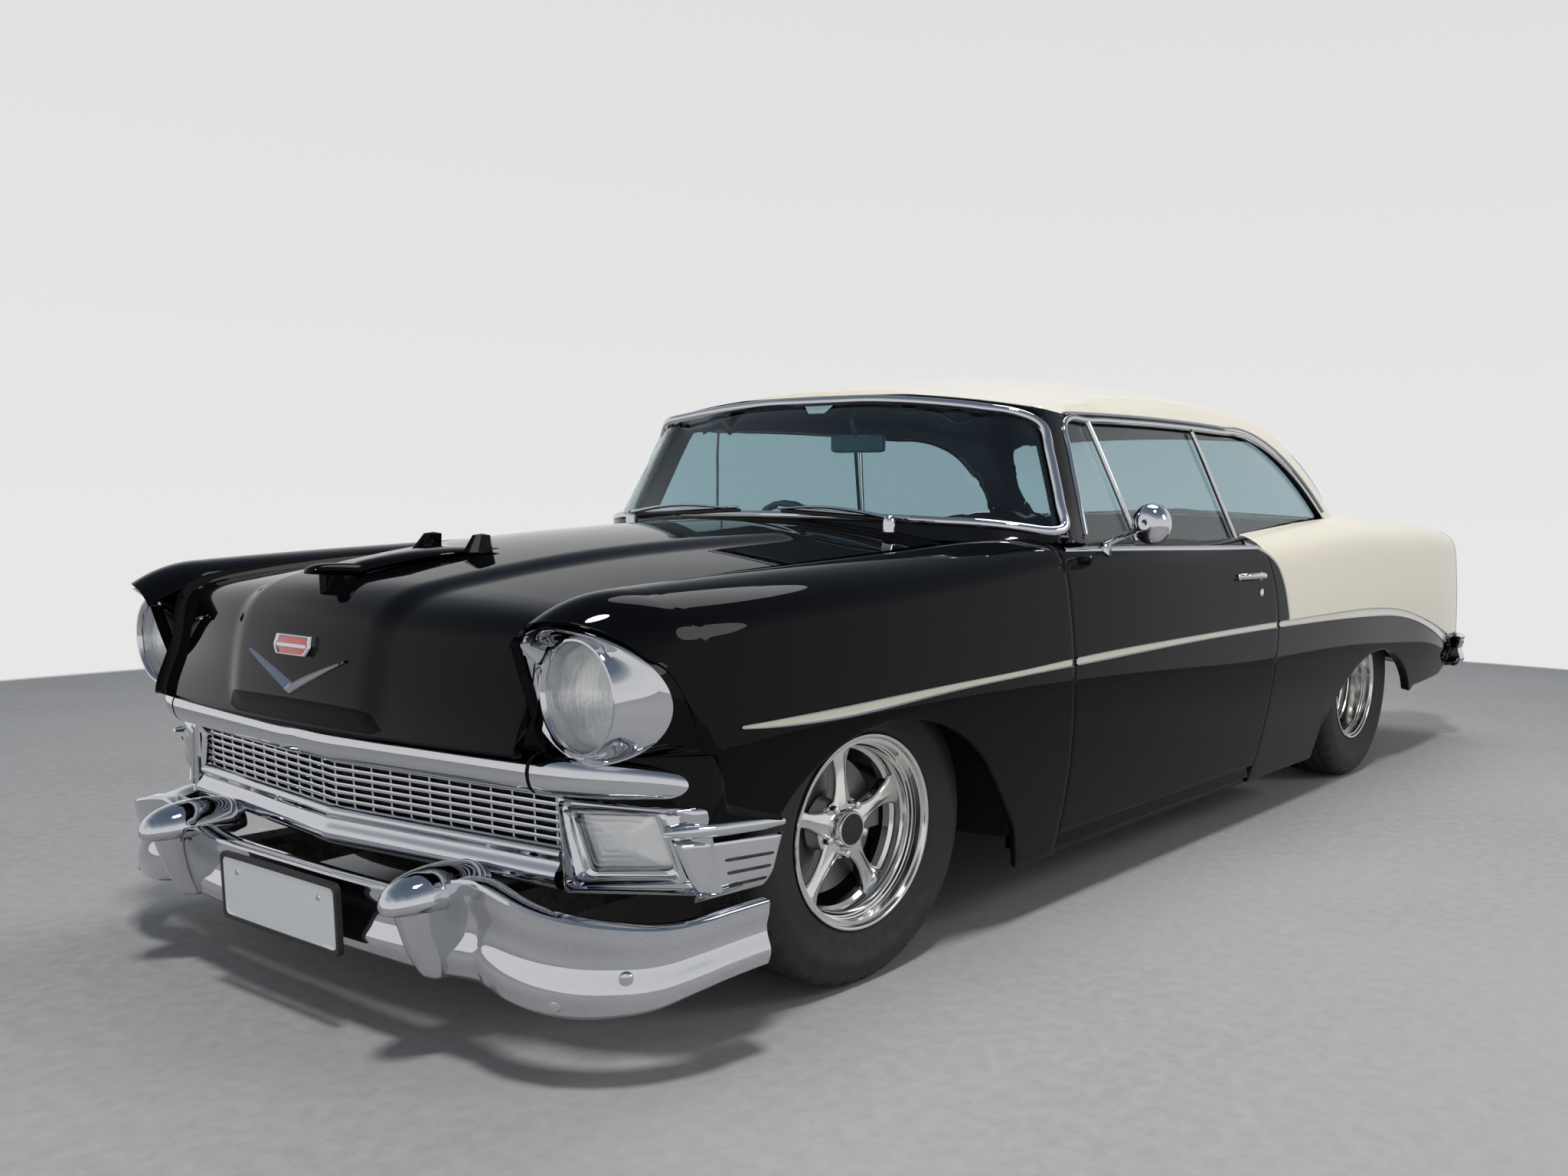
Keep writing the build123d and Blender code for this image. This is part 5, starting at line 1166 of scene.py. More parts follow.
def belt_bead(stations, height, half, proud):
    """Half-round bead laid level along the body side."""
    across_bead = np.linspace(-1, 1, 9)[:, None]
    lift = np.repeat(proud * np.sqrt(np.maximum(1 - across_bead ** 2, 0)), len(stations), 1)
    return Shape().add(on_side(stations, height + across_bead * half, lift), flip=True)


wing_moulding = moulding(-0.459, WING_END_S - 0.010, 120, True)
door_trim = moulding(DOOR_FRONT_S + 0.004, 1.894, 90)
quarter_trim = moulding(1.916, 3.862, 140)
tangent = unit(np.gradient(COLOUR_BORDER, axis=0))
border_rows = [on_side(COLOUR_BORDER[:, 0] - tangent[:, 1] * offset,
                       (COLOUR_BORDER[:, 1] + tangent[:, 0] * offset)[None], np.full((1, 60), proud))[0]
               for offset, proud in ((-0.005, 0.0), (-0.0035, 0.003), (0.0, 0.0045), (0.0035, 0.003), (0.005, 0.0))]
border_shape = Shape().add(np.stack(border_rows))

belt_shape = belt_bead(np.linspace(0.700, 1.842, 60), 0.9155, 0.006, 0.005)


def handle():
    """Door handle: a bowed grip on two feet, the rear one wider, and the lock below."""
    def spots(height, *stations):
        return on_side(np.array(stations), np.full((1, len(stations)), height), np.zeros((1, len(stations))))[0]

    grip = spots(0.826, 1.650, 1.670, 1.760, 1.800)[[0, 0, 1, 2, 3, 3]] + (
        (0.002, 0, 0), (0.020, 0.008, 0.002), (0.030, 0.02, 0.003), (0.030, -0.01, 0.003), (0.018, -0.008, 0.001),
        (0.002, 0, 0))
    shape = Shape().add(tube(curve(grip, 40), 0.0085, 14, squeeze=(0.8, 1.15)), ring=True)
    angle = round_turn(25)
    foot_rows = ((1.0, -0.002), (1.0, 0.003), (0.75, 0.006), (0.0, 0.007))
    lock_rows = ((1.0, -0.002), (1.0, 0.002), (0.85, 0.004), (0.35, 0.0045), (0.0, 0.0035))
    for station, height, reach, squash, rows in ((1.650, 0.826, 0.014, 0.8, foot_rows),
                                                 (1.802, 0.826, 0.017, 0.8, foot_rows),
                                                 (1.795, 0.775, 0.013, 1.0, lock_rows)):
        size, rise = np.array(rows).T[..., None]
        rings = np.broadcast_arrays(rise, reach * size * np.cos(angle), reach * size * squash * np.sin(angle))
        shape.add(spots(height, station)[0] + np.stack(rings, -1), flip=True)
    return shape


handle_shape = handle()

# gravel shield behind the front bumper
SHIELD = ((-0.556, 0.424), (-0.324, 0.404), (-0.363, 0.305), (-0.510, 0.308))


def shield_point(u, v, lift):
    """Point of the shield's flat curve: u runs rearward and v down between its four corners, bowed out a little."""
    first, second, third, fourth = (np.array(corner) for corner in SHIELD)
    top = first + (second - first) * u[..., None]
    foot = fourth + (third - fourth) * u[..., None]
    flat = top + (foot - top) * v[..., None]
    x = 0.882 + 0.010 * clamp((flat[..., 0] + 0.52) / 0.18) ** 0.6 - 0.030 * clamp((0.345 - flat[..., 1]) / 0.05) ** 2
    return at(x - 0.25 * clamp(-0.500 - flat[..., 0]) + lift, flat[..., 0], flat[..., 1])


shield_u, shield_v = np.meshgrid(np.linspace(0, 1, 60), np.linspace(0, 1, 30))
shield_edge = np.minimum(np.minimum(shield_u, 1 - shield_u) / 0.03, np.minimum(shield_v, 1 - shield_v) / 0.05)
shield_grid = shield_point(shield_u, shield_v, 0.006 * np.sqrt(clamp(shield_edge)))
shield_shape = Shape().add(shield_grid)
slot_shape = Shape()
for row in (0.34, 0.56, 0.78):
    slot_u, slot_t = np.meshgrid(np.linspace(0.36 + 0.05 * row, 0.93, 40), np.linspace(-1, 1, 7))
    wide_here = 0.028 * np.sqrt(clamp(np.minimum((slot_u - 0.36) / 0.06, (0.935 - slot_u) / 0.03)))
    slot_shape.add(shield_point(slot_u, row + slot_t * wide_here, 0.0066 + 0.0006 * (1 - slot_t ** 2)))
rail_path = curve(at([0.862, 0.884, 0.893, 0.894], [-0.572, -0.520, -0.430, -0.322], [0.443, 0.440, 0.433, 0.424]), 40)
rail_scale = np.interp(np.linspace(0, 1, 40), [0, 0.2, 0.8, 1], [0.4, 1.0, 0.9, 0.5])
rail_shape = Shape().add(tube(rail_path, 0.0125 * rail_scale, 16, squeeze=(0.7, 1.0)), ring=True)

for title, shape in (("wing_moulding", wing_moulding), ("quarter_moulding", quarter_trim)):
    pair(title, shape, (chrome, cream_paint))
pair("door_moulding", door_trim, (chrome, cream_paint), body="door_{}")
pair("colour_break_bead", border_shape, chrome)
pair("belt_bead", belt_shape, chrome, body="door_{}")
pair("door_handle", handle_shape, chrome, body="door_{}")
pair("gravel_shield", shield_shape, chrome, outward=True)
pair("gravel_shield_slots", slot_shape, chassis_black, "frame")
pair("gravel_shield_rail", rail_shape, chrome)

# ---------------------------------------------------------------- window frames
CABIN = np.array((
    (0.900, 0.470, 0.625, 0.540, 0.858, 0.725, 0.812, 0.805, 2.730, 0.575, 2.925, 2.975),
    (1.100, 0.600, 0.592, 0.636, 0.776, 0.770, 0.750, 0.738, 2.650, 0.535, 2.800, 2.850),
    (1.290, 0.714, 0.560, 0.738, 0.694, 0.812, 0.690, 0.664, 2.400, 0.455, 2.560, 2.610),
    (1.480, 0.830, 0.520, 0.846, 0.606, 0.856, 0.602, 0.560, 1.980, 0.380, 2.160, 2.210),
))
CROWN = np.array(((0.400, 1.205, 1.262), (0.733, 1.262, 1.325), (1.100, 1.288, 1.400), (1.500, 1.304, 1.446),
                  (1.900, 1.308, 1.458), (2.250, 1.290, 1.436), (2.500, 1.240, 1.385), (2.780, 1.120, 1.270),
                  (3.060, 0.960, 1.110)))


def cabin_surface(go, height):
    """Points (x, station, height) of the cabin's side. Go runs 0 to 1 from the screen's middle to its bend, to 2 at the
    front pillar, to 3 at the rear pillar, to 4 at the rear bend and to 5 at the rear window's middle; each stretch is
    an arc of the outline at that height, and the outlines change smoothly with height.
    """
    go, height = np.broadcast_arrays(np.asarray(go, float), np.asarray(height, float))
    screen_s, bend_x, bend_s, corner_x, corner_s, side_x, back_x, back_s, rear_x, rear_s, rear_mid = np.moveaxis(
        spline(CABIN[:, 0], CABIN[:, 1:], height), -1, 0)

    def plan(x, station):
        return np.stack([x, station], -1)

    bend, corner = plan(bend_x, bend_s), plan(corner_x, corner_s)
    back, rear = plan(back_x, back_s), plan(rear_x, rear_s)
    bulge = plan(corner_x * 0.62 + bend_x * 0.38, corner_s * 0.38 + bend_s * 0.62 - 0.012)
    rear_bulge = plan(back_x * 0.7 + rear_x * 0.3, back_s * 0.4 + rear_s * 0.6 + 0.012)
    stretches = ((bend * (-1, 1), plan(0 * screen_s, screen_s), bend, 0.5 + go / 2), (bend, bulge, corner, go - 1),
                 (corner, plan(side_x, (corner_s + back_s) / 2), back, go - 2), (back, rear_bulge, rear, go - 3),
                 (rear, plan(0 * rear_mid, rear_mid), rear * (-1, 1), (go - 4) / 2))
    flat = np.zeros((*go.shape, 2))
    for number, (first, via, last, share) in enumerate(stretches):
        here = (go >= number) & ((go < number + 1) | (number == 4))
        flat = np.where(here[..., None], arc_at(first, via, last, clamp(share)), flat)
    return np.stack([flat[..., 0], FRONT_AXLE_Y + flat[..., 1], height], -1)


def crown_z(x, station):
    """Height of the roof's crown: an arc across the car through its named middle and edge heights."""
    edge, middle = np.moveaxis(spline(CROWN[:, 0], CROWN[:, 1:], station), -1, 0)
    rise = middle - (edge - 0.040)
    radius = (0.81 + rise ** 2) / (2 * rise)
    return middle - radius + np.sqrt(radius ** 2 - np.asarray(x) ** 2)


def side_reach(go, heights):
    """Station of the cabin's side at every go, one row for each height, never falling back."""
    return np.maximum.accumulate(cabin_surface(go, heights[:, None])[..., 1] - FRONT_AXLE_Y, axis=1)


def glass_line(stations, heights):
    """Points of the cabin's side at those stations and heights."""
    go = np.linspace(1.0, 4.0, 400)
    return cabin_surface(look_up(stations, side_reach(go, heights), go), heights)


def screen_line(go, low, high, line_s, line_z):
    """Points where the cabin's surface at each go crosses a line in side view, sought between two heights."""
    heights = np.linspace(low, high, 160)
    order = np.argsort(line_z)
    wanted = np.interp(heights, np.array(line_z)[order], np.array(line_s)[order])
    gap = cabin_surface(go[:, None], heights)[..., 1] - FRONT_AXLE_Y - wanted
    rising = gap * np.where(gap[:, -1:] > gap[:, :1], 1, -1)
    return cabin_surface(go, look_up(np.zeros(len(go)), rising, heights))


pillar_z = np.linspace(0.952, 1.244, 30)
pillar_line = glass_line(np.interp(pillar_z, (0.948, 1.256), (0.724, 0.794)), pillar_z)
foot_go = np.linspace(0.0, 1.75, 40)
foot_points = screen_line(foot_go, 0.948, 0.990, (0.500, 0.724), (0.987, 0.948))
foot_points = foot_points[foot_points[:, 1] - FRONT_AXLE_Y < 0.712]
top_go = np.linspace(1.30, 0.0, 26)
top_points = cabin_surface(top_go, np.full(26, 1.28))
top_height = np.minimum(1.302, crown_z(top_points[:, 0], top_points[:, 1] - FRONT_AXLE_Y) - 0.014)
top_points = cabin_surface(top_go, top_height)
screen_loop = curve(np.concatenate([foot_points[::2], pillar_line[2::4], top_points[1::3]]), 200)


def bright_frame(path, half=0.012, proud=0.008, inward=(0, 1.2, 0.9)):
    """Flat bright strip along a path on the cabin: a low bowed section whose back lies against the surface."""
    path = np.asarray(path, float)
    ahead = unit(np.gradient(path, axis=0))
    away = unit(path - np.array(inward))
    away = unit(away - ahead * (away * ahead).sum(-1, keepdims=True))
    sideways = np.cross(ahead, away)
    share = np.linspace(-1, 1, 9)[None, :, None]
    return path[:, None] + sideways[:, None] * share * half + away[:, None] * (proud * np.sqrt(1 - share ** 2) - 0.002)


frame_shape = Shape().add(bright_frame(screen_loop, 0.013, 0.011, (0, -0.4, 1.05)))
top_s = np.concatenate([arc((0.880, 1.250), (1.450, 1.277), (1.900, 1.286), np.linspace(0, 1, 40)),
                        arc((1.900, 1.286), (2.340, 1.215), (2.650, 0.975), np.linspace(0, 1, 50)[1:-3])])
side_top = glass_line(top_s[:, 0], top_s[:, 1])
front_edge_line = glass_line(np.linspace(0.810, 0.878, 20), np.linspace(0.950, 1.244, 20))
side_frame = Shape().add(bright_frame(curve(np.concatenate([front_edge_line[::3], side_top[1::3]]), 160), 0.009, 0.010,
                                      (0, -0.1, 1.05)))
drip_path = curve(side_top[::3] + (0.006, 0, 0.016), 120)
drip_shape = Shape().add(tube(drip_path, 0.0055, 10, squeeze=(1.3, 0.8)), ring=True)


def post(first, last, half=0.009, proud=0.007):
    """Upright glass channel between two (station, height) points on the cabin's side."""
    share = np.linspace(0, 1, 24)
    path = glass_line(first[0] + (last[0] - first[0]) * share, first[1] + (last[1] - first[1]) * share)
    return bright_frame(path, half, proud, (0, -0.1, 1.05))


vent_post = Shape().add(post((1.098, 0.938), (1.006, 1.253)))
quarter_post = Shape().add(post((1.797, 0.936), (1.652, 1.272), 0.008, 0.007))
for title, shape in (("windscreen_frame", frame_shape), ("side_window_frame", side_frame), ("drip_rail", drip_shape)):
    pair(title, shape, chrome)
pair("vent_post", vent_post, chrome, body="door_{}")
pair("quarter_post", quarter_post, chrome, body="door_{}")

# ---------------------------------------------------------------- fittings on the hood and round the screen
hood_rows = hood_grid.transpose(1, 0, 2) - (0, FRONT_AXLE_Y, 0)
hood_middle = hood_rows[:, len(across) // 2]
nose_rows = hood_rows[hood_middle[:, 1] < -0.30][::-1]
top_rows = hood_rows[hood_middle[:, 2] > 0.80]
top_rows = top_rows[np.argsort(top_rows[:, len(across) // 2, 1])]


def read_hood(rows, known, sought, x, values):
    """Coordinate number sought of the hood at those x, where coordinate number known has the values: read along each
    column of rows, which rise in the known one, and then straight between two columns.
    """
    columns = np.stack([np.interp(values.ravel(), column[:, known], column[:, sought])
                        for column in rows.transpose(1, 0, 2)])
    place = np.clip(np.searchsorted(across, x.ravel()) - 1, 0, len(across) - 2)
    share = (x.ravel() - across[place]) / (across[1] - across[0])
    picks = np.arange(x.size)
    return (columns[place, picks] * (1 - share) + columns[place + 1, picks] * share).reshape(x.shape)


def on_hood(x, height, lift):
    """Points on the hood's nose at those x and heights, stood off forward by lift."""
    x, height, lift = np.broadcast_arrays(x, height, lift)
    return at(x, read_hood(nose_rows, 2, 1, x, height) - lift, height)


def hood_height(x, station):
    """Height of the hood's top at those x and stations."""
    return read_hood(top_rows, 1, 2, *np.broadcast_arrays(x, station))


def vee(reach, tip_z, rise, tall):
    """Bright V on the nose: two arms that narrow outward, each with a ridge down its middle."""
    along, across_arm = np.meshgrid(np.linspace(-1, 1, 81), np.linspace(-1, 1, 11))
    half = tall * (1 - 0.80 * np.abs(along) ** 1.2)
    lift = 0.002 + (0.004 + 0.008 * (1 - np.abs(along))) * (1 - np.abs(across_arm))
    lift = np.where(np.abs(across_arm) > 0.99, -0.001, lift)
    height = tip_z + rise * np.abs(along) ** 0.92 + half * across_arm
    return Shape().add(on_hood(reach * along, height, lift), flip=True)


CREST_X, CREST_Z, CREST_MIDDLE = 0.066, 0.0195, 0.716


def crest():
    """Plain crest: a shield outline of flat top and tapered foot, a bright rim round enamel with a bright band."""
    angle = round_turn(97)[None]
    share = np.array([1.0, 1.0, 0.94, 0.86, 0.84, 0.5, 0.0])[:, None]
    lift = np.array([-0.001, 0.008, 0.0105, 0.0100, 0.0075, 0.0085, 0.009])[:, None]
    flat_x = np.clip(np.cos(angle) * 1.45, -1, 1)
    flat_z = np.clip(np.sin(angle) * 1.45, -1, 1)
    flat_x = flat_x * (1 - 0.22 * clamp(-flat_z) ** 1.5) * (1 - 0.05 * clamp(flat_z))
    grid = on_hood(CREST_X * share * flat_x, CREST_MIDDLE + CREST_Z * share * flat_z, lift)
    shape = Shape().add(grid[:5], flip=True).add(grid[4:], flip=True, mark=1)
    band_x, band_z = np.meshgrid(np.linspace(-0.80, 0.80, 24), np.linspace(-0.20, 0.12, 6))
    return shape.add(on_hood(CREST_X * band_x, CREST_MIDDLE + CREST_Z * band_z, 0.0098), flip=True)


piece("nose_vee", vee(0.172, 0.632, 0.064, 0.0115), chrome, body="hood")
piece("nose_crest", crest(), (chrome, enamel_red), body="hood")


def wiper(first, last):
    """Wiper: a domed pivot, a tapered arm that rises from it and lies along the glass, and a blade with its rubber."""
    bright, dark = Shape(), Shape()
    first, last = np.array(first), np.array(last)
    angle = round_turn(25)[None]
    size = np.array([1.15, 1.15, 1.0, 0.8, 0.4, 0.0])[:, None] * 0.014
    rise = np.array([-0.020, 0.004, 0.012, 0.018, 0.021, 0.022])[:, None]
    bright.add(at(first[0] + size * np.cos(angle), first[1] - 0.012 + size * np.sin(angle), first[2] + rise))
    share = np.linspace(0, 1, 40)
    path = at(first[0] + (last[0] - first[0]) * share,
              first[1] - 0.012 + (last[1] - first[1]) * share - 0.010 * np.sin(math.pi * share),
              first[2] + 0.014 + (last[2] - first[2]) * share + 0.014 * np.sin(math.pi * share))
    bright.add(tube(path, np.interp(share, (0, 0.1, 1), (0.0095, 0.0075, 0.0045)), 10, squeeze=(1.0, 0.7)),
               ring=True)
    middle, reach = (first + last) / 2 + (0, 0.010, 0.012), 0.62
    ends = middle + (last - first) * np.array([[-reach], [reach * 0.9]])
    blade = at(*(ends[0] + (ends[1] - ends[0]) * share[:, None]).T)
    bright.add(tube(blade + (0, -0.003, 0.004), 0.0046, 8), ring=True)
    dark.add(tube(blade + (0, 0.006, -0.004), 0.0034, 8, squeeze=(0.6, 1.3)), ring=True)
    return bright, dark


for side, word in SIDES:
    bright, dark = wiper((side * 0.478, 0.476, 0.968), (0.110 if side > 0 else -0.085, 0.470, 0.986))
    piece(f"wiper_arm.{word}", bright, chrome, outward=True)
    piece(f"wiper_rubber.{word}", dark, black_rubber, "frame", outward=True)

mirror_turn = round_turn(65)
size, station = np.array(((0.0, 0.880), (0.85, 0.879), (0.97, 0.882), (1.0, 0.888), (0.96, 0.896), (0.90, 0.898),
                          (0.0, 0.8985))).T[..., None]
inside_mirror = Shape().add(at(0.102 * size * np.clip(1.25 * np.cos(mirror_turn), -1, 1), station,
                               1.196 + 0.027 * size * np.clip(1.35 * np.sin(mirror_turn), -1, 1)))
inside_mirror.add(tube(curve(at(0.0, [0.884, 0.872, 0.862, 0.872], [1.212, 1.235, 1.268, 1.290]), 24), 0.006, 10),
                  ring=True)
piece("inside_mirror", inside_mirror, teal_plastic, outward=True)

# ---------------------------------------------------------------- rear window trim
foot_go = np.linspace(5.0, 3.7, 50)
foot_z = np.interp(foot_go, (3.7, 4.0, 5.0), (1.012, 1.016, 1.042))
rear_foot = cabin_surface(foot_go, foot_z)
rear_foot = rear_foot[rear_foot[:, 1] - FRONT_AXLE_Y > 2.822]
rise_z = np.linspace(1.016, 1.284, 30)
rise_s = np.interp(rise_z, (1.012, 1.290), (2.815, 2.500))
far_go = np.linspace(2.0, 5.0, 500)
rear_rise = cabin_surface(look_up(rise_s, side_reach(far_go, rise_z), far_go), rise_z)
top_x = np.linspace(rear_rise[-1, 0] - 0.03, 0.0, 24)
top_s = 2.575 - 0.070 * (top_x / rear_rise[-1, 0]) ** 2
rear_top = at(top_x, top_s, crown_z(top_x, top_s) - 0.004)
rear_loop = curve(np.concatenate([rear_foot[::4], rear_rise[1::4], rear_top[2::4], rear_top[-1:]]), 180)
rear_trim = Shape().add(bright_frame(rear_loop, 0.012, 0.009, (0, 0.2, 0.9)))
pair("rear_window_frame", rear_trim, chrome)


# ---------------------------------------------------------------- hood ornament
def ornament():
    """Hood ornament: a dart whose flattened sections widen from its tip to two swept wings that hug the hood, a fin on
    each wing, and a keel that drops from under the tip on to the nose.
    """
    shape = Shape()
    fine = np.linspace(0, 1, 70)
    station = spline((0.0, 0.05, 0.15, 0.60, 1.0), (-0.690, -0.684, -0.655, -0.490, -0.350), fine)
    half = spline((0.0, 0.03, 0.10, 0.35, 0.60, 0.80, 0.95, 1.0),
                  (0.002, 0.011, 0.019, 0.032, 0.048, 0.074, 0.104, 0.108), fine)
    thick = spline((0.0, 0.05, 0.2, 0.6, 1.0), (0.002, 0.012, 0.024, 0.024, 0.010), fine)
    loop = round_turn(49)[None]
    flat_x = half[:, None] * np.sign(np.cos(loop)) * np.abs(np.cos(loop)) ** 0.85
    back = station[:, None] - 0.034 * clamp((fine[:, None] - 0.84) / 0.16) \
        * (1 - np.abs(flat_x) / half[:, None]) ** 1.2
    rest = np.maximum(hood_height(flat_x, back), 0.850 - 0.02 * fine[:, None])
    height = rest + 0.001 + thick[:, None] * np.where(np.sin(loop) > 0, 0.45 + 0.55 * np.abs(np.sin(loop)) ** 1.3,
                                                      0.45 - 0.45 * np.abs(np.sin(loop)) ** 1.3)
    shape.add(at(flat_x, back, height))
    shape.add(np.stack([at(flat_x[-1], back[-1], height[-1]),
                        np.broadcast_to(at(0.0, back[-1].mean(), height[-1].mean()), (49, 3))]))
    climb, around = np.meshgrid(np.linspace(0, 1, 14), round_turn(33), indexing="ij")
    top = clamp((1.0 - climb) / 0.06) ** 0.4
    foot = float(hood_height([0.092], [-0.385])[0])
    for side in (1, -1):
        shape.add(at(side * (0.092 - 0.006 * climb) + 0.0065 * (1 - 0.5 * climb) * top * np.sin(around),
                     -0.388 + 0.014 * climb + 0.034 * (1 - 0.45 * climb) * top * np.cos(around),
                     foot + 0.004 + 0.038 * climb), flip=side > 0)
    drop, around = np.meshgrid(np.linspace(0, 1, 16), round_turn(33), indexing="ij")
    return shape.add(at(0.011 * (1 - 0.35 * drop) * np.sin(around),
                        -0.612 - 0.030 * drop + (0.052 - 0.030 * drop) * np.cos(around), 0.862 - 0.066 * drop))


piece("hood_ornament_dart", ornament(), black_paint, "hood_ornament", "hood", True, outward=True)


# ---------------------------------------------------------------- tail
def quarter_end():
    """End face of a quarter: its outer edge is the panel's last column, its inner edge stands beside the trunk lid."""
    outer = polyline(quarter_grid[:, -1] + (0, 0.010, 0), 60)
    inner = at(SEAM_X - 0.004, outer[:, 1] - FRONT_AXLE_Y, outer[:, 2])
    share = ease(24)[:, None, None]
    grid = outer[None] * (1 - share) + inner[None] * share
    grid[..., 1] += 0.006 * np.sin(math.pi * share[..., 0]) ** 0.5
    return grid


def round_rows(x, height, rows, squeeze=1.0):
    """Rings facing rearward round (x, height), each a (radius, station) of rows; the height is drawn out by squeeze."""
    angle = round_turn(65)
    radius, station = np.array(rows, float).T[..., None]
    return at(x + radius * np.cos(angle), station, height + squeeze * radius * np.sin(angle))


LAMP_S = TAIL_S + 0.006


def lamp_ring(x, height, squeeze, *rows):
    """Bright ring round a rear lamp, from the radius of each of its rows and how far it stands behind the panel."""
    return round_rows(x, height, np.array(rows) + (0, LAMP_S), squeeze)


def ribbed_lens(x, height, squeeze, radius, count, dome, ripple, waves):
    """Lens of a rear lamp: a dome of rings whose rise carries a fine ripple."""
    size = np.linspace(radius, 0.0, count)
    rise = LAMP_S + 0.004 + dome * (1 - (size / radius) ** 2) + ripple * np.sin(size * waves)
    return Shape().add(round_rows(x, height, np.stack([size, rise], -1), squeeze), flip=True)


# x, height and how far the lamp is drawn out upward
TAIL_LAMP, REVERSING_LAMP = (0.782, 0.800, 1.35), (0.792, 0.660, 1.0)
tail_ring = Shape()
tail_ring.add(lamp_ring(*TAIL_LAMP, (0.058, -0.008), (0.057, 0.006), (0.054, 0.012), (0.050, 0.014), (0.047, 0.012),
                        (0.0455, 0.004)), flip=True)
tail_ring.add(lamp_ring(*REVERSING_LAMP, (0.034, -0.008), (0.033, 0.005), (0.031, 0.009), (0.028, 0.010),
                        (0.0265, 0.004)), flip=True)
for end in pair("quarter_end", Shape().add(quarter_end()), two_tone, "rear_quarter_{}"):
    mark_points(end.data, "border", point_places(end.data)[:, 2] - np.float32(0.500))
pair("tail_lamp_ring", tail_ring, chrome, "rear_bumper")
pair("tail_lamp_lens", ribbed_lens(*TAIL_LAMP, 0.0465, 26, 0.016, 0.0012, 900), red_lens, "tail_lamps",
     instead=True)
pair("reversing_lens", ribbed_lens(*REVERSING_LAMP, 0.027, 16, 0.008, 0.0008, 1500), reflector, "tail_lamps")

rear_half = curve(at([0.0, 0.350, 0.600, 0.760, 0.850, 0.902, 0.924, 0.930, 0.930],
                     [4.2155, 4.2095, 4.198, 4.186, 4.168, 4.140, 4.100, 4.050, 4.000], 0.0), 90)[:, :2]
REAR_TOP = ((0, 0.520), (0.30, 0.520), (0.42, 0.545), (0.52, 0.558), (0.64, 0.545), (0.80, 0.515), (0.93, 0.500))
REAR_FOOT = ((0, 0.350), (0.40, 0.350), (0.52, 0.340), (0.66, 0.331), (0.80, 0.336), (0.93, 0.360))
piece("rear_bumper_blade", blade(rear_half - (0, FRONT_AXLE_Y), REAR_TOP, REAR_FOOT, -1)[0], chrome, "rear_bumper",
      instead=True)

deck_handle = Shape()
deck_handle.add(round_rows(0.0, 0.742, ((0.030, TAIL_S - 0.006), (0.029, TAIL_S + 0.003), (0.024, TAIL_S + 0.009),
                                        (0.012, TAIL_S + 0.012), (0.0, TAIL_S + 0.0125)), 0.62), flip=True)
deck_wings, deck_rise = np.meshgrid(np.linspace(-1, 1, 61), np.linspace(-1, 1, 9))
deck_handle.add(at(0.170 * deck_wings, TAIL_S - 0.004 + 0.008 * (1 - np.abs(deck_rise)),
                   0.715 + 0.055 * np.abs(deck_wings) ** 0.95 + 0.009 * (1 - 0.8 * np.abs(deck_wings)) * deck_rise))
piece("trunk_lid_vee", deck_handle, chrome, "rear_bumper", "trunk_lid")


# ---------------------------------------------------------------- wheels and tyres
def lathe(profile, centre, around=160):
    """Rings of (outward, radius) offsets turned about the wheel's level axis."""
    profile = np.asarray(profile, float)
    angle = round_turn(around, False)
    return np.stack([np.repeat(centre[0] + profile[:, :1], around, 1), centre[1] + profile[:, 1:] * np.cos(angle),
                     centre[2] + profile[:, 1:] * np.sin(angle)], -1)


def tyre(radius, width, rim_width, centre):
    """Tyre: a rounded section turned about the axle, its tread cut by round grooves and slanted slots."""
    bead = rim_width / 2 - 0.0094
    middle = (radius + 0.208) / 2
    wall = curve(((bead - 0.004, 0.2035), (bead + 0.004, 0.2105), (bead + 0.010, 0.222),
                  (width / 2 - 0.006, middle - 0.018), (width / 2 - 0.0005, middle + 0.006),
                  (width * 0.485, radius - 0.040), (width * 0.452, radius - 0.020), (width * 0.415, radius - 0.009),
                  (width * 0.37, radius - 0.0035), (width * 0.30, radius - 0.0008)), 32)
    place = np.arange(32)
    wall[:, 1] += 0.0012 * np.exp(-((place - 8) / 1.0) ** 2) + 0.0010 * np.exp(-((place - 18) / 0.8) ** 2)
    tread_x = np.linspace(-wall[-1, 0], wall[-1, 0], 33)[1:-1]
    tread = np.stack([tread_x, radius - 0.0008 * (tread_x / wall[-1, 0]) ** 2], -1)
    profile = np.concatenate([wall * (-1, 1), tread, wall[::-1]])
    around = 288
    share = profile[:, 0] / (width / 2)
    angle = round_turn(around, False)
    grooves = np.zeros(len(profile))
    for middle in (-0.52, -0.18, 0.18, 0.52):
        grooves = np.maximum(grooves, clamp(1.6 - np.abs(share - middle) / 0.032))
    slant = np.sign(share) * 0.045 * np.abs(share)
    wave = np.cos(36 * (angle[None] + slant[:, None]))
    slots = clamp((wave - 0.72) * 6) * (np.abs(share) > 0.56)[:, None] * (np.abs(share) < 0.93)[:, None]
    sipes = clamp((np.cos(48 * (angle[None] - 1.6 * slant[:, None])) - 0.86) * 7)
    sipes *= ((np.abs(share) < 0.50) & (np.abs(share) > 0.20))[:, None]
    on_tread = (profile[:, 1] > radius - 0.016)[:, None]
    cut = 0.0055 * np.maximum(np.maximum(grooves[:, None], slots * 0.8), sipes * 0.6) * on_tread
    radial = np.stack([np.zeros(around), np.cos(angle), np.sin(angle)], -1)
    return Shape().add(lathe(profile, centre, around) - radial[None] * cut[..., None], ring=True, flip=True)


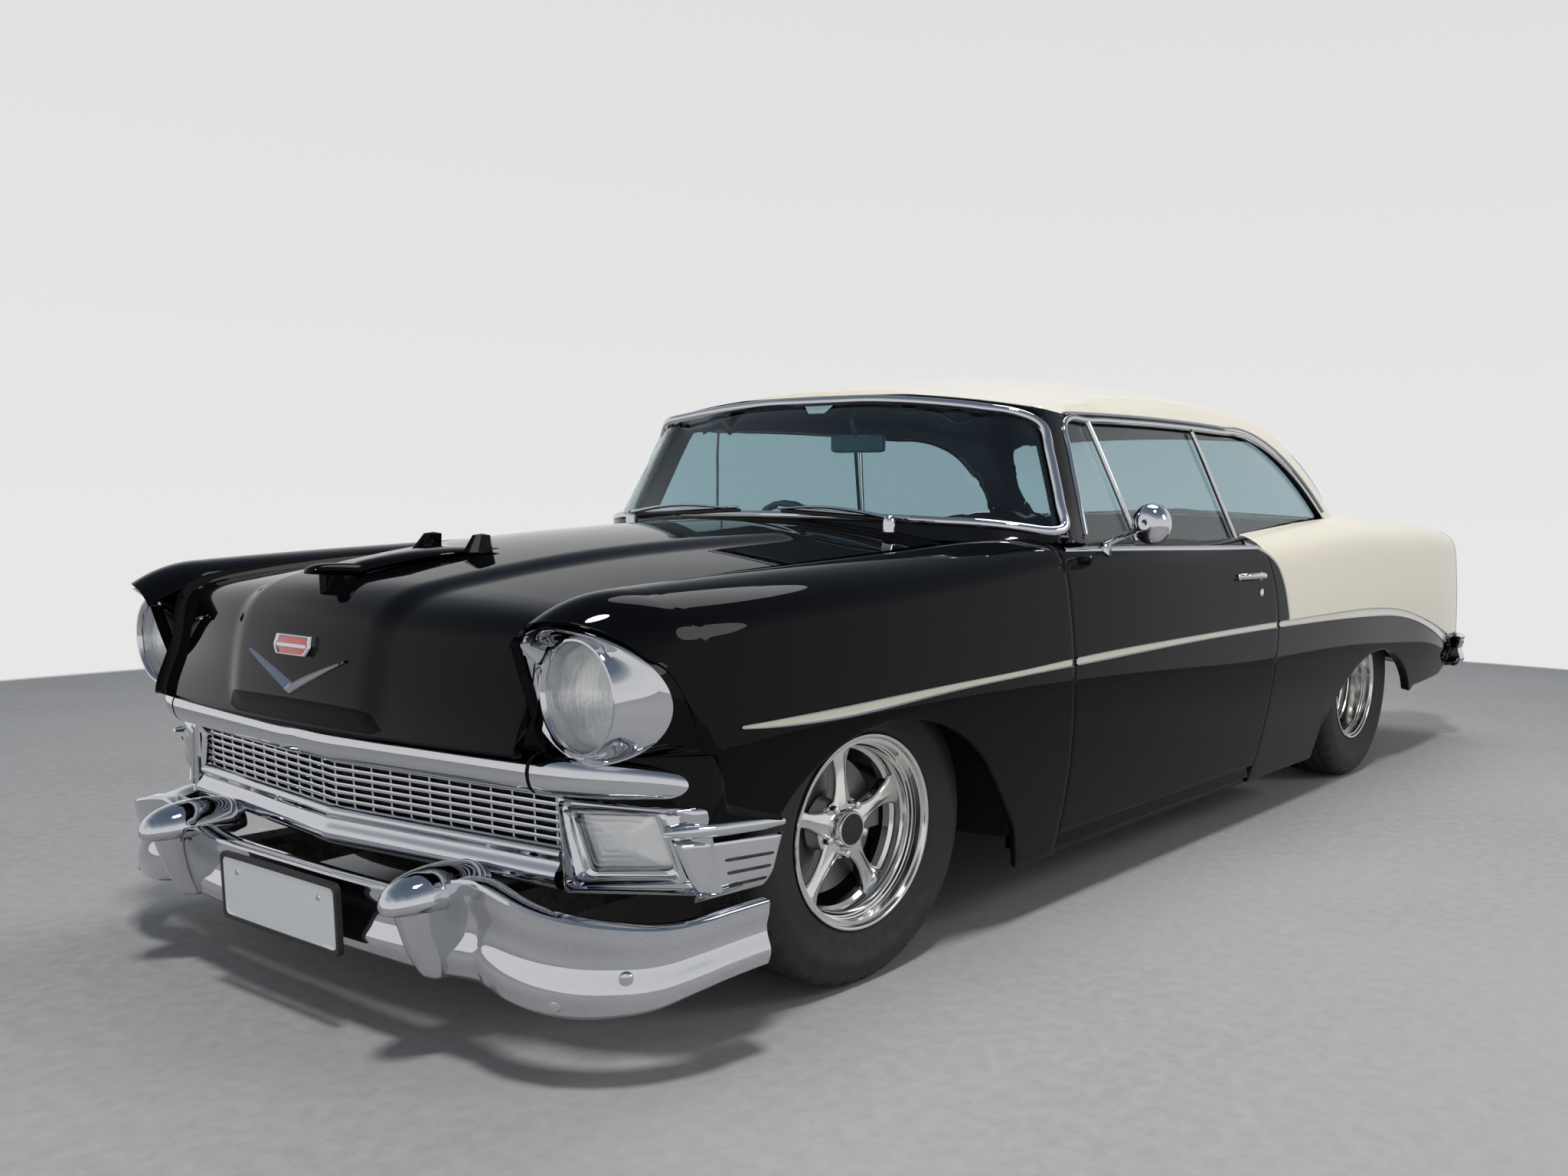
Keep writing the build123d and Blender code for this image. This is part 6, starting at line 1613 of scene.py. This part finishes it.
def rim(rim_width, inset, centre):
    """Wheel: a stepped polished barrel and five spokes that narrow and flare out again, each a bowed section carried
    along its radius, round a bored hub.
    """
    lip = rim_width / 2
    face = lip - inset
    shape = Shape()

    def turned(*rows, around=96, **how):
        shape.add(lathe(rows, centre, around), ring=True, **how)

    turned((-lip, 0.181), (face - 0.042, 0.180), (face - 0.038, 0.169), (face - 0.020, 0.170), (face - 0.014, 0.178),
           (face - 0.008, 0.1775), (face - 0.004, 0.175), (face + 0.006, 0.176), (face + 0.010, 0.180),
           (lip - 0.0395, 0.1825), (lip - 0.038, 0.1855), (lip - 0.0315, 0.186), (lip - 0.030, 0.189),
           (lip - 0.0235, 0.1895), (lip - 0.022, 0.1925), (lip - 0.016, 0.193), (lip - 0.012, 0.1945),
           (lip - 0.008, 0.1975), (lip - 0.004, 0.199), (lip - 0.001, 0.2005), (lip + 0.0003, 0.203), (lip, 0.2065),
           (lip - 0.002, 0.208), (lip - 0.008, 0.207), (lip - 0.009, 0.190), (-lip + 0.009, 0.190),
           (-lip + 0.008, 0.207), (-lip + 0.002, 0.208), (-lip, 0.206), (-lip, 0.181), around=128)
    radius = np.linspace(0.036, 0.1785, 28)
    half = spline((0.030, 0.060, 0.095, 0.130, 0.158, 0.182), (0.036, 0.0270, 0.0180, 0.0185, 0.0265, 0.0420), radius)
    proud = spline((0.030, 0.060, 0.110, 0.160, 0.182), (0.004, 0.002, -0.002, -0.004, -0.002), radius)
    loop = round_turn(29)
    side_share = np.sign(np.cos(loop)) * np.abs(np.cos(loop)) ** 0.6
    outward = np.where(np.sin(loop) > 0, 0.012 * np.abs(np.sin(loop)) ** 0.55, -0.022 * np.abs(np.sin(loop)) ** 0.4)
    ridge = 0.0045 * clamp(1 - np.abs(side_share) / 0.42) ** 0.7 * (np.sin(loop) > 0)
    for number in range(5):
        angle = math.pi / 2 + number * 2 * math.pi / 5
        radial = np.array([0.0, math.cos(angle), math.sin(angle)])
        sideways = np.array([0.0, -math.sin(angle), math.cos(angle)])
        grid = np.array(centre) + radius[:, None, None] * radial + (half[:, None] * side_share)[..., None] * sideways
        grid[..., 0] += face - 0.014 + proud[:, None] + outward + ridge
        shape.add(grid)
        stud = np.array(centre) + 0.0555 * np.array([0.0, math.cos(angle + math.pi / 5), math.sin(angle + math.pi / 5)])
        stud_rows = np.array(((0.0, 0.0095), (0.014, 0.0095), (0.018, 0.008), (0.020, 0.004), (0.0205, 0.0)))
        shape.add(lathe(stud_rows + (face - 0.006, 0), stud, 12), ring=True)
    turned((face - 0.045, 0.024), (face - 0.045, 0.072), (face - 0.010, 0.070), (face - 0.006, 0.066),
           (face - 0.004, 0.046), (face, 0.0430), (face + 0.004, 0.0425), flip=True)
    turned((face + 0.004, 0.0425), (face + 0.012, 0.0410), (face + 0.020, 0.0385), (face + 0.0222, 0.0365),
           (face + 0.0225, 0.0335), flip=True)
    turned((face + 0.0225, 0.0335), (face + 0.0215, 0.0320), (face + 0.0228, 0.020), (face + 0.0234, 0.008),
           (face + 0.0235, 0.0), flip=True, mark=2)
    turned((face - 0.070, 0.062), (face - 0.070, 0.149), (face - 0.069, 0.150), (face - 0.059, 0.150),
           (face - 0.058, 0.149), (face - 0.058, 0.062), flip=True, mark=3)
    return shape


for axle, station, centre_x, tyre_radius, tyre_width, rim_width, inset in (
        ("front", 0.0, 0.722, 0.328, 0.200, 0.178, 0.062), ("rear", 2.921, 0.703, 0.358, 0.262, 0.232, 0.105)):
    wheel_centre = (centre_x, FRONT_AXLE_Y + station, tyre_radius)
    tyre_shape = tyre(tyre_radius, tyre_width, rim_width, wheel_centre)
    rim_shape = rim(rim_width, inset, wheel_centre)
    pair(f"tyre_{axle}", tyre_shape, rubber, f"tyre_{axle}_{{}}", f"wheel_{axle}_{{}}", True)
    pair(f"rim_{axle}", rim_shape, (polished_alloy, chassis_black, black_rubber, steel), f"rim_{axle}_{{}}",
         f"wheel_{axle}_{{}}", True)


# ---------------------------------------------------------------- cabin
SEAT_VOXEL = 0.018
SEAT_SWELL = 0.026
seat_trim = finish("seat vinyl two tone", VINYL, 0.38, drift=0.2, patches=0.12, grain=1400.0, grain_height=0.6)
overpaint(seat_trim, remap(seat_trim.node_tree, own_value(seat_trim, "insert"), 0.45, 0.55, 0.0, 1.0),
          (0.10, 0.105, 0.11))


def applied(obj):
    """Settles an object's modifiers into its mesh and gives that mesh."""
    mesh = bpy.data.meshes.new_from_object(obj.evaluated_get(bpy.context.evaluated_depsgraph_get()))
    obj.modifiers.clear()
    obj.data = mesh
    return mesh


def inflated(title, pleats, half):
    """Cushion from a CAD seat: the solid is remeshed evenly, blown up as cloth with its movement capped, and finished
    with one subdivision. Upright channels then sink along its normal every pleat width, with a seam along the middle.
    """
    obj = new_object(f"{title}.cushion", frame["nodes"][title].data.copy())
    even = obj.modifiers.new("even", "REMESH")
    even.mode = "VOXEL"
    even.voxel_size = SEAT_VOXEL
    flat = applied(obj)
    rest = swollen = point_places(flat)
    cloth = obj.modifiers.new("stuffing", "CLOTH")
    cloth.settings.use_pressure = True
    cloth.settings.uniform_pressure_force = 4.0
    cloth.settings.effector_weights.gravity = 0.0
    cloth.settings.quality = 4
    cloth.point_cache.frame_start, cloth.point_cache.frame_end = 1, 20
    for number in range(1, 21):
        bpy.context.scene.frame_set(number)
    graph = bpy.context.evaluated_depsgraph_get()
    swollen = point_places(obj.evaluated_get(graph).to_mesh())
    obj.modifiers.clear()
    bpy.context.scene.frame_set(1)
    move = swollen - rest
    length = np.linalg.norm(move, axis=1, keepdims=True)
    move *= np.minimum(1, SEAT_SWELL / np.maximum(length, 1e-6))
    low, high = rest.min(0), rest.max(0)
    flat.vertices.foreach_set("co", np.clip(rest + move - (0, 0, 0.5 * SEAT_SWELL), low, high).ravel())
    smooth = obj.modifiers.new("finer", "SUBSURF")
    smooth.levels = smooth.render_levels = 1
    fine = applied(obj)
    places = point_places(fine)
    normals = np.empty(places.size, np.float32)
    fine.vertex_normals.foreach_get("vector", normals)
    normals = normals.reshape(-1, 3)
    inside = clamp((half - np.abs(places[:, 0])) / 0.03)
    phase = (places[:, 0] / pleats + 0.5) % 1 - 0.5
    groove = np.exp(-(phase * pleats / 0.010) ** 2)
    upper = clamp(normals[:, 2] + np.abs(normals[:, 1]))
    sink = upper * inside * 0.013 * groove
    middle_seam = 0.010 * np.exp(-(places[:, 0] / 0.006) ** 2) * upper
    fine.vertices.foreach_set("co", (places - normals * (sink + middle_seam)[:, None]).ravel())
    mark_points(fine, "insert", inside * upper)
    fine.materials.clear()
    fine.materials.append(seat_trim)
    fine.shade_smooth()
    settle(obj, BODY_OF[title], title, True)


inflated("front_seat", 0.095, 0.560)
inflated("rear_seat", 0.090, 0.460)


# door cards and quarter cards
CARD_X = 0.782


def card(first_s, last_s, low, high, x):
    """Trim panel facing the cabin: upright pleats between two plain bands, its border turned outward."""
    station, height = np.meshgrid(np.linspace(first_s, last_s, 150), np.linspace(low, high, 28))
    share = (height - low) / (high - low)
    pleated = clamp((share - 0.24) / 0.03) * clamp((0.72 - share) / 0.03)
    ridges = 0.0035 * np.abs(np.sin((station - first_s) * math.pi / 0.055)) ** 0.7
    bands = 0.004 * (np.exp(-((share - 0.225) / 0.012) ** 2) + np.exp(-((share - 0.735) / 0.012) ** 2))
    edge = np.minimum(np.minimum(station - first_s, last_s - station), np.minimum(height - low, high - height))
    turned = 0.010 * (1 - np.sqrt(clamp(edge / 0.010)))
    return at(x + turned - pleated * ridges - bands, station, height)


def arm_rest(first_s, last_s, height, x):
    """Arm rest: a flattened bar whose ends round off."""
    share = np.linspace(0, 1, 40)
    thick = 0.030 * clamp(np.sin(math.pi * share)) ** 0.3
    return tube(at(np.full(40, x), first_s + (last_s - first_s) * share, height + 0.01 * share), thick, 20,
                squeeze=(0.9, 0.75))


door_card_shape = Shape().add(card(0.700, 1.850, 0.300, 0.900, CARD_X))
arm_shape = Shape().add(arm_rest(1.150, 1.560, 0.600, 0.760), ring=True)
winder = Shape()
ring = round_turn(33)
size_rows, rise_rows = np.array(((1.0, -0.003), (1.0, 0.004), (0.8, 0.009), (0.4, 0.011), (0.0, 0.0115))).T[..., None]
for spot_s, spot_z, size in ((1.000, 0.560, 0.024), (1.300, 0.680, 0.020)):
    winder.add(at(0.778 - rise_rows, spot_s + size * size_rows * np.cos(ring),
                  spot_z + size * size_rows * np.sin(ring)))
    winder.add(tube(at([0.764, 0.756, 0.752, 0.752], spot_s + np.array((0.0, 0.03, 0.07, 0.11)),
                       spot_z - np.array((0.0, 0.006, 0.014, 0.022))), 0.0065, 12, squeeze=(0.7, 1.1)), ring=True)
pair("door_card", door_card_shape, vinyl, "front_seat", "door_{}")
pair("door_arm_rest", arm_shape, vinyl, "front_seat", "door_{}", outward=True)
pair("door_winders", winder, chrome, body="door_{}", outward=True)
pair("quarter_card", Shape().add(card(1.925, 2.560, 0.360, 0.900, CARD_X)), vinyl, "front_seat")

# ---------------------------------------------------------------- steering wheel and dashboard
WHEEL_MIDDLE = np.array((-0.370, FRONT_AXLE_Y + 1.040, 0.838))
WHEEL_AXIS = np.array((0.0, 1.0, 0.42)) / math.hypot(1.0, 0.42)
WHEEL_R = 0.197
wheel_side = np.array((1.0, 0.0, 0.0))
wheel_up = np.cross(wheel_side, WHEEL_AXIS)
wheel_up *= np.sign(wheel_up[2])


def wheel_point(radius, angle, rise):
    """Point beside the steering axis: radius and angle in the wheel's plane, rise toward the driver."""
    radius, angle, rise = (np.asarray(part, float)[..., None] for part in np.broadcast_arrays(radius, angle, rise))
    return WHEEL_MIDDLE + radius * (np.cos(angle) * wheel_side + np.sin(angle) * wheel_up) + rise * WHEEL_AXIS


rim_turn = round_turn(160, False)[:, None]
rim_round = round_turn(16, False)[None]
grip = 0.0115 + 0.0012 * np.clip(np.cos(rim_turn * 28), -0.3, 1) * np.cos(rim_round + math.pi) ** 2
wheel_rim = Shape().add(wheel_point(WHEEL_R + grip * np.cos(rim_round), rim_turn, grip * np.sin(rim_round)),
                        loop=True, ring=True)
for spoke_angle in (math.pi / 2 + 2.25, math.pi / 2 - 2.25, math.pi / 2 + 1.45, math.pi / 2 - 1.45):
    spoke_radius = np.linspace(0.020, WHEEL_R - 0.004, 16)
    spoke_path = wheel_point(spoke_radius, spoke_angle, -0.030 + 0.030 * (spoke_radius / WHEEL_R) ** 2)
    wheel_rim.add(tube(spoke_path, 0.0075, 12, squeeze=(1.4, 0.7)), ring=True)
hub_rows = np.array(((0.0, 0.012), (0.020, 0.011), (0.034, 0.006), (0.038, -0.004), (0.036, -0.020), (0.032, -0.045),
                     (0.030, -0.060)))
wheel_rim.add(wheel_point(hub_rows[:, :1], round_turn(49)[None], hub_rows[:, 1:]))
horn_ring = Shape().add(wheel_point(0.112 + 0.0045 * np.cos(rim_round), rim_turn, -0.012 + 0.0045 * np.sin(rim_round)),
                        loop=True, ring=True)
horn_rows = np.array(((0.0, 0.022), (0.014, 0.0205), (0.024, 0.016), (0.027, 0.010)))
horn_ring.add(wheel_point(horn_rows[:, :1], round_turn(49)[None], horn_rows[:, 1:]))
piece("steering_wheel_grip", wheel_rim, teal_plastic, "steering_wheel", instead=True, outward=True)
piece("horn_ring", horn_ring, chrome, outward=True)
column_path = np.stack([WHEEL_MIDDLE - WHEEL_AXIS * reach for reach in np.linspace(0.050, 0.360, 14)])
piece("steering_column", Shape().add(tube(column_path, 0.026, 24), ring=True), black_paint, "steering_wheel",
      outward=True)
smooth_copy("dashboard", black_paint, 34.0)
DIAL_Z = 0.795
DASH_FACE_S = 0.926
DIAL_RING = ((1.06, 0.000), (1.06, 0.010), (1.0, 0.014), (0.94, 0.010), (0.93, 0.003))
DIAL_FACE = ((0.93, 0.0025), (0.5, 0.0025), (0.0, 0.0025))
dash_trim = Shape()
dial_turn = round_turn(65)
for middle_x, size in ((-0.370, 0.085), (-0.220, 0.040), (-0.520, 0.040)):
    for mark, rows in enumerate((DIAL_RING, DIAL_FACE)):
        share, lift = np.array(rows).T[..., None]
        dash_trim.add(at(middle_x + size * share * np.cos(dial_turn), DASH_FACE_S + lift,
                         DIAL_Z + size * 0.8 * share * np.sin(dial_turn)), flip=True, mark=mark)
for bar_z in (0.745, 0.760, 0.775):
    dash_trim.add(tube(at(np.linspace(-0.10, 0.62, 60), DASH_FACE_S + 0.0015, bar_z), 0.0035, 8), ring=True)
piece("dash_trim", dash_trim, (chrome, blank_plate), "dashboard")

# ---------------------------------------------------------------- floor, backdrop and light
FLOOR_RADIUS = 6.15


def disc(radii):
    """Flat rings round the origin, closed at the middle."""
    angle, radii = round_turn(128, False), np.array(radii)[:, None]
    return np.stack(np.broadcast_arrays(radii * np.cos(angle), radii * np.sin(angle), -0.0005), -1)


stage_material = bpy.data.materials.new("studio floor")
stage_material.use_nodes = True
stage_tree = stage_material.node_tree
stage_shader = stage_tree.nodes["Principled BSDF"]
stage_place = object_place(stage_tree)
distance = add_node(stage_tree, "ShaderNodeVectorMath", {"operation": "LENGTH"}, {0: stage_place}).outputs["Value"]
grit = noise(stage_tree, stage_place, 26.0, 5.0, 0.62)
patchy = noise(stage_tree, stage_place, 0.55, 3.0, 0.5)
grey = blend_colour(stage_tree, remap(stage_tree, grit, 0.35, 0.7, 0.0, 1.0), (0.310, 0.306, 0.298, 1),
                    (0.375, 0.370, 0.360, 1))
grey = blend_colour(stage_tree, remap(stage_tree, patchy, 0.35, 0.65, 0.0, 0.6), grey, (0.400, 0.396, 0.388, 1))
stage_tree.links.new(grey, stage_shader.inputs["Base Color"])
stage_shader.inputs["Roughness"].default_value = 0.85
stage_shader.inputs["Specular IOR Level"].default_value = 0.15
grit_bump = add_node(stage_tree, "ShaderNodeBump", {}, {"Height": grit, "Strength": 0.25, "Distance": 0.004})
stage_tree.links.new(grit_bump.outputs["Normal"], stage_shader.inputs["Normal"])
pale_wall = add_node(stage_tree, "ShaderNodeEmission", {}, {"Color": (0.80, 0.80, 0.805, 1), "Strength": 1.0})
chosen = add_node(stage_tree, "ShaderNodeMixShader", {}, {
    0: remap(stage_tree, distance, FLOOR_RADIUS - 0.02, FLOOR_RADIUS + 0.10, 0.0, 1.0),
    1: stage_shader.outputs["BSDF"], 2: pale_wall.outputs["Emission"]})
stage_tree.links.new(chosen.outputs["Shader"], stage_tree.nodes["Material Output"].inputs["Surface"])
rings = disc((0.0, 2.0, 4.0, 6.0, 6.2, 9.0, 20.0, 60.0, 150.0))
stage_mesh = build_mesh("studio_floor", rings, grid_faces(9, 128, ring=True)[:, ::-1])
stage_mesh.materials.append(stage_material)
new_object("studio_floor", stage_mesh)

world = bpy.data.worlds.new("studio")
bpy.context.scene.world = world
world.use_nodes = True
world_tree = world.node_tree
heading = add_node(world_tree, "ShaderNodeTexCoord").outputs["Generated"]
rise = add_node(world_tree, "ShaderNodeSeparateXYZ", {}, {"Vector": heading}).outputs["Z"]
ramp = add_node(world_tree, "ShaderNodeValToRGB", {}, {"Fac": rise})
ramp.color_ramp.elements[0].position = 0.0
ramp.color_ramp.elements[0].color = (0.80, 0.80, 0.805, 1)
ramp.color_ramp.elements[1].position = 0.36
ramp.color_ramp.elements[1].color = (0.74, 0.745, 0.75, 1)
for position, colour in ((0.50, (0.38, 0.41, 0.45, 1)), (0.70, (0.16, 0.20, 0.26, 1)), (1.0, (0.11, 0.14, 0.20, 1))):
    ramp.color_ramp.elements.new(position).color = colour
world_tree.links.new(ramp.outputs["Color"], world_tree.nodes["Background"].inputs["Color"])
world_tree.nodes["Background"].inputs["Strength"].default_value = 1.0

LAMPS = (("sun", (2.6, -3.2, 8.0), 1.2, 430.0), ("softbox", (-0.5, 1.5, 7.5), 4.5, 190.0),
         ("side", (6.5, 1.0, 4.5), 2.5, 80.0))
for title, where, size, power in LAMPS:
    lamp_data = bpy.data.lights.new(title, "AREA")
    lamp_data.shape = "DISK"
    lamp_data.size = size
    lamp_data.energy = power
    toward = -np.array(where) / np.linalg.norm(where)
    side = unit(np.cross(toward, (0.0, 0.0, 1.0)))
    new_object(title, lamp_data).matrix_world = stood(np.stack([side, np.cross(side, toward), -toward], axis=1), where)
